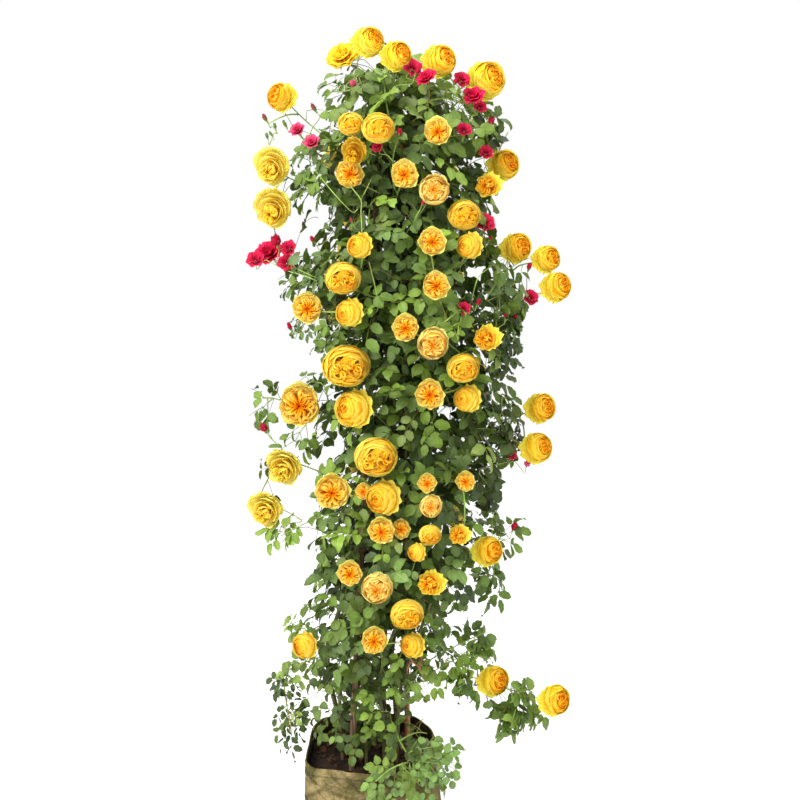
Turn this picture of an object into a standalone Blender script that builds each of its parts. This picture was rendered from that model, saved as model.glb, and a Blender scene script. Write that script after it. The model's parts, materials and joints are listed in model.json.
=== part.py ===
"""Potted climbing rose: a fabric grow bag of potting mix, three stakes, eight
canes tied to them, and the flowering and leafy side shoots that the canes carry.

Metres, +Z up. The origin is the middle of the bag's underside.

The plant is grown by rule: canes rise from the soil round the stakes, every
shoot runs from a cane to the blooms it bears, and leaves fill the outer shell of
the column. Whatever is placed keeps clear of what is already there.
"""

import math
import random

import bmesh
import bpy
import numpy as np

# ---------------------------------------------------------------- dimensions
BAG_HALF = 0.190  # half the bag's width at the rim
BAG_FOOT = 0.176  # half the bag's width at the floor
BAG_HEIGHT = 0.340
BAG_WALL = 0.004
SOIL_TOP = 0.288
SOIL_GAP = 0.0016  # between the soil and the fabric
CLEAR = 0.0006  # least gap between two pieces of the plant
SOCKET_GAP = 0.0005  # round a stake or cane where it goes into the soil

STAKE_RADIUS = 0.0085
SHOOT_RADIUS = 0.0027
BRANCH_RADIUS = 0.0023
TWINE_RADIUS = 0.0014
LEAF_THICKNESS = 0.0016
LEAF_COUNT = 235
TRAILING = 43  # the shoot that leans out over the rim

# The side that is modelled bloom by bloom is laid out as it is seen from a point
# 2.8 m in front of the bag, looking 6.25 degrees down: places and widths below
# are in thousandths of the viewing distance, from the left and from the top.
EYE = np.array((0.0745, -2.8, 1.65))
PITCH = math.radians(6.25)
FOCAL = 1000.0
MIDDLE = 400.0

# Outline of the leafy column by height: (down, left edge, right edge)
OUTLINE = (
    (72, 345, 455),
    (90, 322, 480),
    (110, 308, 492),
    (135, 294, 500),
    (200, 300, 494),
    (280, 292, 522),
    (330, 298, 520),
    (400, 314, 514),
    (480, 318, 500),
    (560, 306, 494),
    (620, 294, 466),
    (680, 286, 438),
    (722, 300, 425),
)

# Blooms: (across, down, width, form, shoot). Forms: A flat rosette, B globe,
# C side-on cup, D pale pompom, E ruffled rosette, F small cup, G open cup,
# H open pale bloom, L side-on cup facing left, R crimson, P small pink.
BLOOMS = (
    (367, 43, 34, "C", 1),
    (343, 56, 34, "H", 1),
    (395, 57, 33, "C", 2),
    (438, 62, 36, "C", 2),
    (484, 82, 42, "C", 3),
    (283, 98, 32, "L", 4),
    (378, 128, 34, "B", 5),
    (351, 124, 27, "B", 5),
    (354, 150, 24, "D", 5),
    (438, 130, 28, "A", 6),
    (271, 166, 35, "D", 7),
    (272, 208, 36, "D", 7),
    (350, 173, 30, "A", 8),
    (360, 245, 27, "F", 8),
    (405, 173, 28, "A", 9),
    (434, 189, 31, "E", 9),
    (502, 166, 34, "C", 10),
    (490, 184, 30, "G", 10),
    (464, 215, 34, "B", 11),
    (470, 245, 28, "F", 11),
    (432, 241, 30, "A", 12),
    (437, 285, 28, "A", 12),
    (343, 278, 37, "B", 13),
    (350, 312, 29, "F", 13),
    (307, 308, 31, "A", 13),
    (555, 288, 33, "C", 14),
    (515, 249, 33, "C", 14),
    (545, 260, 30, "C", 14),
    (405, 327, 28, "A", 15),
    (433, 343, 32, "E", 15),
    (489, 337, 31, "G", 16),
    (346, 366, 49, "B", 17),
    (354, 408, 40, "F", 17),
    (463, 368, 33, "B", 18),
    (468, 398, 29, "F", 18),
    (430, 394, 31, "A", 18),
    (299, 404, 41, "A", 19),
    (539, 409, 33, "C", 20),
    (535, 449, 34, "C", 20),
    (376, 457, 44, "B", 21),
    (384, 497, 37, "F", 21),
    (284, 467, 35, "D", 22),
    (265, 510, 35, "D", 22),
    (333, 491, 38, "A", 23),
    (363, 491, 17, "A", 23),
    (427, 483, 21, "A", 24),
    (431, 506, 23, "E", 24),
    (465, 481, 21, "A", 25),
    (461, 534, 24, "G", 25),
    (381, 530, 28, "A", 26),
    (401, 529, 20, "A", 26),
    (430, 535, 23, "B", 27),
    (417, 552, 19, "F", 27),
    (486, 552, 33, "C", 28),
    (377, 588, 32, "E", 29),
    (349, 573, 27, "A", 29),
    (433, 582, 31, "G", 30),
    (407, 614, 34, "B", 30),
    (305, 645, 26, "F", 31),
    (375, 640, 28, "A", 32),
    (413, 645, 26, "F", 32),
    (492, 682, 34, "C", 33),
    (553, 701, 34, "C", 33),
    (268, 252, 31, "R", 34),
    (297, 129, 17, "P", 35),
    (311, 141, 18, "P", 35),
    (426, 77, 22, "R", 36),
    (474, 95, 24, "R", 36),
)

# Leafy twigs that stand out of the column: (shoot, across, down, depth)
TWIGS = (
    (1, 330, 92, -0.03),
    (4, 268, 124, 0.02),
    (10, 508, 132, 0.02),
    (19, 262, 398, 0.00),
    (20, 503, 436, -0.05),
    (23, 281, 536, -0.04),
    (28, 503, 582, 0.00),
    (31, 276, 678, -0.03),
    (31, 292, 736, -0.10),
    (33, 470, 645, -0.02),
    (33, 512, 722, -0.08),
)

# Canes: (name, base x, base y, radius, heading in degrees, spread, top)
CANES = (
    ("cane_left", -0.100, 0.035, 0.0075, 176, 0.130, 1.86),
    ("cane_front_left", -0.092, -0.020, 0.0055, 216, 0.112, 1.98),
    ("cane_front", -0.022, -0.060, 0.0055, 262, 0.105, 2.08),
    ("cane_front_right", 0.030, -0.045, 0.0060, 306, 0.112, 2.02),
    ("cane_right", 0.066, -0.030, 0.0060, 350, 0.125, 1.92),
    ("cane_back_right", 0.062, 0.090, 0.0060, 40, 0.115, 2.10),
    ("cane_back", -0.004, 0.070, 0.0085, 104, 0.112, 2.06),
    ("crimson_cane", -0.058, 0.100, 0.0055, 140, 0.110, 2.04),
)
STAKES = (
    ("stake_front_left", (-0.078, -0.092), (0.016, -0.030), 1.99),
    ("stake_right", (0.100, 0.018), (0.078, 0.006), 2.05),
    ("stake_back", (0.020, 0.135), (0.048, 0.046), 2.12),
)
# Ties: (name, stake, cane, height)
TIES = (
    ("twine_tie_low", 0, 1, 0.93),
    ("twine_tie_middle", 1, 4, 1.22),
    ("twine_tie_back", 2, 6, 1.36),
    ("twine_tie_high", 1, 5, 1.66),
)


# --------------------------------------------------------- how the plant grows
def unit(v):
    v = np.asarray(v, float)
    return v / max(np.linalg.norm(v), 1e-12)


def sight(px, py, y):
    """The point seen at (px, py) on the upright plane at depth y."""
    c, s = math.cos(PITCH), math.sin(PITCH)
    u, w = (px - MIDDLE) / FOCAL, (MIDDLE - py) / FOCAL
    d = np.array((u, c + s * w, -s + c * w))
    return EYE + d * ((y - EYE[1]) / d[1])


def seen(p):
    """Where a point is seen, and how far away it is."""
    c, s = math.cos(PITCH), math.sin(PITCH)
    v = np.asarray(p, float) - EYE
    far = v[..., 1] * c - v[..., 2] * s
    up = v[..., 1] * s + v[..., 2] * c
    return MIDDLE + FOCAL * v[..., 0] / far, MIDDLE - FOCAL * up / far, far


COLUMN = sorted(
    (
        sight(MIDDLE, down, 0)[2],
        (sight(left, down, 0)[0] + sight(right, down, 0)[0]) / 2,
        (sight(right, down, 0)[0] - sight(left, down, 0)[0]) / 2,
    )
    for down, left, right in OUTLINE
)


def column(z):
    """Middle, half width and half depth of the leafy column at height z."""
    zs = [c[0] for c in COLUMN]
    middle = float(np.interp(z, zs, [c[1] for c in COLUMN]))
    half = float(np.interp(z, zs, [c[2] for c in COLUMN]))
    return middle, half, 0.84 * half


def ratio(p):
    """0 on the column's axis, 1 on its outline."""
    middle, half, deep = column(p[2])
    return math.hypot((p[0] - middle) / half, p[1] / deep)


def bag_section(angle, t, inset=0.0):
    """Plan of the bag at t from floor (0) to rim (1), soft square, inset inwards."""
    half = BAG_FOOT + (BAG_HALF - BAG_FOOT) * min(1.0, t * 1.35)
    half += 0.006 * math.sin(math.pi * min(1.0, t)) - inset
    c, s = math.cos(angle), math.sin(angle)
    n = 5.6
    r = half / (abs(c) ** n + abs(s) ** n) ** (1 / n)
    x, y = r * c, r * s
    # the front right corner of the rim is folded inwards
    fold = max(0.0, (t - 0.55) / 0.45) ** 1.4
    near = math.exp(-(((x - 0.175) / 0.075) ** 2) - ((y + 0.120) / 0.105) ** 2)
    x -= 0.062 * fold * near
    y += 0.014 * fold * near
    return x, y


def bag_clear(p, r):
    """Whether a ball at p keeps out of the bag's wall and the soil."""
    if p[2] > BAG_HEIGHT + 0.012 + r:
        return True
    t = max(0.0, min(1.0, p[2] / BAG_HEIGHT))
    a = math.atan2(p[1], p[0])
    x, y = bag_section(a, t)
    edge, here = math.hypot(x, y), math.hypot(p[0], p[1])
    if here > edge + r + 0.005:
        return p[2] > r + 0.002
    return here < edge - r - BAG_WALL - 0.010 and p[2] > SOIL_TOP + 0.014 + r


def bezier(a, b, c, d, count):
    out = []
    for i in range(count + 1):
        t = i / count
        s = 1 - t
        out.append(a * s**3 + b * 3 * s * s * t + c * 3 * s * t * t + d * t**3)
    return out


def stake_point(index, z):
    _, foot, tip, top = STAKES[index]
    t = z / top
    return np.array((foot[0] + (tip[0] - foot[0]) * t, foot[1] + (tip[1] - foot[1]) * t, z))


def cane_point(index, z):
    name, x0, y0, radius, heading, spread, top = CANES[index]
    middle = column(max(z, 0.5))[0]
    rise = max(0.0, min(1.0, (z - 0.30) / 0.45))
    rise = rise * rise * (3 - 2 * rise)
    a = math.radians(heading + 7 * math.sin(2.3 * z + index))
    out = spread * (0.80 + 0.20 * math.sin(1.9 * z + 1.7 * index))
    x = x0 + (middle + out * math.cos(a) - x0) * rise
    y = y0 + (0.9 * out * math.sin(a) - y0) * rise
    x += 0.006 * math.sin(9.0 * z + 2.1 * index) * rise
    y += 0.006 * math.sin(8.0 * z + 1.3 * index) * rise
    for _, stake, cane, height in TIES:
        if cane == index:
            pull = math.exp(-(((z - height) / 0.16) ** 2))
            s = stake_point(stake, z)
            away = unit((math.cos(a), math.sin(a)))
            reach = STAKE_RADIUS + radius + 0.0035
            x += (s[0] + away[0] * reach - x) * pull
            y += (s[1] + away[1] * reach - y) * pull
    return np.array((x, y, z))


def cane_at(cane, z):
    """A cane's middle and radius at height z."""
    for a, b, r in zip(cane["pts"][:-1], cane["pts"][1:], cane["radii"][:-1]):
        if a[2] <= z <= b[2]:
            return a + (b - a) * ((z - a[2]) / (b[2] - a[2])), r
    return cane["pts"][-1], cane["radii"][-1]


def part_canes(plant):
    """Canes are bent aside where they would touch a stake or each other."""
    tied = {(stake, cane): height for _, stake, cane, height in TIES}
    for _ in range(160):
        still = True
        for i, cane in enumerate(plant["canes"]):
            pts = cane["pts"]
            for k in range(2, len(pts) - 1):
                a, b, r = pts[k], pts[k + 1], cane["radii"][k]
                rivals = []
                for j, stake in enumerate(plant["stakes"]):
                    height = tied.get((j, i), -9.0)
                    need = 0.0032 if abs((a[2] + b[2]) / 2 - height) < 0.14 else 0.010
                    rivals.append((stake["a"], stake["b"], stake["r"], need, None, 0))
                for other in plant["canes"][i + 1 :]:
                    for m in range(2, len(other["pts"]) - 1):
                        c, d = other["pts"][m], other["pts"][m + 1]
                        if abs(c[2] - a[2]) < 0.22:
                            rivals.append((c, d, other["radii"][m], 0.010, other, m))
                for c, d, q, need, other, m in rivals:
                    short = need - (segment_gap(a, b, c, d) - r - q)
                    if short <= 0.0002:
                        continue
                    still = False
                    z = (a[2] + b[2]) / 2
                    t = (z - c[2]) / (d[2] - c[2])
                    away = (a + b) / 2 - (c + (d - c) * t)
                    away[2] = 0
                    push = unit(away) * min(short, 0.004) * 0.6
                    if other is None:
                        pts[k], pts[k + 1] = pts[k] + push, pts[k + 1] + push
                    else:
                        pts[k], pts[k + 1] = pts[k] + push / 2, pts[k + 1] + push / 2
                        other["pts"][m] = other["pts"][m] - push / 2
                        other["pts"][m + 1] = other["pts"][m + 1] - push / 2
                    a, b = pts[k], pts[k + 1]
        if still:
            return


def segment_gap(a, b, c, d):
    """Least distance between the segments ab and cd."""
    u, v, w = b - a, d - c, a - c
    uu, uv, vv = u @ u, u @ v, v @ v
    uw, vw = u @ w, v @ w
    den = uu * vv - uv * uv
    s = 0.0 if den < 1e-14 else min(1.0, max(0.0, (uv * vw - vv * uw) / den))
    t = 0.0 if vv < 1e-14 else (uv * s + vw) / vv
    if t < 0:
        t, s = 0.0, (0.0 if uu < 1e-14 else min(1.0, max(0.0, -uw / uu)))
    elif t > 1:
        t, s = 1.0, (0.0 if uu < 1e-14 else min(1.0, max(0.0, (uv - uw) / uu)))
    return float(np.linalg.norm(w + u * s - v * t))


def flat_gap(one, two):
    """A lower bound of the distance between two rounded flat shapes or rods."""
    axes = []
    edges = []
    for pts, _, normal, _ in (one, two):
        rim = np.roll(pts, -1, axis=0) - pts if len(pts) > 2 else pts[1:] - pts[:-1]
        edges.append(rim)
        if normal is not None:
            axes.append(normal[None])
            axes.append(np.cross(rim, normal))
    if len(edges[0]) and len(edges[1]):
        axes.append(np.cross(edges[0][:, None], edges[1][None]).reshape(-1, 3))
    span = one[0][:, None] - two[0][None]
    near = np.unravel_index(np.argmin((span**2).sum(-1)), span.shape[:2])
    axes.append(span[near][None])
    axes.append((one[0].mean(0) - two[0].mean(0))[None])
    axes = np.concatenate(axes)
    size = np.linalg.norm(axes, axis=1)
    axes = axes[size > 1e-9] / size[size > 1e-9][:, None]
    p, q = one[0] @ axes.T, two[0] @ axes.T
    apart = np.maximum(p.min(0) - q.max(0), q.min(0) - p.max(0)).max()
    return apart - one[1] - two[1]


class Placed:
    """Everything placed so far: rods, balls and flat leaves, each with an owner."""

    def __init__(self):
        self.shapes, self.owners = [], []
        self.middles, self.reaches = np.zeros((0, 3)), np.zeros(0)

    def add(self, owner, pts, radius, normal=None):
        pts = np.asarray(pts, float)
        middle = pts.mean(0)
        reach = np.linalg.norm(pts - middle, axis=1).max() + radius
        self.shapes.append((pts, radius, normal, middle))
        self.owners.append(owner)
        self.middles = np.vstack((self.middles, middle))
        self.reaches = np.append(self.reaches, reach)

    def free(self, owner, pts, radius, normal=None, own_leaves=False, clear=CLEAR):
        pts = np.asarray(pts, float)
        middle = pts.mean(0)
        reach = np.linalg.norm(pts - middle, axis=1).max() + radius + clear
        near = np.linalg.norm(self.middles - middle, axis=1) < self.reaches + reach
        for i in np.nonzero(near)[0]:
            other = self.shapes[i]
            if self.owners[i] == owner and not (own_leaves and other[2] is not None):
                continue
            if normal is None and other[2] is None:
                a, b = pts[0], pts[-1]
                c, d = other[0][0], other[0][-1]
                gap = segment_gap(a, b, c, d) - radius - other[1]
            else:
                gap = flat_gap((pts, radius, normal, middle), other)
            if gap < clear:
                return False
        return True

    def path_free(self, owner, path, radius):
        return all(
            bag_clear(b, radius) and self.free(owner, (a, b), radius)
            for a, b in zip(path[:-1], path[1:])
        )


FACING = {
    "A": (0.02, -1, 0.12),
    "B": (0.10, -1, 0.25),
    "C": (0.50, -0.85, 0.22),
    "D": (0.42, -0.80, -0.30),
    "E": (0.05, -1, 0.05),
    "F": (-0.40, -0.90, 0.15),
    "G": (-0.25, -0.95, 0.10),
    "H": (-0.30, -0.80, 0.55),
    "L": (-0.45, -0.85, 0.25),
    "R": (-0.30, -0.70, 0.60),
    "P": (-0.20, -0.80, 0.50),
}


def front_depth(px, py):
    """Depth at which the line of sight meets the column, or None beside it."""
    for i in range(46):
        y = -0.42 + 0.01 * i
        if ratio(sight(px, py, y)) <= 1.0:
            return y
    return None


def place_blooms(rnd):
    """Every bloom as a dict: middle, radius, form, facing, shoot, front."""
    out = []
    for px, py, wide, form, shoot in BLOOMS:
        y = front_depth(px, py)
        y = -0.045 + 0.03 * rnd.random() if y is None else y - 0.018
        for step in range(40):
            p = sight(px, py, y)
            far = seen(p)[2]
            r = wide / 2 * far / FOCAL
            if all(
                np.linalg.norm(p - o["at"]) > 0.94 * (r + o["r"]) + 0.001 for o in out
            ):
                break
            y += 0.006
        face = unit(np.array(FACING[form]) + np.array([rnd.uniform(-0.08, 0.08) for _ in range(3)]))
        out.append(dict(at=p, r=r, form=form, face=face, shoot=shoot, front=True, px=(px, py, wide / 2)))
    count = 26
    for i in range(count):
        z = 0.66 + 1.46 * (i + 0.5) / count
        turn = math.radians(16 + 148 * ((i * 0.6180339) % 1.0))
        middle, half, deep = column(z)
        r = 0.034 + 0.016 * rnd.random()
        side = (math.cos(turn), math.sin(turn))
        p = np.array((middle + (half * 0.98) * side[0], (deep * 1.0 + 0.015) * side[1], z))
        face = unit((side[0], side[1], 0.25 + 0.2 * rnd.random()))
        form = "ABEFGBAD"[i % 8]
        shoot = 37 + min(5, int((z - 0.66) / 1.46 * 6))
        out.append(dict(at=p, r=r, form=form, face=face, shoot=shoot, front=False, px=None))
    return out


def grow():
    """The whole plant: canes, stakes, ties, shoots, blooms and leaves."""
    rnd = random.Random(20)
    placed = Placed()
    plant = dict(canes=[], stakes=[], ties=[], shoots={}, blooms=[], leaves=[])

    for i, (name, foot, tip, top) in enumerate(STAKES):
        a, b = stake_point(i, 0.20), stake_point(i, top)
        plant["stakes"].append(dict(name=name, a=a, b=b, r=STAKE_RADIUS))
        placed.add(name, (a, b), STAKE_RADIUS + 0.0004)
    for i, cane in enumerate(CANES):
        name, radius, top = cane[0], cane[3], cane[6]
        steps = 19
        pts = [cane_point(i, 0.235 + (top - 0.235) * k / steps) for k in range(steps + 1)]
        radii = [radius * (1 - 0.52 * k / steps) for k in range(steps + 1)]
        plant["canes"].append(dict(name=name, pts=pts, radii=radii))
    part_canes(plant)
    for cane in plant["canes"]:
        for a, b, r in zip(cane["pts"][:-1], cane["pts"][1:], cane["radii"][:-1]):
            placed.add(cane["name"], (a, b), r)
    for name, stake, cane, height in TIES:
        s, (c, radius) = stake_point(stake, height), cane_at(plant["canes"][cane], height)
        loop = []
        for k in range(14):
            d = np.array((math.cos(k * math.tau / 14), math.sin(k * math.tau / 14), 0.0))
            reach_s = STAKE_RADIUS + TWINE_RADIUS + 0.0016
            reach_c = radius + TWINE_RADIUS + 0.0022
            loop.append(max((s + d * reach_s, c + d * reach_c), key=lambda q: float(q @ d)))
        plant["ties"].append(dict(name=name, pts=loop, r=TWINE_RADIUS))
        for a, b in zip(loop, loop[1:] + loop[:1]):
            placed.add(name, (a, b), TWINE_RADIUS + 0.0003)

    blooms = place_blooms(rnd)
    plant["blooms"] = blooms
    for b in blooms:
        placed.add(b["shoot"], (b["at"], b["at"]), b["r"] * 0.92)

    # ---- main stem of every shoot, from a cane to its first bloom
    for shoot in sorted({b["shoot"] for b in blooms}):
        mine = [b for b in blooms if b["shoot"] == shoot]
        lead = mine[0]
        plant["shoots"][shoot] = dict(stems=[], leaves=[], blooms=mine)
        main_stem(plant, placed, rnd, shoot, lead)
        for b in mine[1:]:
            side_stem(plant, placed, rnd, shoot, b["at"] - b["face"] * b["r"] * 0.50, b["face"])
    trailing_shoot(plant, placed)
    for shoot, px, py, y in TWIGS:
        tip = sight(px, py, y)
        side_stem(plant, placed, rnd, shoot, tip, None)
    add_leaves(plant, placed, rnd, LEAF_COUNT)
    return plant, placed


def main_stem(plant, placed, rnd, shoot, lead):
    crimson = lead["form"] in "RP"
    end = lead["at"] - lead["face"] * lead["r"] * 0.50
    starts = []
    for ci, cane in enumerate(plant["canes"]):
        if crimson != (cane["name"] == "crimson_cane"):
            continue
        for k, p in enumerate(cane["pts"]):
            if p[2] < 0.36:
                continue
            drop = end[2] - p[2]
            cost = np.linalg.norm(end - p) + 1.2 * max(0.0, 0.06 - drop)
            starts.append((float(cost), ci, k))
    starts.sort()
    for attempt in range(400):
        slack = min(len(starts), 4 + attempt // 6)
        _, ci, k = starts[0 if attempt == 0 else rnd.randrange(slack)]
        cane = plant["canes"][ci]
        p, r = cane["pts"][k], cane["radii"][max(0, k - 1)]
        loose = 0.25 + attempt / 160
        flat = end - p
        flat[2] = 0
        out = unit(unit(flat) + np.array((rnd.uniform(-loose, loose), rnd.uniform(-loose, loose), 0)))
        a = p + out * (r + SHOOT_RADIUS + 0.0009)
        reach = np.linalg.norm(end - a)
        jog = np.array([rnd.uniform(-0.10, 0.10) for _ in range(3)]) * (0.3 + attempt / 120) * reach
        b = a + out * 0.30 * reach + np.array((0, 0, 0.16 * reach)) + jog
        c = end - lead["face"] * 0.32 * reach + np.array((0, 0, -0.06 * reach)) - jog * 0.5
        count = 5 if reach > 0.16 else 4
        path = bezier(a, b, c, end, count)
        if placed.path_free(shoot, path, SHOOT_RADIUS):
            keep_stem(plant, placed, shoot, path, SHOOT_RADIUS, cane["name"], p)
            return
    raise RuntimeError(f"no way for the stem of shoot {shoot}")


def side_stem(plant, placed, rnd, shoot, end, face):
    """A branch off one of the shoot's stems to a bloom, or a leafy twig."""
    stems = plant["shoots"][shoot]["stems"]
    starts = []
    for s, stem in enumerate(stems):
        for k in range(1, len(stem["pts"]) - 1):
            q = stem["pts"][k]
            cost = np.linalg.norm(end - q) + 0.5 * max(0.0, q[2] - end[2] + 0.02)
            starts.append((float(cost), s, k))
    starts.sort()
    for attempt in range(300):
        _, s, k = starts[min(len(starts) - 1, attempt % (1 + attempt // 12))]
        pts = stems[s]["pts"]
        a = pts[k] + np.array([rnd.uniform(-1, 1) for _ in range(3)]) * 0.0004
        along = unit(pts[k + 1] - pts[k - 1])
        reach = np.linalg.norm(end - a)
        jog = np.array([rnd.uniform(-0.10, 0.10) for _ in range(3)]) * (0.4 + attempt / 80) * reach
        b = a + unit(along + unit(end - a)) * 0.33 * reach + jog
        back = face if face is not None else unit(end - a) + np.array((0, 0, -0.25))
        c = end - unit(back) * 0.32 * reach - jog * 0.4
        path = bezier(a, b, c, end, 4 if reach > 0.13 else 3)
        if placed.path_free(shoot, path, BRANCH_RADIUS):
            keep_stem(plant, placed, shoot, path, BRANCH_RADIUS, None, None)
            return
    raise RuntimeError(f"no way for a branch of shoot {shoot} at {end}")


def keep_stem(plant, placed, shoot, path, radius, cane, root):
    plant["shoots"][shoot]["stems"].append(dict(pts=path, r=radius, cane=cane, root=root))
    for a, b in zip(path[:-1], path[1:]):
        placed.add(shoot, (a, b), radius)


def trailing_shoot(plant, placed):
    """A low leafy shoot that leans out over the front right of the rim."""
    plant["shoots"][TRAILING] = dict(stems=[], leaves=[], blooms=[])
    cane = plant["canes"][3]
    p, r = cane["pts"][2], cane["radii"][1]
    out = unit((0.55, -0.80, 0.0))
    a = p + out * (r + SHOOT_RADIUS + 0.0009)
    crest = np.array((0.092, -0.196, 0.398))
    main = bezier(a, a + out * 0.05 + (0, 0, 0.05), crest + (-0.03, 0.05, 0.012), crest, 4)
    fall = bezier(crest, crest + (0.012, -0.022, -0.006), np.array((0.104, -0.236, 0.352)), np.array((0.098, -0.246, 0.312)), 3)
    keep_stem(plant, placed, TRAILING, main + fall[1:], SHOOT_RADIUS, cane["name"], p)
    for k, tip in ((4, (0.196, -0.200, 0.372)), (3, (0.150, -0.120, 0.418)), (5, (0.010, -0.262, 0.350))):
        q = plant["shoots"][TRAILING]["stems"][0]["pts"][k]
        tip = np.array(tip)
        path = bezier(q, q + (tip - q) * 0.35 + (0, 0, 0.012), tip + (q - tip) * 0.3 + (0, 0, 0.016), tip, 3)
        keep_stem(plant, placed, TRAILING, path, BRANCH_RADIUS, None, None)


def leaf_shape(a, way, normal, length, half):
    """A compound leaf's outline as one flat, five-sided shape from a."""
    side = np.cross(normal, way)
    return np.array(
        (
            a - side * 0.0011,
            a + way * length * 0.52 - side * half,
            a + way * length,
            a + way * length * 0.52 + side * half,
            a + side * 0.0011,
        )
    )


def hides_bloom(blooms, pts):
    """Whether any of these points is seen in front of a bloom."""
    x, y, far = seen(pts)
    for b in blooms:
        if b["front"]:
            px, py, half = b["px"]
            hit = (np.hypot(x - px, y - py) < half * 0.96) & (far < seen(b["at"])[2] + 0.01)
            if hit.any():
                return True
    return False


def samples(shape):
    mid = shape.mean(0)
    return np.vstack((shape, (shape + np.roll(shape, -1, axis=0)) / 2, mid[None]))


def add_leaves(plant, placed, rnd, wanted):
    """Leaves along the stems, then leaves that fill the column's outer shell."""
    anchors = []
    for key, shoot in plant["shoots"].items():
        for stem in shoot["stems"]:
            for i, (a, b) in enumerate(zip(stem["pts"][:-1], stem["pts"][1:])):
                for t in (0.3, 0.8):
                    if i == 0 and t < 0.5:
                        continue
                    anchors.append((key, a + (b - a) * t, unit(b - a)))
    for cane in plant["canes"]:
        for a, b in zip(cane["pts"][1:-1], cane["pts"][2:]):
            for t in (0.25, 0.75):
                anchors.append((cane["name"], a + (b - a) * t, unit(b - a)))
    where = np.array([a[1] for a in anchors])
    tips = np.zeros((0, 3))

    def attempt(key, a, tip, spread):
        nonlocal tips
        way = tip - a
        length = float(np.linalg.norm(way))
        way = way / length
        outward = np.array((a[0] - column(a[2])[0], a[1], 0.0))
        normal = unit(unit(outward) * 0.7 + np.array((0, 0, 0.7)) + np.array([rnd.uniform(-0.5, 0.5) for _ in range(3)]))
        normal = unit(normal - way * (normal @ way))
        shape = leaf_shape(a, way, normal, length, spread * length)
        pts = samples(shape)
        if not all(bag_clear(p, 0.004) for p in pts):
            return False
        if hides_bloom(plant["blooms"], pts):
            return False
        owned = isinstance(key, str)
        if not placed.free(key, shape, LEAF_THICKNESS / 2, normal, own_leaves=True):
            return False
        if owned and len(tips) and np.linalg.norm(tips - tip, axis=1).min() < 0.05:
            return False
        placed.add(key, shape, LEAF_THICKNESS / 2, normal)
        plant["leaves"].append(dict(owner=key, a=a, way=way, normal=normal, length=length, half=spread * length))
        tips = np.vstack((tips, tip))
        return True

    # the twigs and the trailing shoot first
    done = 0
    for key, shoot in plant["shoots"].items():
        for s, stem in enumerate(shoot["stems"]):
            pts = stem["pts"]
            outlying = [ratio(p) > 1.02 or p[2] < 0.44 for p in pts]
            turn = rnd.uniform(0, math.tau)
            for i in range(1, len(pts)):
                if not outlying[i]:
                    continue
                for _ in range(5):
                    turn += 2.4
                    along = unit(pts[i] - pts[i - 1])
                    side = unit(np.cross(along, (math.cos(turn), math.sin(turn), 0.3)))
                    way = unit(side + along * 0.7 + np.array((0, -0.1, -0.1)))
                    a = pts[i - 1] + (pts[i] - pts[i - 1]) * (0.55 + 0.3 * rnd.random())
                    if attempt(key, a, a + way * rnd.uniform(0.07, 0.095), 0.30):
                        done += 1
                        break
    low, high = COLUMN[0][0], COLUMN[-1][0] + 0.03
    for trial in range(9000):
        if done >= wanted:
            break
        z = rnd.uniform(low - 0.02, high)
        middle, half, deep = column(z)
        turn, out = rnd.uniform(0, math.tau), 0.45 + 0.60 * math.sqrt(rnd.random())
        tip = np.array((middle + half * out * math.cos(turn), deep * out * math.sin(turn), z))
        close = 0.085 * (1 - trial / 14000)
        if len(tips) and np.linalg.norm(tips - tip, axis=1).min() < close:
            continue
        gaps = np.linalg.norm(where - tip, axis=1)
        order = np.argsort(gaps)[:14]
        for j in order:
            if not 0.06 < gaps[j] < 0.125:
                continue
            key, a, along = anchors[j]
            way = (tip - a) / gaps[j]
            if abs(way @ along) > 0.86:
                continue
            if attempt(key, a, tip, 0.28):
                done += 1
                break
    plant["leaf_total"] = done


# ------------------------------------------------------------ solids from it
def clear_scene():
    for obj in list(bpy.data.objects):
        bpy.data.objects.remove(obj, do_unlink=True)


def material(name, colour, roughness, metallic=0.0):
    mat = bpy.data.materials.get(name)
    if mat is None:
        mat = bpy.data.materials.new(name)
        mat.use_nodes = True
        shader = mat.node_tree.nodes["Principled BSDF"]
        shader.inputs["Base Color"].default_value = (*colour, 1.0)
        shader.inputs["Roughness"].default_value = roughness
        shader.inputs["Metallic"].default_value = metallic
        mat.diffuse_color = (*colour, 1.0)
    return mat


def new_object(name, mesh, collection, mat=None):
    obj = bpy.data.objects.new(name, mesh)
    collection.objects.link(obj)
    if mat is not None:
        mesh.materials.append(mat)
    return obj


def tube(name, pts, radii, collection, sides=4, closed=False):
    """A round rod through pts as a mesh, from a curve with filled caps."""
    curve = bpy.data.curves.new(name, "CURVE")
    curve.dimensions = "3D"
    curve.bevel_depth = 1.0
    curve.bevel_resolution = (sides - 4) // 2
    curve.use_fill_caps = True
    curve.twist_mode = "MINIMUM"
    spline = curve.splines.new("POLY")
    spline.points.add(len(pts) - 1)
    spline.use_cyclic_u = closed
    for point, p, r in zip(spline.points, pts, radii):
        point.co = (*p, 1.0)
        point.radius = r
    holder = bpy.data.objects.new(name + "_curve", curve)
    collection.objects.link(holder)
    bpy.context.view_layer.update()
    graph = bpy.context.evaluated_depsgraph_get()
    mesh = bpy.data.meshes.new_from_object(holder.evaluated_get(graph))
    mesh.transform(holder.matrix_world)
    bpy.data.objects.remove(holder, do_unlink=True)
    bm = bmesh.new()
    bm.from_mesh(mesh)
    bmesh.ops.remove_doubles(bm, verts=bm.verts, dist=0.00002)
    bmesh.ops.recalc_face_normals(bm, faces=bm.faces)
    bm.to_mesh(mesh)
    bm.free()
    mesh.name = name
    return mesh


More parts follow.
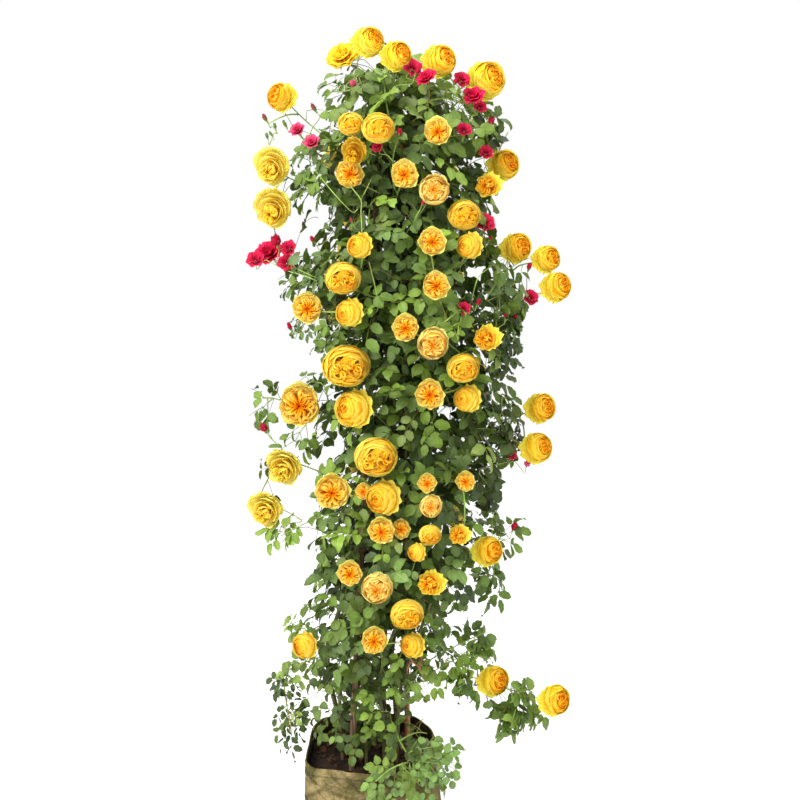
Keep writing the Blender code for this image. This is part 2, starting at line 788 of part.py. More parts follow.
def bloom_mesh(bloom, turn):
    """A cupped flower head: rings of eight round the facing axis."""
    bm = bmesh.new()
    face = unit(bloom["face"])
    side = unit(np.cross(face, (0.31, 0.17, 0.93)))
    up = np.cross(face, side)
    r = bloom["r"] * 0.90
    count = 7
    rings = ((-0.74, 0.30), (-0.22, 0.90), (0.34, 0.88), (0.66, 0.42))
    rows = []
    for along, wide in rings:
        row = []
        for k in range(count):
            a = turn + math.tau * k / count
            p = bloom["at"] + face * along * r + (side * math.cos(a) + up * math.sin(a)) * wide * r
            row.append(bm.verts.new(p))
        rows.append(row)
    for low, high in zip(rows[:-1], rows[1:]):
        for k in range(count):
            n = (k + 1) % count
            bm.faces.new((low[k], low[n], high[n], high[k]))
    bm.faces.new(rows[0][::-1])
    bm.faces.new(rows[-1])
    bmesh.ops.recalc_face_normals(bm, faces=bm.faces)
    mesh = bpy.data.meshes.new("bloom")
    bm.to_mesh(mesh)
    bm.free()
    return mesh


def leaf_mesh(leaf):
    """A compound leaf as one flat blade: its outline, thickened both ways."""
    bm = bmesh.new()
    shape = leaf_shape(leaf["a"], leaf["way"], leaf["normal"], leaf["length"], leaf["half"])
    face = bm.faces.new([bm.verts.new(p) for p in shape])
    bmesh.ops.translate(bm, verts=bm.verts, vec=leaf["normal"] * -LEAF_THICKNESS / 2)
    raised = bmesh.ops.extrude_face_region(bm, geom=[face])
    top = [v for v in raised["geom"] if isinstance(v, bmesh.types.BMVert)]
    bmesh.ops.translate(bm, verts=top, vec=leaf["normal"] * LEAF_THICKNESS)
    bmesh.ops.recalc_face_normals(bm, faces=bm.faces)
    mesh = bpy.data.meshes.new("leaf")
    bm.to_mesh(mesh)
    bm.free()
    return mesh


def joined(name, meshes):
    """One mesh holding several, still as separate shells."""
    bm = bmesh.new()
    for mesh in meshes:
        bm.from_mesh(mesh)
        bpy.data.meshes.remove(mesh)
    out = bpy.data.meshes.new(name)
    bm.to_mesh(out)
    bm.free()
    return out


def shells(mesh):
    """How many separate shells a mesh has, and whether every edge has two faces."""
    bm = bmesh.new()
    bm.from_mesh(mesh)
    closed = all(len(e.link_faces) == 2 for e in bm.edges)
    left, count = set(bm.verts), 0
    while left:
        count += 1
        stack = [left.pop()]
        while stack:
            v = stack.pop()
            for e in v.link_edges:
                w = e.other_vert(v)
                if w in left:
                    left.discard(w)
                    stack.append(w)
    bm.free()
    return count, closed


def combined(name, base, extras, collection, helpers, mat, operation="UNION"):
    """base with every mesh in extras joined to it, or cut from it, one by one."""
    obj = new_object(name, base, collection, mat)
    for mesh in extras:
        tool = new_object("helper", mesh, helpers)
        for solver in ("MANIFOLD", "EXACT"):
            mod = obj.modifiers.new("join", "BOOLEAN")
            mod.operation = operation
            mod.solver = solver
            mod.object = tool
            bpy.context.view_layer.update()
            graph = bpy.context.evaluated_depsgraph_get()
            result = bpy.data.meshes.new_from_object(obj.evaluated_get(graph))
            obj.modifiers.remove(mod)
            count, closed = shells(result)
            if count == 1 and closed:
                break
            if solver == "MANIFOLD":
                bpy.data.meshes.remove(result)
        old = obj.data
        obj.data = result
        bpy.data.meshes.remove(old)
        bpy.data.objects.remove(tool, do_unlink=True)
        bpy.data.meshes.remove(mesh)
    obj.data.name = name
    return obj


def ring_solid(name, rows):
    """A closed solid lofted through rings of points, capped flat at both ends."""
    bm = bmesh.new()
    verts = [[bm.verts.new(p) for p in row] for row in rows]
    count = len(rows[0])
    for low, high in zip(verts[:-1], verts[1:]):
        for k in range(count):
            n = (k + 1) % count
            bm.faces.new((low[k], low[n], high[n], high[k]))
    bm.faces.new(verts[0][::-1])
    bm.faces.new(verts[-1])
    bmesh.ops.recalc_face_normals(bm, faces=bm.faces)
    mesh = bpy.data.meshes.new(name)
    bm.to_mesh(mesh)
    bm.free()
    return mesh


def rim_height(angle):
    """The rim dips and rises a little round the bag."""
    return BAG_HEIGHT + 0.004 * math.sin(2 * angle + 0.6) + 0.003 * math.sin(5 * angle)


def build_bag(collection, mat):
    """The bag as an open cup of even thickness."""
    count = 40
    levels = (0.0, 0.03, 0.14, 0.34, 0.54, 0.72, 0.88, 1.0)
    bm = bmesh.new()
    rows = []
    for t in levels:
        row = []
        for k in range(count):
            a = math.tau * k / count
            shrink = 0.010 if t == 0.0 else 0.0
            x, y = bag_section(a, t, shrink)
            z = t * (rim_height(a) if t > 0.5 else BAG_HEIGHT)
            row.append(bm.verts.new((x, y, z)))
        rows.append(row)
    for low, high in zip(rows[:-1], rows[1:]):
        for k in range(count):
            n = (k + 1) % count
            bm.faces.new((low[k], low[n], high[n], high[k]))
    bm.faces.new(rows[0][::-1])
    mesh = bpy.data.meshes.new("grow_bag")
    bm.to_mesh(mesh)
    bm.free()
    bag = new_object("grow_bag", mesh, collection, mat)
    wall = bag.modifiers.new("wall", "SOLIDIFY")
    wall.thickness = BAG_WALL
    wall.offset = -1.0
    wall.use_even_offset = True
    return bag


def build_soil(plant, collection, helpers, mat):
    """The potting mix: fills the bag, a little mounded, with sockets for what stands in it."""
    count = 40
    rows = []
    inset = BAG_WALL + SOIL_GAP + 0.001
    for z in (BAG_WALL + 0.0010, 0.016, 0.09, 0.18, 0.245, SOIL_TOP - 0.004):
        t = z / BAG_HEIGHT
        extra = 0.012 if z < 0.01 else 0.0
        rows.append([(*bag_section(math.tau * k / count, t, inset + extra), z) for k in range(count)])
    t = SOIL_TOP / BAG_HEIGHT
    for share, lift in ((0.80, 0.002), (0.45, 0.007), (0.16, 0.009)):
        row = []
        for k in range(count):
            x, y = bag_section(math.tau * k / count, t, inset)
            row.append((x * share, y * share, SOIL_TOP + lift))
        rows.append(row)
    base = ring_solid("potting_soil", rows)
    holes = []
    for stake in plant["stakes"]:
        way = unit(stake["b"] - stake["a"])
        a, b = stake["a"] - way * SOCKET_GAP, stake["a"] + way * 0.16
        holes.append(tube("hole", (a, b), [STAKE_RADIUS + 0.0006] * 2, helpers, 10))
    for cane in plant["canes"]:
        pts = [cane["pts"][0] - np.array((0, 0, SOCKET_GAP))] + cane["pts"][1:3]
        holes.append(tube("hole", pts, [cane["radii"][0] * 1.02 + 0.0007] * 3, helpers, 8))
    return combined("potting_soil", base, holes, collection, helpers, mat, "DIFFERENCE")


def main():
    clear_scene()
    parts = bpy.data.collections.new("potted_climbing_rose")
    helpers = bpy.data.collections.new("helpers")
    for c in (parts, helpers):
        bpy.context.scene.collection.children.link(c)
    plant, _ = grow()

    fabric = material("bag_fabric", (0.33, 0.27, 0.12), 0.92)
    soil = material("potting_mix", (0.030, 0.016, 0.010), 0.98)
    wood = material("stake_wood", (0.13, 0.075, 0.045), 0.85)
    bamboo = material("bamboo", (0.42, 0.20, 0.09), 0.60)
    twine = material("twine", (0.45, 0.33, 0.18), 0.90)
    bark = material("cane_bark", (0.13, 0.19, 0.05), 0.60)
    shoot_green = material("green_shoot", (0.10, 0.20, 0.04), 0.55)
    crimson = material("crimson_shoot", (0.45, 0.02, 0.06), 0.55)

    build_bag(parts, fabric)
    build_soil(plant, parts, helpers, soil)
    for i, stake in enumerate(plant["stakes"]):
        mesh = tube(stake["name"], (stake["a"], stake["b"]), (stake["r"], stake["r"] * 0.8), parts, 10)
        new_object(stake["name"], mesh, parts, bamboo if i == 1 else wood)
    for tie in plant["ties"]:
        mesh = tube(tie["name"], tie["pts"], [tie["r"]] * len(tie["pts"]), parts, 4, closed=True)
        new_object(tie["name"], mesh, parts, twine)
    for cane in plant["canes"]:
        mesh = tube(cane["name"], cane["pts"], cane["radii"], parts, 6)
        leaves = [leaf_mesh(x) for x in plant["leaves"] if x["owner"] == cane["name"]]
        combined(cane["name"], mesh, leaves, parts, helpers, bark)
    for key, shoot in plant["shoots"].items():
        if key == TRAILING:
            name = "trailing_shoot"
        elif key >= 37:
            name = f"rear_shoot_{key - 36}"
        elif key >= 34:
            name = f"crimson_shoot_{key - 33}"
        else:
            name = f"flowering_shoot_{key:02d}"
        meshes = [
            tube("stem", s["pts"], [s["r"]] * len(s["pts"]), helpers, 4) for s in shoot["stems"]
        ]
        extras = meshes[1:]
        extras += [bloom_mesh(b, 0.4 * i) for i, b in enumerate(shoot["blooms"])]
        extras += [leaf_mesh(x) for x in plant["leaves"] if x["owner"] == key]
        mat = crimson if name.startswith("crimson") else shoot_green
        combined(name, meshes[0], extras, parts, helpers, mat)
    bpy.data.collections.remove(helpers)


main()
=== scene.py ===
"""Potted climbing rose, seen: petals, leaflets, thorny stems, woven bag and bark
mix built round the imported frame. Metres, in the frame's own axes."""

import json
import math
import random

import bmesh
import bpy
import numpy as np
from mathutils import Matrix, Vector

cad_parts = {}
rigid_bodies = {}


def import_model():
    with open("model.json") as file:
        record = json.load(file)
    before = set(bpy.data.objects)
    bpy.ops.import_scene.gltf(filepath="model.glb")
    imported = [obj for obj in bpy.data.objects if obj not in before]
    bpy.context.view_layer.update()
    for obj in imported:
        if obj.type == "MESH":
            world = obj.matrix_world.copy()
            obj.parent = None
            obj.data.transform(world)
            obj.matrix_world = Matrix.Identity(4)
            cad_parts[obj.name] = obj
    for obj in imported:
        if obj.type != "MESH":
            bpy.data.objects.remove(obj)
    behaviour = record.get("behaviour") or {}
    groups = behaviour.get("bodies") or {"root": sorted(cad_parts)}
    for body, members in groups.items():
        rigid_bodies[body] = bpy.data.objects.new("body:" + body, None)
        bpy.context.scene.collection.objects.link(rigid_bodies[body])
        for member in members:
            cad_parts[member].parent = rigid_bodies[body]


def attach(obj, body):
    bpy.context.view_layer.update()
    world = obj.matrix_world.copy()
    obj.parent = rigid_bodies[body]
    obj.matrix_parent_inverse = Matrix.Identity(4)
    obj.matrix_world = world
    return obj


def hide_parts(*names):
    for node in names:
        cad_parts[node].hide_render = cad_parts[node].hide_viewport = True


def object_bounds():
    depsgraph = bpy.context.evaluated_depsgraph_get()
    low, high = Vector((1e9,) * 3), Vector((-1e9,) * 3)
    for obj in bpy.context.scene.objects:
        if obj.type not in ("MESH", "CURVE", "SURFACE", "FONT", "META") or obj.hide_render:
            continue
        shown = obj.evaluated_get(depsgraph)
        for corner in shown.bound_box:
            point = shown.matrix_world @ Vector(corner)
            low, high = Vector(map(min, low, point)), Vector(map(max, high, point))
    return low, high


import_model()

cad_low, cad_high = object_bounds()

# ------------------------------------------------------------ camera and light
camera = bpy.data.objects.new("camera", bpy.data.cameras.new("camera"))
camera.data.lens = 45.0
camera.data.sensor_width = 36.0
camera.data.clip_end = 60.0
camera.location = (0.0745, -2.8, 1.65)
camera.rotation_euler = (math.radians(90 - 6.25), 0.0, 0.0)
bpy.context.scene.collection.objects.link(camera)
bpy.context.scene.camera = camera


def area_light(name, place, target, size, power, colour):
    lamp = bpy.data.lights.new(name, "AREA")
    lamp.shape = "SQUARE"
    lamp.size = size
    lamp.energy = power
    lamp.color = colour
    holder = bpy.data.objects.new(name, lamp)
    bpy.context.scene.collection.objects.link(holder)
    holder.location = place
    way = np.array(target, float) - np.array(place, float)
    flat = math.hypot(way[0], way[1])
    holder.rotation_euler = (math.atan2(flat, -way[2]), 0.0, math.atan2(way[1], way[0]) - math.pi / 2)


area_light("key", (-2.2, -3.0, 4.2), (0.0, 0.0, 1.2), 2.4, 265.0, (1.0, 0.98, 0.94))
area_light("overhead", (0.5, 0.6, 4.6), (0.0, 0.0, 1.2), 3.0, 95.0, (0.96, 0.98, 1.0))

world = bpy.data.worlds.new("studio")
world.use_nodes = True
world.node_tree.nodes["Background"].inputs["Color"].default_value = (1.0, 1.0, 1.0, 1.0)
world.node_tree.nodes["Background"].inputs["Strength"].default_value = 1.0
bpy.context.scene.world = world
bpy.context.scene.view_settings.view_transform = "Standard"

# ---------------------------------------------------------------- dimensions
BAG_HALF = 0.190  # half the bag's width at the rim
BAG_FOOT = 0.176  # half the bag's width at the floor
BAG_HEIGHT = 0.340
BAG_WALL = 0.004
SOIL_TOP = 0.288
SOIL_GAP = 0.0016  # between the soil and the fabric
CLEAR = 0.0006  # least gap between two pieces of the plant
SOCKET_GAP = 0.0005  # round a stake or cane where it goes into the soil

STAKE_RADIUS = 0.0085
SHOOT_RADIUS = 0.0027
BRANCH_RADIUS = 0.0023
TWINE_RADIUS = 0.0014
LEAF_THICKNESS = 0.0016
LEAF_COUNT = 235
TRAILING = 43  # the shoot that leans out over the rim

# The side that is modelled bloom by bloom is laid out as it is seen from a point
# 2.8 m in front of the bag, looking 6.25 degrees down: places and widths below
# are in thousandths of the viewing distance, from the left and from the top.
EYE = np.array((0.0745, -2.8, 1.65))
PITCH = math.radians(6.25)
FOCAL = 1000.0
MIDDLE = 400.0

# Outline of the leafy column by height: (down, left edge, right edge)
OUTLINE = (
    (72, 345, 455),
    (90, 322, 480),
    (110, 308, 492),
    (135, 294, 500),
    (200, 300, 494),
    (280, 292, 522),
    (330, 298, 520),
    (400, 314, 514),
    (480, 318, 500),
    (560, 306, 494),
    (620, 294, 466),
    (680, 286, 438),
    (722, 300, 425),
)

# Blooms: (across, down, width, form, shoot). Forms: A flat rosette, B globe,
# C side-on cup, D pale pompom, E ruffled rosette, F small cup, G open cup,
# H open pale bloom, L side-on cup facing left, R crimson, P small pink.
BLOOMS = (
    (367, 43, 34, "C", 1),
    (343, 56, 34, "H", 1),
    (395, 57, 33, "C", 2),
    (438, 62, 36, "C", 2),
    (484, 82, 42, "C", 3),
    (283, 98, 32, "L", 4),
    (378, 128, 34, "B", 5),
    (351, 124, 27, "B", 5),
    (354, 150, 24, "D", 5),
    (438, 130, 28, "A", 6),
    (271, 166, 35, "D", 7),
    (272, 208, 36, "D", 7),
    (350, 173, 30, "A", 8),
    (360, 245, 27, "F", 8),
    (405, 173, 28, "A", 9),
    (434, 189, 31, "E", 9),
    (502, 166, 34, "C", 10),
    (490, 184, 30, "G", 10),
    (464, 215, 34, "B", 11),
    (470, 245, 28, "F", 11),
    (432, 241, 30, "A", 12),
    (437, 285, 28, "A", 12),
    (343, 278, 37, "B", 13),
    (350, 312, 29, "F", 13),
    (307, 308, 31, "A", 13),
    (555, 288, 33, "C", 14),
    (515, 249, 33, "C", 14),
    (545, 260, 30, "C", 14),
    (405, 327, 28, "A", 15),
    (433, 343, 32, "E", 15),
    (489, 337, 31, "G", 16),
    (346, 366, 49, "B", 17),
    (354, 408, 40, "F", 17),
    (463, 368, 33, "B", 18),
    (468, 398, 29, "F", 18),
    (430, 394, 31, "A", 18),
    (299, 404, 41, "A", 19),
    (539, 409, 33, "C", 20),
    (535, 449, 34, "C", 20),
    (376, 457, 44, "B", 21),
    (384, 497, 37, "F", 21),
    (284, 467, 35, "D", 22),
    (265, 510, 35, "D", 22),
    (333, 491, 38, "A", 23),
    (363, 491, 17, "A", 23),
    (427, 483, 21, "A", 24),
    (431, 506, 23, "E", 24),
    (465, 481, 21, "A", 25),
    (461, 534, 24, "G", 25),
    (381, 530, 28, "A", 26),
    (401, 529, 20, "A", 26),
    (430, 535, 23, "B", 27),
    (417, 552, 19, "F", 27),
    (486, 552, 33, "C", 28),
    (377, 588, 32, "E", 29),
    (349, 573, 27, "A", 29),
    (433, 582, 31, "G", 30),
    (407, 614, 34, "B", 30),
    (305, 645, 26, "F", 31),
    (375, 640, 28, "A", 32),
    (413, 645, 26, "F", 32),
    (492, 682, 34, "C", 33),
    (553, 701, 34, "C", 33),
    (268, 252, 31, "R", 34),
    (297, 129, 17, "P", 35),
    (311, 141, 18, "P", 35),
    (426, 77, 22, "R", 36),
    (474, 95, 24, "R", 36),
)

# Leafy twigs that stand out of the column: (shoot, across, down, depth)
TWIGS = (
    (1, 330, 92, -0.03),
    (4, 268, 124, 0.02),
    (10, 508, 132, 0.02),
    (19, 262, 398, 0.00),
    (20, 503, 436, -0.05),
    (23, 281, 536, -0.04),
    (28, 503, 582, 0.00),
    (31, 276, 678, -0.03),
    (31, 292, 736, -0.10),
    (33, 470, 645, -0.02),
    (33, 512, 722, -0.08),
)

# Canes: (name, base x, base y, radius, heading in degrees, spread, top)
CANES = (
    ("cane_left", -0.100, 0.035, 0.0075, 176, 0.130, 1.86),
    ("cane_front_left", -0.092, -0.020, 0.0055, 216, 0.112, 1.98),
    ("cane_front", -0.022, -0.060, 0.0055, 262, 0.105, 2.08),
    ("cane_front_right", 0.030, -0.045, 0.0060, 306, 0.112, 2.02),
    ("cane_right", 0.066, -0.030, 0.0060, 350, 0.125, 1.92),
    ("cane_back_right", 0.062, 0.090, 0.0060, 40, 0.115, 2.10),
    ("cane_back", -0.004, 0.070, 0.0085, 104, 0.112, 2.06),
    ("crimson_cane", -0.058, 0.100, 0.0055, 140, 0.110, 2.04),
)
STAKES = (
    ("stake_front_left", (-0.078, -0.092), (0.016, -0.030), 1.99),
    ("stake_right", (0.100, 0.018), (0.078, 0.006), 2.05),
    ("stake_back", (0.020, 0.135), (0.048, 0.046), 2.12),
)
# Ties: (name, stake, cane, height)
TIES = (
    ("twine_tie_low", 0, 1, 0.93),
    ("twine_tie_middle", 1, 4, 1.22),
    ("twine_tie_back", 2, 6, 1.36),
    ("twine_tie_high", 1, 5, 1.66),
)


# --------------------------------------------------------- how the plant grows
def unit(v):
    v = np.asarray(v, float)
    return v / max(np.linalg.norm(v), 1e-12)


def sight(px, py, y):
    """The point seen at (px, py) on the upright plane at depth y."""
    c, s = math.cos(PITCH), math.sin(PITCH)
    u, w = (px - MIDDLE) / FOCAL, (MIDDLE - py) / FOCAL
    d = np.array((u, c + s * w, -s + c * w))
    return EYE + d * ((y - EYE[1]) / d[1])


def seen(p):
    """Where a point is seen, and how far away it is."""
    c, s = math.cos(PITCH), math.sin(PITCH)
    v = np.asarray(p, float) - EYE
    far = v[..., 1] * c - v[..., 2] * s
    up = v[..., 1] * s + v[..., 2] * c
    return MIDDLE + FOCAL * v[..., 0] / far, MIDDLE - FOCAL * up / far, far


COLUMN = sorted(
    (
        sight(MIDDLE, down, 0)[2],
        (sight(left, down, 0)[0] + sight(right, down, 0)[0]) / 2,
        (sight(right, down, 0)[0] - sight(left, down, 0)[0]) / 2,
    )
    for down, left, right in OUTLINE
)


def column(z):
    """Middle, half width and half depth of the leafy column at height z."""
    zs = [c[0] for c in COLUMN]
    middle = float(np.interp(z, zs, [c[1] for c in COLUMN]))
    half = float(np.interp(z, zs, [c[2] for c in COLUMN]))
    return middle, half, 0.84 * half


def ratio(p):
    """0 on the column's axis, 1 on its outline."""
    middle, half, deep = column(p[2])
    return math.hypot((p[0] - middle) / half, p[1] / deep)


def bag_section(angle, t, inset=0.0):
    """Plan of the bag at t from floor (0) to rim (1), soft square, inset inwards."""
    half = BAG_FOOT + (BAG_HALF - BAG_FOOT) * min(1.0, t * 1.35)
    half += 0.006 * math.sin(math.pi * min(1.0, t)) - inset
    c, s = math.cos(angle), math.sin(angle)
    n = 5.6
    r = half / (abs(c) ** n + abs(s) ** n) ** (1 / n)
    x, y = r * c, r * s
    # the front right corner of the rim is folded inwards
    fold = max(0.0, (t - 0.55) / 0.45) ** 1.4
    near = math.exp(-(((x - 0.175) / 0.075) ** 2) - ((y + 0.120) / 0.105) ** 2)
    x -= 0.062 * fold * near
    y += 0.014 * fold * near
    return x, y


def bag_clear(p, r):
    """Whether a ball at p keeps out of the bag's wall and the soil."""
    if p[2] > BAG_HEIGHT + 0.012 + r:
        return True
    t = max(0.0, min(1.0, p[2] / BAG_HEIGHT))
    a = math.atan2(p[1], p[0])
    x, y = bag_section(a, t)
    edge, here = math.hypot(x, y), math.hypot(p[0], p[1])
    if here > edge + r + 0.005:
        return p[2] > r + 0.002
    return here < edge - r - BAG_WALL - 0.010 and p[2] > SOIL_TOP + 0.014 + r


def bezier(a, b, c, d, count):
    out = []
    for i in range(count + 1):
        t = i / count
        s = 1 - t
        out.append(a * s**3 + b * 3 * s * s * t + c * 3 * s * t * t + d * t**3)
    return out


def stake_point(index, z):
    _, foot, tip, top = STAKES[index]
    t = z / top
    return np.array((foot[0] + (tip[0] - foot[0]) * t, foot[1] + (tip[1] - foot[1]) * t, z))


def cane_point(index, z):
    name, x0, y0, radius, heading, spread, top = CANES[index]
    middle = column(max(z, 0.5))[0]
    rise = max(0.0, min(1.0, (z - 0.30) / 0.45))
    rise = rise * rise * (3 - 2 * rise)
    a = math.radians(heading + 7 * math.sin(2.3 * z + index))
    out = spread * (0.80 + 0.20 * math.sin(1.9 * z + 1.7 * index))
    x = x0 + (middle + out * math.cos(a) - x0) * rise
    y = y0 + (0.9 * out * math.sin(a) - y0) * rise
    x += 0.006 * math.sin(9.0 * z + 2.1 * index) * rise
    y += 0.006 * math.sin(8.0 * z + 1.3 * index) * rise
    for _, stake, cane, height in TIES:
        if cane == index:
            pull = math.exp(-(((z - height) / 0.16) ** 2))
            s = stake_point(stake, z)
            away = unit((math.cos(a), math.sin(a)))
            reach = STAKE_RADIUS + radius + 0.0035
            x += (s[0] + away[0] * reach - x) * pull
            y += (s[1] + away[1] * reach - y) * pull
    return np.array((x, y, z))


def cane_at(cane, z):
    """A cane's middle and radius at height z."""
    for a, b, r in zip(cane["pts"][:-1], cane["pts"][1:], cane["radii"][:-1]):
        if a[2] <= z <= b[2]:
            return a + (b - a) * ((z - a[2]) / (b[2] - a[2])), r
    return cane["pts"][-1], cane["radii"][-1]


def part_canes(plant):
    """Canes are bent aside where they would touch a stake or each other."""
    tied = {(stake, cane): height for _, stake, cane, height in TIES}
    for _ in range(160):
        still = True
        for i, cane in enumerate(plant["canes"]):
            pts = cane["pts"]
            for k in range(2, len(pts) - 1):
                a, b, r = pts[k], pts[k + 1], cane["radii"][k]
                rivals = []
                for j, stake in enumerate(plant["stakes"]):
                    height = tied.get((j, i), -9.0)
                    need = 0.0032 if abs((a[2] + b[2]) / 2 - height) < 0.14 else 0.010
                    rivals.append((stake["a"], stake["b"], stake["r"], need, None, 0))
                for other in plant["canes"][i + 1 :]:
                    for m in range(2, len(other["pts"]) - 1):
                        c, d = other["pts"][m], other["pts"][m + 1]
                        if abs(c[2] - a[2]) < 0.22:
                            rivals.append((c, d, other["radii"][m], 0.010, other, m))
                for c, d, q, need, other, m in rivals:
                    short = need - (segment_gap(a, b, c, d) - r - q)
                    if short <= 0.0002:
                        continue
                    still = False
                    z = (a[2] + b[2]) / 2
                    t = (z - c[2]) / (d[2] - c[2])
                    away = (a + b) / 2 - (c + (d - c) * t)
                    away[2] = 0
                    push = unit(away) * min(short, 0.004) * 0.6
                    if other is None:
                        pts[k], pts[k + 1] = pts[k] + push, pts[k + 1] + push
                    else:
                        pts[k], pts[k + 1] = pts[k] + push / 2, pts[k + 1] + push / 2
                        other["pts"][m] = other["pts"][m] - push / 2
                        other["pts"][m + 1] = other["pts"][m + 1] - push / 2
                    a, b = pts[k], pts[k + 1]
        if still:
            return


def segment_gap(a, b, c, d):
    """Least distance between the segments ab and cd."""
    u, v, w = b - a, d - c, a - c
    uu, uv, vv = u @ u, u @ v, v @ v
    uw, vw = u @ w, v @ w
    den = uu * vv - uv * uv
    s = 0.0 if den < 1e-14 else min(1.0, max(0.0, (uv * vw - vv * uw) / den))
    t = 0.0 if vv < 1e-14 else (uv * s + vw) / vv
    if t < 0:
        t, s = 0.0, (0.0 if uu < 1e-14 else min(1.0, max(0.0, -uw / uu)))
    elif t > 1:
        t, s = 1.0, (0.0 if uu < 1e-14 else min(1.0, max(0.0, (uv - uw) / uu)))
    return float(np.linalg.norm(w + u * s - v * t))


def flat_gap(one, two):
    """A lower bound of the distance between two rounded flat shapes or rods."""
    axes = []
    edges = []
    for pts, _, normal, _ in (one, two):
        rim = np.roll(pts, -1, axis=0) - pts if len(pts) > 2 else pts[1:] - pts[:-1]
        edges.append(rim)
        if normal is not None:
            axes.append(normal[None])
            axes.append(np.cross(rim, normal))
    if len(edges[0]) and len(edges[1]):
        axes.append(np.cross(edges[0][:, None], edges[1][None]).reshape(-1, 3))
    span = one[0][:, None] - two[0][None]
    near = np.unravel_index(np.argmin((span**2).sum(-1)), span.shape[:2])
    axes.append(span[near][None])
    axes.append((one[0].mean(0) - two[0].mean(0))[None])
    axes = np.concatenate(axes)
    size = np.linalg.norm(axes, axis=1)
    axes = axes[size > 1e-9] / size[size > 1e-9][:, None]
    p, q = one[0] @ axes.T, two[0] @ axes.T
    apart = np.maximum(p.min(0) - q.max(0), q.min(0) - p.max(0)).max()
    return apart - one[1] - two[1]


class Placed:
    """Everything placed so far: rods, balls and flat leaves, each with an owner."""

    def __init__(self):
        self.shapes, self.owners = [], []
        self.middles, self.reaches = np.zeros((0, 3)), np.zeros(0)

    def add(self, owner, pts, radius, normal=None):
        pts = np.asarray(pts, float)
        middle = pts.mean(0)
        reach = np.linalg.norm(pts - middle, axis=1).max() + radius
        self.shapes.append((pts, radius, normal, middle))
        self.owners.append(owner)
        self.middles = np.vstack((self.middles, middle))
        self.reaches = np.append(self.reaches, reach)

    def free(self, owner, pts, radius, normal=None, own_leaves=False, clear=CLEAR):
        pts = np.asarray(pts, float)
        middle = pts.mean(0)
        reach = np.linalg.norm(pts - middle, axis=1).max() + radius + clear
        near = np.linalg.norm(self.middles - middle, axis=1) < self.reaches + reach
        for i in np.nonzero(near)[0]:
            other = self.shapes[i]
            if self.owners[i] == owner and not (own_leaves and other[2] is not None):
                continue
            if normal is None and other[2] is None:
                a, b = pts[0], pts[-1]
                c, d = other[0][0], other[0][-1]
                gap = segment_gap(a, b, c, d) - radius - other[1]
            else:
                gap = flat_gap((pts, radius, normal, middle), other)
            if gap < clear:
                return False
        return True

    def path_free(self, owner, path, radius):
        return all(
            bag_clear(b, radius) and self.free(owner, (a, b), radius)
            for a, b in zip(path[:-1], path[1:])
        )


FACING = {
    "A": (0.02, -1, 0.12),
    "B": (0.10, -1, 0.25),
    "C": (0.50, -0.85, 0.22),
    "D": (0.42, -0.80, -0.30),
    "E": (0.05, -1, 0.05),
    "F": (-0.40, -0.90, 0.15),
    "G": (-0.25, -0.95, 0.10),
    "H": (-0.30, -0.80, 0.55),
    "L": (-0.45, -0.85, 0.25),
    "R": (-0.30, -0.70, 0.60),
    "P": (-0.20, -0.80, 0.50),
}


def front_depth(px, py):
    """Depth at which the line of sight meets the column, or None beside it."""
    for i in range(46):
        y = -0.42 + 0.01 * i
        if ratio(sight(px, py, y)) <= 1.0:
            return y
    return None


def place_blooms(rnd):
    """Every bloom as a dict: middle, radius, form, facing, shoot, front."""
    out = []
    for px, py, wide, form, shoot in BLOOMS:
        y = front_depth(px, py)
        y = -0.045 + 0.03 * rnd.random() if y is None else y - 0.018
        for step in range(40):
            p = sight(px, py, y)
            far = seen(p)[2]
            r = wide / 2 * far / FOCAL
            if all(
                np.linalg.norm(p - o["at"]) > 0.94 * (r + o["r"]) + 0.001 for o in out
            ):
                break
            y += 0.006
        face = unit(np.array(FACING[form]) + np.array([rnd.uniform(-0.08, 0.08) for _ in range(3)]))
        out.append(dict(at=p, r=r, form=form, face=face, shoot=shoot, front=True, px=(px, py, wide / 2)))
    count = 26
    for i in range(count):
        z = 0.66 + 1.46 * (i + 0.5) / count
        turn = math.radians(16 + 148 * ((i * 0.6180339) % 1.0))
        middle, half, deep = column(z)
        r = 0.034 + 0.016 * rnd.random()
        side = (math.cos(turn), math.sin(turn))
        p = np.array((middle + (half * 0.98) * side[0], (deep * 1.0 + 0.015) * side[1], z))
        face = unit((side[0], side[1], 0.25 + 0.2 * rnd.random()))
        form = "ABEFGBAD"[i % 8]
        shoot = 37 + min(5, int((z - 0.66) / 1.46 * 6))
        out.append(dict(at=p, r=r, form=form, face=face, shoot=shoot, front=False, px=None))
    return out


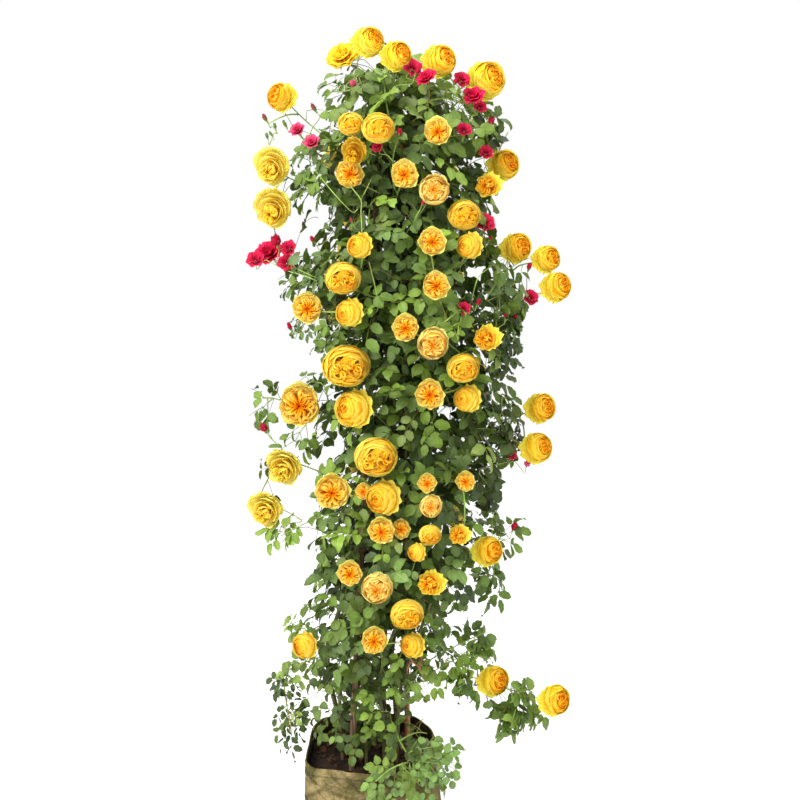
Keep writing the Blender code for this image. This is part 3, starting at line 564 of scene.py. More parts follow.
def grow():
    """The whole plant: canes, stakes, ties, shoots, blooms and leaves."""
    rnd = random.Random(20)
    placed = Placed()
    plant = dict(canes=[], stakes=[], ties=[], shoots={}, blooms=[], leaves=[])

    for i, (name, foot, tip, top) in enumerate(STAKES):
        a, b = stake_point(i, 0.20), stake_point(i, top)
        plant["stakes"].append(dict(name=name, a=a, b=b, r=STAKE_RADIUS))
        placed.add(name, (a, b), STAKE_RADIUS + 0.0004)
    for i, cane in enumerate(CANES):
        name, radius, top = cane[0], cane[3], cane[6]
        steps = 19
        pts = [cane_point(i, 0.235 + (top - 0.235) * k / steps) for k in range(steps + 1)]
        radii = [radius * (1 - 0.52 * k / steps) for k in range(steps + 1)]
        plant["canes"].append(dict(name=name, pts=pts, radii=radii))
    part_canes(plant)
    for cane in plant["canes"]:
        for a, b, r in zip(cane["pts"][:-1], cane["pts"][1:], cane["radii"][:-1]):
            placed.add(cane["name"], (a, b), r)
    for name, stake, cane, height in TIES:
        s, (c, radius) = stake_point(stake, height), cane_at(plant["canes"][cane], height)
        loop = []
        for k in range(14):
            d = np.array((math.cos(k * math.tau / 14), math.sin(k * math.tau / 14), 0.0))
            reach_s = STAKE_RADIUS + TWINE_RADIUS + 0.0016
            reach_c = radius + TWINE_RADIUS + 0.0022
            loop.append(max((s + d * reach_s, c + d * reach_c), key=lambda q: float(q @ d)))
        plant["ties"].append(dict(name=name, pts=loop, r=TWINE_RADIUS))
        for a, b in zip(loop, loop[1:] + loop[:1]):
            placed.add(name, (a, b), TWINE_RADIUS + 0.0003)

    blooms = place_blooms(rnd)
    plant["blooms"] = blooms
    for b in blooms:
        placed.add(b["shoot"], (b["at"], b["at"]), b["r"] * 0.92)

    # ---- main stem of every shoot, from a cane to its first bloom
    for shoot in sorted({b["shoot"] for b in blooms}):
        mine = [b for b in blooms if b["shoot"] == shoot]
        lead = mine[0]
        plant["shoots"][shoot] = dict(stems=[], leaves=[], blooms=mine)
        main_stem(plant, placed, rnd, shoot, lead)
        for b in mine[1:]:
            side_stem(plant, placed, rnd, shoot, b["at"] - b["face"] * b["r"] * 0.50, b["face"])
    trailing_shoot(plant, placed)
    for shoot, px, py, y in TWIGS:
        tip = sight(px, py, y)
        side_stem(plant, placed, rnd, shoot, tip, None)
    add_leaves(plant, placed, rnd, LEAF_COUNT)
    return plant, placed


def main_stem(plant, placed, rnd, shoot, lead):
    crimson = lead["form"] in "RP"
    end = lead["at"] - lead["face"] * lead["r"] * 0.50
    starts = []
    for ci, cane in enumerate(plant["canes"]):
        if crimson != (cane["name"] == "crimson_cane"):
            continue
        for k, p in enumerate(cane["pts"]):
            if p[2] < 0.36:
                continue
            drop = end[2] - p[2]
            cost = np.linalg.norm(end - p) + 1.2 * max(0.0, 0.06 - drop)
            starts.append((float(cost), ci, k))
    starts.sort()
    for attempt in range(400):
        slack = min(len(starts), 4 + attempt // 6)
        _, ci, k = starts[0 if attempt == 0 else rnd.randrange(slack)]
        cane = plant["canes"][ci]
        p, r = cane["pts"][k], cane["radii"][max(0, k - 1)]
        loose = 0.25 + attempt / 160
        flat = end - p
        flat[2] = 0
        out = unit(unit(flat) + np.array((rnd.uniform(-loose, loose), rnd.uniform(-loose, loose), 0)))
        a = p + out * (r + SHOOT_RADIUS + 0.0009)
        reach = np.linalg.norm(end - a)
        jog = np.array([rnd.uniform(-0.10, 0.10) for _ in range(3)]) * (0.3 + attempt / 120) * reach
        b = a + out * 0.30 * reach + np.array((0, 0, 0.16 * reach)) + jog
        c = end - lead["face"] * 0.32 * reach + np.array((0, 0, -0.06 * reach)) - jog * 0.5
        count = 5 if reach > 0.16 else 4
        path = bezier(a, b, c, end, count)
        if placed.path_free(shoot, path, SHOOT_RADIUS):
            keep_stem(plant, placed, shoot, path, SHOOT_RADIUS, cane["name"], p)
            return
    raise RuntimeError(f"no way for the stem of shoot {shoot}")


def side_stem(plant, placed, rnd, shoot, end, face):
    """A branch off one of the shoot's stems to a bloom, or a leafy twig."""
    stems = plant["shoots"][shoot]["stems"]
    starts = []
    for s, stem in enumerate(stems):
        for k in range(1, len(stem["pts"]) - 1):
            q = stem["pts"][k]
            cost = np.linalg.norm(end - q) + 0.5 * max(0.0, q[2] - end[2] + 0.02)
            starts.append((float(cost), s, k))
    starts.sort()
    for attempt in range(300):
        _, s, k = starts[min(len(starts) - 1, attempt % (1 + attempt // 12))]
        pts = stems[s]["pts"]
        a = pts[k] + np.array([rnd.uniform(-1, 1) for _ in range(3)]) * 0.0004
        along = unit(pts[k + 1] - pts[k - 1])
        reach = np.linalg.norm(end - a)
        jog = np.array([rnd.uniform(-0.10, 0.10) for _ in range(3)]) * (0.4 + attempt / 80) * reach
        b = a + unit(along + unit(end - a)) * 0.33 * reach + jog
        back = face if face is not None else unit(end - a) + np.array((0, 0, -0.25))
        c = end - unit(back) * 0.32 * reach - jog * 0.4
        path = bezier(a, b, c, end, 4 if reach > 0.13 else 3)
        if placed.path_free(shoot, path, BRANCH_RADIUS):
            keep_stem(plant, placed, shoot, path, BRANCH_RADIUS, None, None)
            return
    raise RuntimeError(f"no way for a branch of shoot {shoot} at {end}")


def keep_stem(plant, placed, shoot, path, radius, cane, root):
    plant["shoots"][shoot]["stems"].append(dict(pts=path, r=radius, cane=cane, root=root))
    for a, b in zip(path[:-1], path[1:]):
        placed.add(shoot, (a, b), radius)


def trailing_shoot(plant, placed):
    """A low leafy shoot that leans out over the front right of the rim."""
    plant["shoots"][TRAILING] = dict(stems=[], leaves=[], blooms=[])
    cane = plant["canes"][3]
    p, r = cane["pts"][2], cane["radii"][1]
    out = unit((0.55, -0.80, 0.0))
    a = p + out * (r + SHOOT_RADIUS + 0.0009)
    crest = np.array((0.092, -0.196, 0.398))
    main = bezier(a, a + out * 0.05 + (0, 0, 0.05), crest + (-0.03, 0.05, 0.012), crest, 4)
    fall = bezier(crest, crest + (0.012, -0.022, -0.006), np.array((0.104, -0.236, 0.352)), np.array((0.098, -0.246, 0.312)), 3)
    keep_stem(plant, placed, TRAILING, main + fall[1:], SHOOT_RADIUS, cane["name"], p)
    for k, tip in ((4, (0.196, -0.200, 0.372)), (3, (0.150, -0.120, 0.418)), (5, (0.010, -0.262, 0.350))):
        q = plant["shoots"][TRAILING]["stems"][0]["pts"][k]
        tip = np.array(tip)
        path = bezier(q, q + (tip - q) * 0.35 + (0, 0, 0.012), tip + (q - tip) * 0.3 + (0, 0, 0.016), tip, 3)
        keep_stem(plant, placed, TRAILING, path, BRANCH_RADIUS, None, None)


def leaf_shape(a, way, normal, length, half):
    """A compound leaf's outline as one flat, five-sided shape from a."""
    side = np.cross(normal, way)
    return np.array(
        (
            a - side * 0.0011,
            a + way * length * 0.52 - side * half,
            a + way * length,
            a + way * length * 0.52 + side * half,
            a + side * 0.0011,
        )
    )


def hides_bloom(blooms, pts):
    """Whether any of these points is seen in front of a bloom."""
    x, y, far = seen(pts)
    for b in blooms:
        if b["front"]:
            px, py, half = b["px"]
            hit = (np.hypot(x - px, y - py) < half * 0.96) & (far < seen(b["at"])[2] + 0.01)
            if hit.any():
                return True
    return False


def samples(shape):
    mid = shape.mean(0)
    return np.vstack((shape, (shape + np.roll(shape, -1, axis=0)) / 2, mid[None]))


def add_leaves(plant, placed, rnd, wanted):
    """Leaves along the stems, then leaves that fill the column's outer shell."""
    anchors = []
    for key, shoot in plant["shoots"].items():
        for stem in shoot["stems"]:
            for i, (a, b) in enumerate(zip(stem["pts"][:-1], stem["pts"][1:])):
                for t in (0.3, 0.8):
                    if i == 0 and t < 0.5:
                        continue
                    anchors.append((key, a + (b - a) * t, unit(b - a)))
    for cane in plant["canes"]:
        for a, b in zip(cane["pts"][1:-1], cane["pts"][2:]):
            for t in (0.25, 0.75):
                anchors.append((cane["name"], a + (b - a) * t, unit(b - a)))
    where = np.array([a[1] for a in anchors])
    tips = np.zeros((0, 3))

    def attempt(key, a, tip, spread):
        nonlocal tips
        way = tip - a
        length = float(np.linalg.norm(way))
        way = way / length
        outward = np.array((a[0] - column(a[2])[0], a[1], 0.0))
        normal = unit(unit(outward) * 0.7 + np.array((0, 0, 0.7)) + np.array([rnd.uniform(-0.5, 0.5) for _ in range(3)]))
        normal = unit(normal - way * (normal @ way))
        shape = leaf_shape(a, way, normal, length, spread * length)
        pts = samples(shape)
        if not all(bag_clear(p, 0.004) for p in pts):
            return False
        if hides_bloom(plant["blooms"], pts):
            return False
        owned = isinstance(key, str)
        if not placed.free(key, shape, LEAF_THICKNESS / 2, normal, own_leaves=True):
            return False
        if owned and len(tips) and np.linalg.norm(tips - tip, axis=1).min() < 0.05:
            return False
        placed.add(key, shape, LEAF_THICKNESS / 2, normal)
        plant["leaves"].append(dict(owner=key, a=a, way=way, normal=normal, length=length, half=spread * length))
        tips = np.vstack((tips, tip))
        return True

    # the twigs and the trailing shoot first
    done = 0
    for key, shoot in plant["shoots"].items():
        for s, stem in enumerate(shoot["stems"]):
            pts = stem["pts"]
            outlying = [ratio(p) > 1.02 or p[2] < 0.44 for p in pts]
            turn = rnd.uniform(0, math.tau)
            for i in range(1, len(pts)):
                if not outlying[i]:
                    continue
                for _ in range(5):
                    turn += 2.4
                    along = unit(pts[i] - pts[i - 1])
                    side = unit(np.cross(along, (math.cos(turn), math.sin(turn), 0.3)))
                    way = unit(side + along * 0.7 + np.array((0, -0.1, -0.1)))
                    a = pts[i - 1] + (pts[i] - pts[i - 1]) * (0.55 + 0.3 * rnd.random())
                    if attempt(key, a, a + way * rnd.uniform(0.07, 0.095), 0.30):
                        done += 1
                        break
    low, high = COLUMN[0][0], COLUMN[-1][0] + 0.03
    for trial in range(9000):
        if done >= wanted:
            break
        z = rnd.uniform(low - 0.02, high)
        middle, half, deep = column(z)
        turn, out = rnd.uniform(0, math.tau), 0.45 + 0.60 * math.sqrt(rnd.random())
        tip = np.array((middle + half * out * math.cos(turn), deep * out * math.sin(turn), z))
        close = 0.085 * (1 - trial / 14000)
        if len(tips) and np.linalg.norm(tips - tip, axis=1).min() < close:
            continue
        gaps = np.linalg.norm(where - tip, axis=1)
        order = np.argsort(gaps)[:14]
        for j in order:
            if not 0.06 < gaps[j] < 0.125:
                continue
            key, a, along = anchors[j]
            way = (tip - a) / gaps[j]
            if abs(way @ along) > 0.86:
                continue
            if attempt(key, a, tip, 0.28):
                done += 1
                break
    plant["leaf_total"] = done


def rim_height(angle):
    """The rim dips and rises a little round the bag."""
    return BAG_HEIGHT + 0.004 * math.sin(2 * angle + 0.6) + 0.003 * math.sin(5 * angle)


# ------------------------------------------------------------ gathering meshes
class Soup:
    """Many small grids gathered for one mesh: places, faces, a place within each
    grid for the material, and a tint. Every grid gets its own cell of the bake map."""

    def __init__(self):
        self.verts, self.faces, self.local, self.tint, self.cell = [], [], [], [], []
        self.count = self.cells = 0

    def add(self, verts, faces, local, tint):
        """verts (n, k, 3), faces (m, 4) into k, local (m, 4, 2), tint (n, k, 3)."""
        n, k = verts.shape[:2]
        if n == 0:
            return
        self.verts.append(verts.reshape(-1, 3))
        self.tint.append(tint.reshape(-1, 3))
        offset = self.count + np.arange(n)[:, None, None] * k
        self.faces.append((faces[None] + offset).reshape(-1, 4))
        self.local.append(np.broadcast_to(local, (n,) + local.shape).reshape(-1, 4, 2))
        self.cell.append(np.repeat(self.cells + np.arange(n), len(faces)))
        self.count += n * k
        self.cells += n


def grid_faces(rows, cols, ring=False):
    """Quads of a grid, and the place of every corner in 0..1."""
    faces, local = [], []
    wide = cols if ring else cols - 1
    for j in range(rows - 1):
        for i in range(wide):
            n = (i + 1) % cols
            faces.append((j * cols + i, j * cols + n, (j + 1) * cols + n, (j + 1) * cols + i))
            u0, u1 = i / wide, (i + 1) / wide
            v0, v1 = j / (rows - 1), (j + 1) / (rows - 1)
            local.append(((u0, v0), (u1, v0), (u1, v1), (u0, v1)))
    return np.array(faces), np.array(local)


def make_mesh(name, soup):
    verts = np.concatenate(soup.verts).astype(np.float32)
    faces = np.concatenate(soup.faces).astype(np.int32)
    mesh = bpy.data.meshes.new(name)
    mesh.vertices.add(len(verts))
    mesh.vertices.foreach_set("co", verts.ravel())
    mesh.loops.add(faces.size)
    mesh.loops.foreach_set("vertex_index", faces.ravel())
    mesh.polygons.add(len(faces))
    mesh.polygons.foreach_set("loop_start", np.arange(0, faces.size, 4, dtype=np.int32))
    mesh.update(calc_edges=True)
    mesh.polygons.foreach_set("use_smooth", np.ones(len(faces), bool))
    local = np.concatenate(soup.local)
    layer = mesh.uv_layers.new(name="local")
    layer.uv.foreach_set("vector", local.astype(np.float32).ravel())
    across = max(1, math.ceil(math.sqrt(soup.cells)))
    cell = np.concatenate(soup.cell)
    corner = np.stack((cell % across, cell // across), 1)[:, None, :]
    placed = (corner + 0.06 + 0.88 * local) / across
    layer = mesh.uv_layers.new(name="OFBake")
    layer.uv.foreach_set("vector", placed.astype(np.float32).ravel())
    tint = np.concatenate(soup.tint)
    colour = mesh.color_attributes.new("tint", "FLOAT_COLOR", "POINT")
    full = np.concatenate((tint, np.ones((len(tint), 1))), 1).astype(np.float32)
    colour.data.foreach_set("color", full.ravel())
    return mesh


def linear(code):
    """A colour written as #RRGGBB, in linear light."""
    out = []
    for i in (1, 3, 5):
        c = int(code[i : i + 2], 16) / 255
        out.append(c / 12.92 if c <= 0.04045 else ((c + 0.055) / 1.055) ** 2.4)
    return np.array(out)


def mixed(a, b, t):
    t = np.clip(t, 0, 1)[..., None]
    return a * (1 - t) + b * t


# --------------------------------------------------------------------- blooms
# Outer, middle, inner and deepest colour of each form's petals
PETAL_COLOURS = {
    "A": ("#FFEA78", "#FFC426", "#FB8A00", "#DC5400"),
    "B": ("#FFE25C", "#FFD230", "#FAAC16", "#E47208"),
    "C": ("#FFE44C", "#FFCA18", "#FFA208", "#E86006"),
    "D": ("#FFEF7C", "#FFDC3E", "#FFBA1C", "#F0900E"),
    "E": ("#FFEC94", "#FFD050", "#FFA41E", "#EE760C"),
    "F": ("#FFE458", "#FFCE2C", "#F8A414", "#DC5C08"),
    "G": ("#FFE654", "#FFCA22", "#FA9204", "#D25202"),
    "H": ("#FFE64A", "#FFDA28", "#FCC00E", "#E6980A"),
    "L": ("#FFDA44", "#FFBA14", "#F89406", "#D85806"),
    "R": ("#F23468", "#D81E4E", "#B00E38", "#7A0628"),
    "P": ("#EC6A94", "#D83868", "#B41C48", "#8A0E34"),
}
PETAL_GRIDS = {grid: (grid, grid_faces(*grid)) for grid in ((8, 7), (6, 6), (6, 5))}
FINE, PLAIN, SMALL = (8, 7), (6, 6), (6, 5)
FOLD_ROWS, FOLD_COLS = 6, 5
FOLD_FACES, FOLD_LOCAL = grid_faces(FOLD_ROWS, FOLD_COLS)


def petals(rows, grid):
    """Petals in the bloom's own units, facing +Z. Each row: azimuth, start radius,
    start height, length, width, tilt at the base and at the tip (0 upright, 90
    flat out), radius of its hollow, roll of the tip, ruffle, phase, point, shift
    across, shift up, depth at the base, depth at the tip (0 outer to 1 deepest)."""
    a = np.array(rows, float)
    (az, r0, z0, length, width, t0, t1, hollow, roll, ruffle, phase, point, sx, sy, d0, d1) = (
        a[:, k, None, None] for k in range(16)
    )
    az, t0, t1, roll = np.radians(az), np.radians(t0), np.radians(t1), np.radians(roll)
    count_v, count_u = grid
    v = np.sin(np.linspace(0, 1, count_v) * np.pi / 2)[None, :, None] ** 1.15
    u = np.linspace(-1, 1, count_u)[None, None, :]
    w = v * (1 - 0.13 * np.abs(u) ** 2 + point * (1 - np.abs(u)) ** 1.5)
    k = np.where(np.abs(t1 - t0) < 1e-3, 1e-3, t1 - t0)
    lean = t0 + k * w
    out = r0 + length * (np.cos(t0) - np.cos(lean)) / k
    up = z0 + length * (np.sin(lean) - np.sin(t0)) / k
    curl = length * roll * w**4 * 0.25
    out = out + curl * np.cos(lean)
    up = up - curl * np.sin(lean)
    # petals that open flat are broad, with a full round end
    broad = 1 + 0.34 * np.clip((t1 - np.radians(22)) / np.radians(40), 0, 1)
    half = width / 2 * broad * (0.30 + 0.70 * np.sin(np.pi / 2 * np.clip(w / 0.62, 0, 1)) ** 0.9)
    side = u * half * np.maximum(0.22, (1 - np.clip((v - 0.52) / 0.48, 0, 1) ** 3.2) ** 0.46)
    wave = ruffle * w**3 * np.sin(4.1 * u + phase) * (0.4 + 0.6 * np.abs(u))
    wave2 = ruffle * w**3 * np.cos(5.3 * u + 1.7 * phase)
    out = out + wave + roll * 0.10 * np.abs(u) ** 3 * w * length
    up = up + 0.8 * wave2
    # an upright petal wraps round its hollow, one that lies flat cups upwards
    bend = hollow / np.clip(np.cos(lean), 0.22, 1.0)
    turn = np.clip(side / bend, -1.9, 1.9)
    radial = out - bend + bend * np.cos(turn)
    across = bend * np.sin(turn)
    up = up + 0.26 * np.abs(u) ** 2 * half * np.clip(np.sin(lean), 0, 1)
    x = np.cos(az) * radial - np.sin(az) * across + sx
    y = np.sin(az) * radial + np.cos(az) * across + sy
    depth = d0 + (d1 - d0) * np.clip(w, 0, 1) ** 0.8 + 0 * u
    verts = np.stack((x, y, up + 0 * x), -1)
    n = len(a)
    return verts.reshape(n, -1, 3), depth.reshape(n, -1)


SHELL_BACK = ((0.25, -0.66), (0.72, -0.56), (0.96, -0.22))
SHELL_RISE = ((9.0, 1.0), (0.36, 0.80), (0.18, 0.60), (0.085, 0.40), (0.03, 0.20), (0.0, 0.0))
SHELL_COLS = 8
SHELL_GRIDS = {
    True: grid_faces(len(SHELL_BACK) + len(SHELL_RISE), SHELL_COLS),
    False: grid_faces(len(SHELL_RISE), SHELL_COLS),
}


def shells(rows, back):
    """Petals that wrap a ball and leave a round opening in it. Each row: first and
    last angle, radius of the ball, middle of the opening across and up, its
    radius, flare and waves of the rim, phase, depth at the rim and in the crease,
    shift across, up and out, scale across and up. back: with the bloom's back."""
    a = np.array(rows, float)
    (p0, p1, big, cx, cy, rho, flare, wave, phase, d_rim, d_crease, sx, sy, sz, kx, ky) = (
        a[:, k, None] for k in range(16)
    )
    u = np.linspace(0, 1, SHELL_COLS)[None]
    edge = np.abs(2 * u - 1)
    phi = np.radians(p0 + (p1 - p0) * u)
    c, s = np.cos(phi), np.sin(phi)
    r = big * (1 - 0.035 * edge**3)
    ring = rho * (1 + 0.32 * edge**4) * (1 + wave * np.sin(3 * phi + phase) + 0.6 * wave * np.sin(7 * phi + 2 * phase))
    qx, qy = cx + ring * c, cy + ring * s
    over = np.maximum(1.0, np.hypot(qx, qy) / (0.985 * r))
    qx, qy = qx / over, qy / over
    run = np.maximum(np.hypot(qx - r * c, qy - r * s), 0.02)
    places, depths = [], []
    for plan, z in SHELL_BACK if back else ():
        places.append(np.stack((r * c * plan, r * s * plan, 0.85 * big * z + 0 * r), -1))
        depths.append(-0.04 + 0 * r)
    for gap, most in SHELL_RISE:
        short = np.minimum(gap / run, most)
        t = 1 - short
        x, y = r * c * short + qx * t, r * s * short + qy * t
        near = np.clip(1 - short * run / 0.20, 0, 1)
        z = 0.90 * np.sqrt(np.maximum(r * r - x * x - y * y, 0.0)) + 0.55 * flare * near**2
        places.append(np.stack((x + flare * c * near**3, y + flare * s * near**3, z), -1))
        outside = np.clip((short * run - 0.20) / 0.5, 0, 1)
        depths.append((d_crease + (d_rim - d_crease) * near * near * (3 - 2 * near)) * (1 - outside) - 0.10 * outside)
    verts = np.stack(places, 1)
    size = np.stack((kx, ky, np.sqrt(kx * ky)), -1)[:, None]
    verts = verts * size + np.stack((sx, sy, sz), -1)[:, None]
    return verts.reshape(len(a), -1, 3), np.stack(depths, 1).reshape(len(a), -1)


def cabbage(rnd, count, big, drift, rho, depths, arcs=3, turn=0.0, flare=0.02, wave=0.03, shift=(0.0, 0.0, 0.0), scale=(1.0, 1.0), backs=2):
    """Shells inside one another, whose opening narrows and drifts to the eye."""
    out = []
    for k in range(count):
        q = k / max(1, count - 1)
        rim, crease = (depths[0][i] + (depths[1][i] - depths[0][i]) * q for i in (0, 1))
        pieces = arcs if q < 0.65 else max(2, arcs - 1)
        for j in range(pieces):
            span = 360 / pieces * rnd.uniform(1.12, 1.30)
            p = turn + 137.5 * k + 360 * j / pieces + rnd.uniform(-14, 14)
            out.append(
                (
                    p - span / 2, p + span / 2,
                    (big[0] + (big[1] - big[0]) * q) * (1 - 0.012 * j) * rnd.uniform(0.985, 1.01),
                    drift[0][0] + (drift[1][0] - drift[0][0]) * q + rnd.uniform(-0.03, 0.03),
                    drift[0][1] + (drift[1][1] - drift[0][1]) * q + rnd.uniform(-0.03, 0.03),
                    (rho[0] + (rho[1] - rho[0]) * q**0.9) * rnd.uniform(0.90, 1.08),
                    flare * rnd.uniform(0.3, 1.6), wave, rnd.uniform(0, 6.3),
                    rim + rnd.uniform(-0.08, 0.08), crease, *shift, *scale, float(k < backs),
                )
            )
    return out


def folds(rows):
    """Puffed radial folds of the heart. Each row: azimuth, inner and outer radius,
    height of its foot inside and outside, half width inside and outside, height,
    bend, lean, shift across, shift up, depth of the foot, depth of the ridge."""
    a = np.array(rows, float)
    az, r0, r1, z0, z1, h0, h1, high, bend, lean, sx, sy, d0, d1 = (
        a[:, k, None, None] for k in range(14)
    )
    az = np.radians(az)
    v = np.linspace(0, 1, FOLD_ROWS)[None, :, None]
    u = np.linspace(-1, 1, FOLD_COLS)[None, None, :]
    radius = r0 + (r1 - r0) * v
    foot = z0 + (z1 - z0) * v
    half = (h0 + (h1 - h0) * v) * (1 - 0.5 * np.clip((v - 0.8) / 0.2, 0, 1))
    arch = (1 - np.abs(u) ** 1.8) * np.clip(np.sin(np.pi * (0.10 + 0.84 * v)) * 1.25, 0, 1)
    rise = high * arch
    angle = az + bend * (v - 0.3) ** 2 * np.sign(v - 0.3) * 1.6 + bend * 0.5 * v
    across = u * half + lean * rise
    radial = radius
    x = np.cos(angle) * radial - np.sin(angle) * across + sx
    y = np.sin(angle) * radial + np.cos(angle) * across + sy
    z = foot + rise
    depth = d0 + (d1 - d0) * np.clip(1.5 * arch, 0, 1) * (0.35 + 0.65 * v) + 0 * u
    n = len(a)
    return np.stack((x, y, z + 0 * x), -1).reshape(n, -1, 3), depth.reshape(n, -1)


def petal(az, r0, z0, length, width, t0, t1, hollow, roll=0, ruffle=0.02, phase=0, point=0, sx=0, sy=0, d0=0.6, d1=0.0):
    return (az, r0, z0, length, width, t0, t1, hollow, roll, ruffle, phase, point, sx, sy, d0, d1)


def whorl(rnd, count, start, r0, z0, length, width, t0, t1, hollow, roll=0, ruffle=0.02, sx=0, sy=0, d0=0.6, d1=0.0, vary=0.07):
    """One ring of petals."""
    out = []
    for i in range(count):
        f = 1 + rnd.uniform(-vary, vary)
        out.append(
            petal(
                start + 360 * i / count + rnd.uniform(-9, 9), r0, z0 + rnd.uniform(-0.02, 0.02),
                length * f, width * (1 + rnd.uniform(-vary, vary)), t0, t1 + rnd.uniform(-5, 5),
                hollow, roll + rnd.uniform(-8, 12), ruffle, rnd.uniform(0, 6.3), rnd.uniform(0, 0.05),
                sx, sy, d0, d1,
            )
        )
    return out


def spiral(rnd, count, outer, inner, shift, d_outer, d_inner, start=0.0, roll=10):
    """Petals on the golden angle, from outer to inner. outer and inner: start
    radius, start height, length, width, tilt at base, tilt at tip, hollow."""
    out = []
    for i in range(count):
        q = i / max(1, count - 1)
        m = [a + (b - a) * q for a, b in zip(outer, inner)]
        k = q**0.8
        out.append(
            petal(
                start + 137.508 * i + rnd.uniform(-8, 8), m[0], m[1], m[2] * rnd.uniform(0.94, 1.06),
                m[3] * rnd.uniform(0.92, 1.08), m[4], m[5] + rnd.uniform(-4, 4), m[6],
                roll * (1 - q) + rnd.uniform(-4, 6), 0.035 * (1 - 0.6 * q), rnd.uniform(0, 6.3),
                rnd.uniform(0, 0.06), shift[0] * k, shift[1] * k,
                d_outer[0] + (d_inner[0] - d_outer[0]) * q, d_outer[1] + (d_inner[1] - d_outer[1]) * q,
            )
        )
    return out


def heart(rnd, count, r0, r1, z0, z1, high, width=0.085, bend=0.35, sx=0, sy=0, d0=1.0, d1=0.30, start=0, part=360):
    """Radial folds round a heart, leaning to and fro."""
    out = []
    for i in range(count):
        az = start + part * (i + 0.5) / count + rnd.uniform(-0.25, 0.25) * part / count
        inner = r0 * rnd.uniform(0.6, 1.5)
        outer = r1 * rnd.uniform(0.84, 1.06)
        out.append(
            (
                az, inner, outer, z0 + rnd.uniform(-0.03, 0.03), z1 + rnd.uniform(-0.03, 0.03),
                width * 0.42, width * rnd.uniform(0.85, 1.25), high * rnd.uniform(0.75, 1.2),
                bend * rnd.choice((-1, 1)) * rnd.uniform(0.2, 1.0), rnd.uniform(-0.35, 0.35),
                sx, sy, d0, d1 + rnd.uniform(-0.08, 0.08),
            )
        )
    return out


def seat(sx=0.0, sy=0.0, wide=1.0, low=-0.26, tone=1.0):
    """Petals that close the bottom of the cup."""
    return [petal(k * 72, 0.0, low, 0.62 * wide, 0.80 * wide, 92, 78, 0.9, 0, 0.0, 0, 0, sx, sy, tone, 0.8 * tone) for k in range(5)]


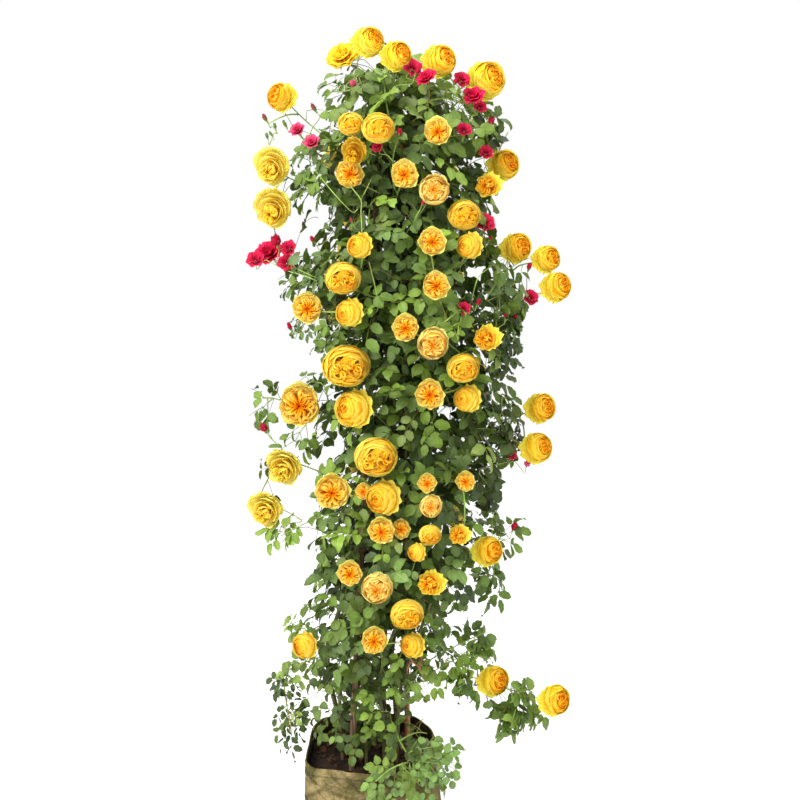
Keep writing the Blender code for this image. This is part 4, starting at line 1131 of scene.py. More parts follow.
def bloom_parts(form, rnd):
    """Outer petal rows, inner petal rows, fold rows and shell rows of one bloom."""
    ps, inner, fs, sh = [], [], [], []
    if form == "A":
        ps += whorl(rnd, 8, 90, 0.12, -0.46, 1.08, 1.30, 84, 18, 0.80, 8, 0.03, d0=0.22, d1=-0.10)
        ps += whorl(rnd, 8, 68, 0.12, -0.40, 0.98, 1.04, 80, 12, 0.64, 6, 0.03, d0=0.32, d1=-0.04)
        ps += whorl(rnd, 7, 40, 0.12, -0.34, 0.88, 0.86, 76, 4, 0.50, 4, 0.02, d0=0.45, d1=0.02)
        inner += seat(0.0, -0.04)
        ps.append(petal(90, 0.12, -0.44, 1.18, 1.50, 84, 30, 0.84, 0, 0.01, 0, 0.0, 0, 0, 0.20, -0.20))
        ps.append(petal(50, 0.12, -0.42, 1.10, 1.30, 82, 24, 0.78, 0, 0.02, 1, 0.0, 0, 0, 0.22, -0.12))
        ps.append(petal(130, 0.12, -0.42, 1.10, 1.30, 82, 24, 0.78, 0, 0.02, 2, 0.0, 0, 0, 0.22, -0.12))
        # quartered heart: four or five bundles of folds, then finer ones
        start = rnd.uniform(0, 90)
        for k in range(5):
            fs += heart(rnd, 4, 0.22, 0.77, 0.02, 0.17, 0.16, 0.120, 0.45, 0.0, -0.06, 0.88, -0.04, start + 72 * k, 58)
        fs += heart(rnd, 13, 0.09, 0.62, 0.06, 0.17, 0.19, 0.100, 0.60, 0.0, -0.06, 1.0, 0.10)
        fs += heart(rnd, 8, 0.04, 0.30, 0.10, 0.17, 0.15, 0.062, 0.8, 0.0, -0.06, 1.0, 0.45)
    elif form == "E":
        sh += cabbage(rnd, 5, (1.0, 0.84), ((0.03, 0.05), (-0.03, -0.08)), (0.90, 0.66), ((-0.20, 0.35), (0.05, 0.60)), 4, 30, 0.05, 0.08)
        inner += seat(-0.04, -0.08, 1.0, 0.34, 0.6)
        for k in range(5):
            fs += heart(rnd, 5, 0.24, 0.72, 0.38, 0.46, 0.14, 0.105, 0.60, -0.04, -0.08, 0.66, -0.05, 20 + 72 * k, 66)
        fs += heart(rnd, 14, 0.10, 0.50, 0.42, 0.50, 0.16, 0.085, 0.9, -0.04, -0.08, 0.85, 0.10)
        fs += heart(rnd, 8, 0.03, 0.24, 0.46, 0.54, 0.12, 0.050, 1.0, -0.04, -0.08, 1.0, 0.35)
        for az, long in ((20, 1.14), (50, 1.24), (80, 1.20), (106, 1.12), (200, 1.08)):
            ps.append(petal(az, 0.12, -0.42, long, 1.1, 84, 30, 0.70, 4, 0.05, az, 0.0, 0, 0, 0.15, -0.10))
    elif form == "B":
        sh += cabbage(rnd, 7, (1.0, 0.92), ((-0.02, 0.02), (0.02, -0.27)), (0.93, 0.66), ((-0.30, 0.26), (-0.20, 0.62)), 3, 250, 0.05, 0.06, (0.0, 0.0, 0.0), (1.0, 0.88))
        sh += cabbage(rnd, 5, (0.58, 0.46), ((0.0, 0.0), (-0.02, 0.03)), (0.54, 0.20), ((-0.15, 0.55), (0.10, 1.0)), 3, 160, 0.06, 0.12, (0.30, -0.10, 0.34), (0.86, 1.08), 0)
        sh += cabbage(rnd, 5, (0.58, 0.46), ((0.0, 0.0), (0.06, 0.06)), (0.53, 0.22), ((-0.12, 0.60), (0.05, 0.95)), 3, 20, 0.06, 0.12, (-0.36, -0.22, 0.30), (0.94, 0.98), 0)
        sh += cabbage(rnd, 3, (0.40, 0.34), ((0.0, 0.0), (0.0, 0.08)), (0.36, 0.15), ((-0.10, 0.50), (0.10, 0.80)), 2, 80, 0.04, 0.08, (0.02, -0.52, 0.30), (1.5, 0.75), 0)
        inner += seat(0.0, -0.16, 0.78, 0.50, 0.48)
        inner += seat(0.0, 0.10, 0.50, 0.60, 0.38)
        fs += heart(rnd, 8, 0.03, 0.40, 0.66, 0.68, 0.15, 0.085, 1.3, 0.28, -0.08, 0.95, 0.02)
        fs += heart(rnd, 9, 0.03, 0.40, 0.58, 0.62, 0.15, 0.090, 1.3, -0.32, -0.20, 0.80, 0.00, 40, 320)
        fs += heart(rnd, 5, 0.02, 0.16, 0.64, 0.70, 0.10, 0.050, 1.0, 0.26, -0.06, 1.0, 0.45)
    elif form in "CL":
        s = 1 if form == "C" else -1
        sh += cabbage(rnd, 6, (1.0, 0.86), ((0.0, 0.0), (0.13 * s, 0.03)), (0.90, 0.54), ((-0.24, 0.30), (-0.04, 0.74)), 3, 60, 0.06, 0.07, (0.14 * s, 0.0, 0.0), (0.84, 0.94))
        # two small hearts, the upper one further in
        for x, y, big, turn in ((0.20 * s, 0.22, 0.37, 20), (0.31 * s, -0.20, 0.35, 140)):
            sh += cabbage(rnd, 3, (big, big * 0.82), ((0.0, 0.0), (0.03 * s, 0.01)), (big * 0.93, 0.13), ((-0.14, 0.55), (0.05, 1.0)), 2, turn, 0.05, 0.12, (x, y, 0.32), (1.02, 0.86), 0)
            fs += heart(rnd, 5, 0.02, 0.17, 0.53, 0.58, 0.10, 0.055, 1.1, x + 0.02 * s, y + 0.01, 1.0, 0.36)
        inner += seat(0.19 * s, 0.02, 0.88, 0.30, 0.75)
        # flared, ragged guard petals
        for az, long, wide, tip in ((176, 1.18, 0.80, 80), (204, 1.16, 0.76, 78), (232, 1.08, 0.80, 68), (256, 1.10, 0.80, 66), (150, 1.08, 0.82, 58), (280, 1.00, 0.9, 48), (124, 1.08, 0.9, 46), (98, 1.02, 0.9, 34)):
            a = az if s > 0 else 180 - az
            ps.append(petal(a, 0.12, -0.54, long, wide, 66, tip, 0.62, 16, 0.07, az * 0.7, 0.0, 0.06 * s, 0, -0.02, -0.26))
    elif form == "F":
        sh += cabbage(rnd, 8, (1.0, 0.76), ((0.0, 0.0), (-0.18, -0.02)), (0.88, 0.13), ((-0.24, 0.32), (0.15, 0.95)), 3, 200, 0.05, 0.07, (-0.10, -0.02, 0.0), (0.90, 0.92))
        fs += heart(rnd, 8, 0.02, 0.20, 0.54, 0.58, 0.10, 0.050, 0.9, -0.26, -0.04, 1.0, 0.35)
        for az, long, wide in ((-4, 1.12, 0.84), (30, 1.14, 0.82), (62, 1.16, 0.86), (96, 1.06, 0.86), (-38, 1.12, 0.84), (-70, 1.02, 0.86)):
            ps.append(petal(az, 0.12, -0.46, long, wide, 78, 42, 0.56, 14, 0.06, az, 0.0, 0.02, 0, 0.15, -0.14))
    elif form == "G":
        ps += whorl(rnd, 7, 90, 0.12, -0.48, 1.04, 0.98, 84, 20, 0.60, 8, 0.03, d0=0.25, d1=-0.05)
        ps += whorl(rnd, 7, 65, 0.12, -0.40, 0.92, 0.80, 78, 12, 0.50, 6, 0.03, d0=0.45, d1=0.06)
        fs += heart(rnd, 18, 0.14, 0.72, 0.04, 0.16, 0.15, 0.102, 0.7, -0.12, -0.05, 0.95, 0.08)
        fs += heart(rnd, 11, 0.06, 0.46, 0.08, 0.16, 0.17, 0.080, 0.9, -0.16, -0.02, 1.0, 0.30)
        inner += seat(-0.1, -0.04)
        for az, long, wide, tip in ((-12, 1.20, 0.76, 62), (14, 1.34, 0.70, 68), (40, 1.24, 0.76, 52), (72, 1.24, 0.74, 44), (-42, 1.08, 0.8, 40), (102, 1.10, 0.76, 34)):
            ps.append(petal(az, 0.12, -0.48, long, wide, 76, tip, 0.62, 14, 0.05, az, 0.0, 0, 0, 0.10, -0.15))
        for az, long, sx in ((-40, 0.66, 0.10), (10, 0.60, 0.12), (60, 0.62, 0.08), (-90, 0.56, 0.06), (180, 0.44, 0.10)):
            ps.append(petal(az, 0.0, 0.06, long, 0.46, 46, -34, 0.24, 0, 0.03, az, 0.0, sx, -0.02, 0.20, -0.10))
    elif form == "D":
        rows = spiral(
            rnd, 20, (0.10, -0.56, 1.16, 1.34, 86, 8, 0.72), (0.02, -0.20, 0.62, 0.54, 30, -20, 0.24),
            (-0.10, -0.16), (0.18, -0.16), (0.62, 0.10), 20, 6,
        )
        ps += rows[:11]
        inner += rows[11:]
        fs += heart(rnd, 9, 0.06, 0.44, 0.22, 0.26, 0.12, 0.105, 1.0, -0.12, -0.18, 0.66, 0.14)
        for k in range(10):
            az = 22 + 14 * k + rnd.uniform(-4, 4)
            long = (1.02 + 0.14 * math.exp(-(((az - 92) / 30) ** 2)) + 0.06 * math.exp(-(((az - 150) / 12) ** 2))) * rnd.uniform(0.96, 1.04)
            ps.append(petal(az, 0.12, -0.44, long, 0.86, 80, 26 + rnd.uniform(-8, 8), 0.54, 4, 0.06, az, 0.0, 0, 0, 0.10, -0.15))
    elif form == "H":
        ps += whorl(rnd, 8, 90, 0.10, -0.40, 1.04, 1.16, 84, 50, 0.9, 14, 0.06, d0=0.15, d1=-0.10)
        ps += whorl(rnd, 7, 60, 0.10, -0.34, 0.96, 0.84, 78, 44, 0.7, 12, 0.06, d0=0.2, d1=-0.04)
        ps += whorl(rnd, 9, 20, 0.08, -0.28, 0.78, 0.64, 66, 24, 0.46, 6, 0.05, sx=-0.08, sy=0.08, d0=0.4, d1=0.04)
        inner += whorl(rnd, 8, 0, 0.05, -0.22, 0.56, 0.42, 50, 4, 0.30, 4, 0.04, sx=-0.10, sy=0.10, d0=0.7, d1=0.2)
        inner += seat(-0.08, 0.08, 0.9)
        fs += heart(rnd, 17, 0.06, 0.46, 0.0, 0.10, 0.12, 0.070, 0.7, -0.12, 0.12, 0.9, 0.20)
    elif form == "R":
        ps += whorl(rnd, 7, 80, 0.10, -0.44, 1.10, 1.02, 76, 52, 0.60, 30, 0.10, d0=0.5, d1=0.0)
        ps += whorl(rnd, 7, 50, 0.08, -0.38, 0.96, 0.84, 66, 30, 0.46, 20, 0.10, d0=0.6, d1=0.06)
        ps += whorl(rnd, 7, 20, 0.06, -0.30, 0.80, 0.66, 50, 8, 0.34, 12, 0.07, d0=0.75, d1=0.18)
        inner += spiral(rnd, 9, (0.04, -0.24, 0.64, 0.46, 34, -12, 0.20), (0.02, -0.20, 0.48, 0.26, 18, -16, 0.10), (0, 0), (0.9, 0.3), (1.0, 0.6))
        inner += seat()
    else:
        ps += whorl(rnd, 6, 80, 0.10, -0.40, 1.04, 0.96, 70, 40, 0.56, 26, 0.08, d0=0.5, d1=0.0)
        ps += whorl(rnd, 6, 40, 0.08, -0.34, 0.88, 0.78, 56, 14, 0.42, 14, 0.06, d0=0.65, d1=0.08)
        inner += spiral(rnd, 9, (0.04, -0.26, 0.70, 0.50, 36, -14, 0.22), (0.02, -0.22, 0.50, 0.28, 18, -18, 0.10), (0, 0), (0.9, 0.25), (1.0, 0.6))
        inner += seat()
    return ps, inner, fs, sh


def petal_tint(form, depth, rnd):
    """Colour by depth: 0 at an outer rim, 1 in the deepest crease."""
    outer, middle, inner, deep = (linear(c) for c in PETAL_COLOURS[form])
    d = depth[..., None]
    colour = np.where(
        d < 0.35,
        mixed(outer, middle, depth / 0.35),
        np.where(d < 0.72, mixed(middle, inner, (depth - 0.35) / 0.37), mixed(inner, deep, (depth - 0.72) / 0.28)),
    )
    pale = np.clip(-depth / 0.25, 0, 1)[..., None]
    colour = colour + pale * (np.minimum(colour * np.array((1.0, 1.12, 1.7)), 0.97) - colour)
    tone = np.array([rnd.uniform(0.94, 1.05) for _ in range(len(depth))])[:, None, None]
    warm = np.array([rnd.uniform(-0.05, 0.04) for _ in range(len(depth))])[:, None, None]
    return np.clip(colour * tone * np.concatenate((1 + 0 * warm, 1 + warm, 1 + 2 * warm), 2), 0, 0.98)


def facing_frame(face):
    """Rows: right, up and towards the face, for a bloom that faces this way."""
    z = unit(face)
    x = unit(np.cross((0, 0, 1), z))
    return np.stack((x, np.cross(z, x), z))


FULLER = {"D": 1.07, "H": 1.05, "C": 1.02}
LOOKS = {"D": (-0.22, -0.92, -0.22), "C": (0.26, -0.92, 0.20), "B": (0.12, -1.0, 0.06)}


def bloom_face(bloom):
    """The way the open face looks, which for some forms is turned a little."""
    if bloom["front"] and bloom["form"] in LOOKS:
        return unit(np.array(LOOKS[bloom["form"]]) + 0.5 * (bloom["face"] - unit(FACING[bloom["form"]])))
    return bloom["face"]


def bloom_shape(bloom, rnd):
    """Petals and folds in place, drawn to the bloom's own size."""
    form = bloom["form"]
    ps, inner, fs, sh = bloom_parts(form, rnd)
    axes = facing_frame(bloom_face(bloom))
    parts = []
    small = not bloom["front"] or bloom["px"][2] < 14.6
    for rows, grid in ((ps, PLAIN if small else FINE), (inner, SMALL)):
        if rows:
            v, d = petals(rows, grid)
            parts.append((v, *PETAL_GRIDS[grid][1], d))
    for back, grid in SHELL_GRIDS.items():
        rows = [row[:16] for row in sh if bool(row[16]) == back]
        if rows:
            v, d = shells(rows, back)
            parts.append((v, *grid, d))
    if fs:
        v, d = folds(fs)
        parts.append((v, FOLD_FACES, FOLD_LOCAL, d))
    size, shift = bloom["r"], np.zeros(3)
    everything = np.concatenate([p[0].reshape(-1, 3) for p in parts]) @ axes
    if bloom["front"]:
        # as wide as it is seen from the front, and as far across and up
        for _ in range(2):
            x, y, far = seen(bloom["at"] + everything * size + shift)
            px, py, half = bloom["px"]
            half *= FULLER.get(form, 1.0)
            size *= 2 * half / float(x.max() - x.min())
            x, y, far = seen(bloom["at"] + everything * size + shift)
            shift[0] += (px - float(x.max() + x.min()) / 2) * bloom_far(bloom)
            shift[2] -= (py - float(y.max() + y.min()) / 2) * bloom_far(bloom)
        shift[2] = max(-0.012, min(0.012, shift[2]))
        shift[0] = max(-0.012, min(0.012, shift[0]))
    else:
        size *= 1.0 / float(np.quantile(np.hypot(everything @ axes[0], everything @ axes[1]), 0.985))
    bloom["size"], bloom["middle"] = size, bloom["at"] + shift
    return [(bloom["middle"] + (v * size) @ axes, faces, local, d) for v, faces, local, d in parts]


def bloom_far(bloom):
    return float(seen(bloom["at"])[2]) / FOCAL


# The bloom that hangs in the shade of the two above it
SHADED = (354, 150, (0.84, 0.66, 0.24))


def add_bloom(soup, bloom, rnd):
    shade = np.ones(3)
    if bloom["front"] and math.hypot(bloom["px"][0] - SHADED[0], bloom["px"][1] - SHADED[1]) < 3:
        shade = np.array(SHADED[2])
    for verts, faces, local, depth in bloom_shape(bloom, rnd):
        soup.add(verts, faces, local, petal_tint(bloom["form"], depth, rnd) * shade)


# --------------------------------------------------------------------- leaves
# Blades as grids: a finer one for leaves at the surface, a plain one inside
LEAF_STATIONS = np.array((0.0, 0.10, 0.24, 0.40, 0.56, 0.72, 0.86, 0.95, 1.0))
LEAF_WIDTHS = np.array((0.06, 0.61, 0.92, 1.0, 0.93, 0.75, 0.46, 0.19, 0.01))
LEAF_COLUMNS = np.array((-1.0, -0.52, 0.0, 0.52, 1.0))
LEAF_FACES, LEAF_LOCAL = grid_faces(9, 5)
LEAF_SPOTS = [7, 15, 17, 19, 25, 27, 29, 37, 42]
DEEP_STATIONS = np.array((0.0, 0.15, 0.36, 0.58, 0.78, 0.93, 1.0))
DEEP_WIDTHS = np.array((0.06, 0.74, 1.0, 0.92, 0.62, 0.26, 0.01))
DEEP_COLUMNS = np.array((-1.0, 0.0, 1.0))
DEEP_FACES, DEEP_LOCAL = grid_faces(7, 3)
DEEP_SPOTS = [4, 6, 7, 8, 12, 13, 14, 16, 19]


def leaf_frames(way, look):
    """Rows: across, along and up, for blades along way whose faces turn to look."""
    along = way / np.linalg.norm(way, axis=1)[:, None]
    up = look - along * (look * along).sum(1)[:, None]
    size = np.linalg.norm(up, axis=1)[:, None]
    up = np.where(size > 1e-6, up / np.maximum(size, 1e-9), np.array((0.0, 0.0, 1.0)))
    return np.cross(along, up), along, up


def leaflet_grid(base, way, look, length, width, fold, droop, twist, phase, deep=False):
    """Toothed leaflets as grids of columns from edge over rib to edge."""
    across, along, up = leaf_frames(way, look)
    n = len(base)
    stations, widths, columns = (DEEP_STATIONS, DEEP_WIDTHS, DEEP_COLUMNS) if deep else (LEAF_STATIONS, LEAF_WIDTHS, LEAF_COLUMNS)
    t = stations[None, :, None]
    u = columns[None, None, :]
    teeth = 1 + 0.075 * np.where(np.arange(len(stations)) % 2 == 1, 1, -1)[None, :, None] * (np.abs(u) > 0.9)
    lop = 1 + 0.10 * np.sin(phase)[:, None, None] * u
    x = u * widths[None, :, None] * (width / 2)[:, None, None] * teeth * lop
    size = length[:, None, None]
    y = t * size * (1 - 0.06 * np.abs(u) * (t > 0.9))
    z = fold[:, None, None] * np.abs(x) - droop[:, None, None] * t**2 * size
    z = z + 0.022 * size * np.sin(9.0 * t + phase[:, None, None]) * np.abs(u)
    z = z + twist[:, None, None] * u * t * size * 0.30
    z = z - 0.10 * np.abs(u) ** 2 * np.abs(x)
    y = y - 0.28 * droop[:, None, None] ** 2 * t**3 * size
    place = (
        base[:, None, None, :]
        + x[..., None] * across[:, None, None, :]
        + y[..., None] * along[:, None, None, :]
        + z[..., None] * up[:, None, None, :]
    )
    return place.reshape(n, -1, 3)


def spread(points):
    """The ratio on the column of many points at once."""
    zs = [c[0] for c in COLUMN]
    middle = np.interp(points[..., 2], zs, [c[1] for c in COLUMN])
    half = np.interp(points[..., 2], zs, [c[2] for c in COLUMN])
    return np.hypot((points[..., 0] - middle) / half, points[..., 1] / (0.84 * half))


def clear_of_things(points, blooms):
    """For blades given as sample points (n, k, 3): which ones hide no bloom seen
    from the front, run through no bloom, and keep out of the bag and the soil."""
    keep = np.ones(len(points), bool)
    x, y, far = seen(points)
    for b in blooms:
        middle, size = b.get("middle", b["at"]), b["r"]
        near = np.linalg.norm(points - middle, axis=2).min(1)
        keep &= near > size * 0.80
        if b["front"]:
            px, py, half = b["px"]
            hit = (np.hypot(x - px, y - py) < half * 0.98) & (far < seen(middle)[2] + 0.01)
            keep &= ~hit.any(1)
    low = np.nonzero(keep & (points[..., 2].min(1) < BAG_HEIGHT + 0.03))[0]
    for i in low:
        keep[i] = all(bag_clear(p, 0.002) for p in points[i])
    return keep


GREENS = {
    "plain": linear("#5C762E"), "fresh": linear("#8AA844"), "blue": linear("#627A46"),
    "dark": linear("#36481E"), "pale": linear("#A0B462"), "over": linear("#7A9C52"),
}


def leaf_colour(point, rnd, age):
    """Green by height, side and depth: fresh at the foot. Painted shade makes the leaves darker at the right, at the
    left above the foot, and much darker inside; the lowest leaves are a little darker again."""
    middle, half, deep = column(point[2])
    across = (point[0] - middle) / half
    k = max(0.0, min(1.0, (0.66 - point[2]) / 0.25)) * 0.55
    base = GREENS["plain"] * (1 - k) + GREENS["fresh"] * k
    r = rnd.random()
    if r < 0.24:
        base = base * 0.45 + GREENS["blue"] * 0.55
    elif r < 0.42:
        base = base * 0.45 + GREENS["dark"] * 0.55
    elif r < 0.58 or age < 0.22:
        base = base * 0.45 + GREENS["fresh"] * 0.55
    elif r < 0.65:
        base = base * 0.5 + GREENS["pale"] * 0.5
    if point[2] > 2.02:
        base = base * 0.65 + GREENS["fresh"] * 0.42
    # painted shade: both sides of the column are painted darker
    if across > 0.55:
        base = base * 0.80
    elif across < -0.40 and point[2] > 0.66:
        base = base * 0.84
    # painted shade: the further inside the column, the darker the leaf
    inside = max(0.0, min(1.0, (0.86 - ratio(point)) / 0.5))
    base = base * (1 - 0.62 * inside * (1 - 0.5 * k))
    wide = 0.42 if across > 0.4 else 0.36
    return base * rnd.uniform(0.92 - wide, 1.00 + wide) * (1 - 0.17 * min(1.0, max(0.0, (0.72 - point[2]) / 0.2)))


# The leafy mass seen from the front: row, left and right end, in the picture's
# measure, and the thin places in it: across, down, half sizes, share left out
EDGE = np.array((
    (50, 330, 400), (70, 330, 446), (90, 328, 462), (105, 326, 490), (125, 322, 500), (145, 296, 502),
    (165, 290, 500), (195, 294, 496), (225, 298, 496), (250, 294, 500), (275, 282, 528), (300, 294, 532),
    (320, 296, 526), (335, 318, 522), (360, 322, 518), (385, 306, 520), (410, 300, 520), (440, 308, 522),
    (465, 314, 512), (490, 314, 500), (520, 308, 492), (545, 304, 488), (565, 312, 468), (585, 308, 462),
    (605, 304, 446), (630, 292, 450), (660, 284, 452), (690, 288, 430), (720, 290, 424), (745, 292, 440), (800, 300, 444),
), float)
GAPS = np.array((
    (316, 226, 24, 36, 0.72), (325, 395, 11, 11, 0.9), (318, 352, 12, 18, 0.5), (508, 238, 16, 14, 0.7),
    (312, 118, 16, 16, 0.6), (392, 634, 11, 8, 0.8), (296, 682, 12, 10, 0.6), (308, 702, 16, 20, 0.6),
    (424, 700, 16, 24, 0.8), (354, 696, 5, 10, 0.4), (318, 758, 20, 14, 0.9), (392, 700, 5, 10, 0.4), (452, 610, 10, 20, 0.7), (478, 508, 14, 14, 0.7), (466, 600, 26, 20, 0.9),
    (500, 470, 10, 12, 0.4), (300, 162, 12, 14, 0.4), (482, 300, 10, 12, 0.3),
    (328, 106, 12, 10, 0.6), (451, 106, 12, 10, 0.8), (486, 138, 12, 10, 0.8), (314, 196, 15, 10, 0.8),
    (477, 274, 14, 18, 0.95), (513, 276, 10, 12, 0.9), (498, 372, 14, 16, 0.55), (304, 202, 14, 14, 0.9), (446, 410, 13, 8, 1.25), (369, 62, 12, 7, 1.25), (308, 246, 10, 10, 0.7),
    (397, 641, 6, 9, 1.25), (316, 560, 8, 12, 0.6), (306, 590, 8, 12, 0.5), (488, 532, 12, 10, 0.6),
    (430, 700, 8, 22, 1.25),
))


def thin_share(x, y):
    """How much is left out at these places of the picture."""
    near = ((x[:, None] - GAPS[:, 0]) / GAPS[:, 2]) ** 2 + ((y[:, None] - GAPS[:, 1]) / GAPS[:, 3]) ** 2
    return ((near < 1) * GAPS[:, 4]).max(1)


class Leafage:
    """Leaflets gathered by the piece that will carry them."""

    def __init__(self):
        self.rows = []
        self.number = 0
        self.kept = set()

    def leaflet(self, owner, base, way, look, length, width, colour, rnd, droop=None, fold=None, deep=False, free=False):
        self.rows.append(
            (
                owner, base, way, look, length, width,
                rnd.uniform(0.08, 0.50) if fold is None else fold,
                rnd.uniform(0.02, 0.42) if droop is None else droop,
                rnd.uniform(-0.6, 0.6), rnd.uniform(0, 6.28), colour, deep, free, self.number,
            )
        )

    def compound(self, stems, owner, base, way, look, length, rnd, count=None, colour=None, deep=False, free=False, scale=1.0):
        """A rose leaf: a thin rachis with three to seven leaflets. Its number."""
        self.number += 1
        if count is None:
            count = rnd.choices((3, 5, 7), (0.16, 0.62, 0.22))[0]
        colour = leaf_colour(base + way * length * 0.6, rnd, rnd.random()) if colour is None else colour
        middle = column(base[2])[0]
        outward = unit((base[0] - middle + 1e-6, base[1], 0.0))
        side = unit(np.cross(look, way))
        look = unit(np.cross(way, side))
        reach = length * 0.70
        sag = np.array((0, 0, -1.0)) * rnd.uniform(0.06, 0.28) * length

        def rachis(s):
            return base + way * reach * s + sag * s * s

        tip_way = unit(way * reach + 2 * sag)
        spots = (0.0, 0.5, 1.0) if deep else (0.0, 0.35, 0.7, 1.0)
        stems.append((owner, [rachis(s) for s in spots], (0.0010, 0.0009, 0.0008, 0.0006), colour * np.array((1.25, 1.05, 0.8)), 3, self.number))
        size = min(0.046, max(0.030, 0.37 * length)) * rnd.uniform(0.88, 1.12) * (1.12 if deep else 1.0)
        size *= scale if free else 0.71 + 0.29 * min(1.0, max(0.0, (base[2] - 0.46) / 0.34))
        if not (free or deep) and base[2] > 0.66:
            # the leaves down the right side are the larger ones
            size *= 1 + 0.20 * min(1.0, max(0.0, (base[0] - middle) / column(base[2])[1] - 0.45) / 0.25)
        target = unit(outward * 0.62 + np.array((0, 0, 0.55)) + look * 0.40)
        slim = rnd.uniform(0.66, 0.80)
        self.leaflet(
            owner, rachis(1.0), tip_way, unit(target + jitter(rnd, 0.40)), size * 1.14, size * 1.06 * slim,
            colour * rnd.uniform(0.90, 1.12), rnd, deep=deep, free=free,
        )
        pairs = {3: (0.76,), 5: (0.82, 0.42), 7: (0.86, 0.56, 0.27)}[count]
        for k, s in enumerate(pairs):
            for sign in (-1, 1):
                angle = math.radians(rnd.uniform(46, 72))
                out = unit(tip_way * math.cos(angle) + side * sign * math.sin(angle) + np.array((0, 0, rnd.uniform(-0.22, 0.05))))
                f = (1.0, 0.90, 0.76)[k] * rnd.uniform(0.88, 1.08)
                self.leaflet(
                    owner, rachis(s) + out * 0.003, out, unit(target + jitter(rnd, 0.45)), size * f,
                    size * f * slim * rnd.uniform(0.92, 1.08), colour * rnd.uniform(0.86, 1.16), rnd, deep=deep, free=free,
                )
        return self.number


def jitter(rnd, amount):
    return np.array([rnd.uniform(-amount, amount) for _ in range(3)])


def build_leaves(leafage, blooms, soups):
    total = 0
    for deep in (False, True):
        rows = [r for r in leafage.rows if r[11] == deep]
        base, way, look = (np.array([r[k] for r in rows]) for k in (1, 2, 3))
        length, width, fold, droop, twist, phase = (np.array([r[k] for r in rows]) for k in range(4, 10))
        colour = np.array([r[10] for r in rows])
        free = np.array([r[12] for r in rows])
        verts = leaflet_grid(base, way, look, length, width, fold, droop, twist, phase, deep)
        keep = clear_of_things(verts[:, DEEP_SPOTS if deep else LEAF_SPOTS], blooms)
        high = np.array(cad_high) + np.array((0.030, 0.022, 0.06))
        low = np.array(cad_low) - np.array((0.030, 0.022, 0.0))
        keep &= ((verts < high) & (verts > low)).all((1, 2))
        middle = verts[:, 7 if deep else 22]
        x, y, _ = seen(middle)
        inside = (x > np.interp(y, EDGE[:, 0], EDGE[:, 1]) + 1) & (x < np.interp(y, EDGE[:, 0], EDGE[:, 2]) - 1)
        thin = np.random.RandomState(5).random_sample(len(rows)) < 0.8 * thin_share(x, y)
        keep &= free | (inside & ~thin & (spread(middle) < 1.16))
        keep &= (x > 256) & ((y < 722) | (x < 463) | (x > 497))
        keep &= ~((x > 413) & (x < 470) & (y > 700) & (y < 737))
        leafage.kept.update(rows[i][13] for i in np.nonzero(keep)[0])
        groups = {}
        for i in np.nonzero(keep)[0]:
            groups.setdefault(rows[i][0], []).append(i)
        for owner, picked in groups.items():
            soup = soups.setdefault((owner, "leaves"), Soup())
            tint = np.repeat(colour[picked][:, None, :], verts.shape[1], axis=1)
            soup.add(verts[picked], *((DEEP_FACES, DEEP_LOCAL) if deep else (LEAF_FACES, LEAF_LOCAL)), tint)
        total += int(keep.sum())
    return total


# ---------------------------------------------------------------------- stems
def smooth_path(pts, per=3):
    """A smooth run through the points."""
    p = np.asarray(pts, float)
    if len(p) < 3:
        return p
    ends = np.vstack((2 * p[0] - p[1], p, 2 * p[-1] - p[-2]))
    out = []
    for i in range(1, len(ends) - 2):
        a, b, c, d = ends[i - 1], ends[i], ends[i + 1], ends[i + 2]
        for k in range(per):
            t = k / per
            out.append(0.5 * (2 * b + (c - a) * t + (2 * a - 5 * b + 4 * c - d) * t * t + (3 * b - a - 3 * c + d) * t**3))
    out.append(p[-1])
    return np.array(out)


def add_tube(soup, pts, radii, colour, sides=6, closed_end=True):
    """A round stem along pts; its ends close to a point."""
    pts = np.asarray(pts, float)
    radii = np.interp(np.linspace(0, 1, len(pts)), np.linspace(0, 1, len(radii)), radii)
    if closed_end:
        lead = unit(pts[-1] - pts[-2]) * radii[-1] * 0.8
        tail = unit(pts[0] - pts[1]) * radii[0] * 0.4
        pts = np.vstack((pts[:1] + tail, pts, pts[-1:] + lead))
        radii = np.concatenate(((radii[0] * 0.05,), radii, (radii[-1] * 0.05,)))
    along = np.gradient(pts, axis=0)
    along /= np.maximum(np.linalg.norm(along, axis=1), 1e-12)[:, None]
    side = np.cross(along[0], (0.31, 0.17, 0.93))
    sides_at = []
    for way in along:
        side = side - way * (side @ way)
        side = unit(side)
        sides_at.append(side)
    a = np.array(sides_at)
    b = np.cross(along, a)
    turn = np.arange(sides) * math.tau / sides
    ring = a[:, None] * np.cos(turn)[None, :, None] + b[:, None] * np.sin(turn)[None, :, None]
    verts = (pts[:, None] + ring * radii[:, None, None]).reshape(1, -1, 3)
    faces, local = grid_faces(len(pts), sides, ring=True)
    colour = np.asarray(colour, float)
    if colour.ndim == 1:
        tint = np.broadcast_to(colour, (len(pts), 3))
    else:
        share = np.linspace(0, len(colour) - 1, len(pts))
        low = np.floor(share).astype(int).clip(0, len(colour) - 2)
        tint = mixed(colour[low], colour[low + 1], share - low)
    soup.add(verts, faces, local, np.repeat(tint[:, None], sides, axis=1).reshape(1, -1, 3))


THORN_FACES, THORN_LOCAL = grid_faces(3, 5, ring=True)


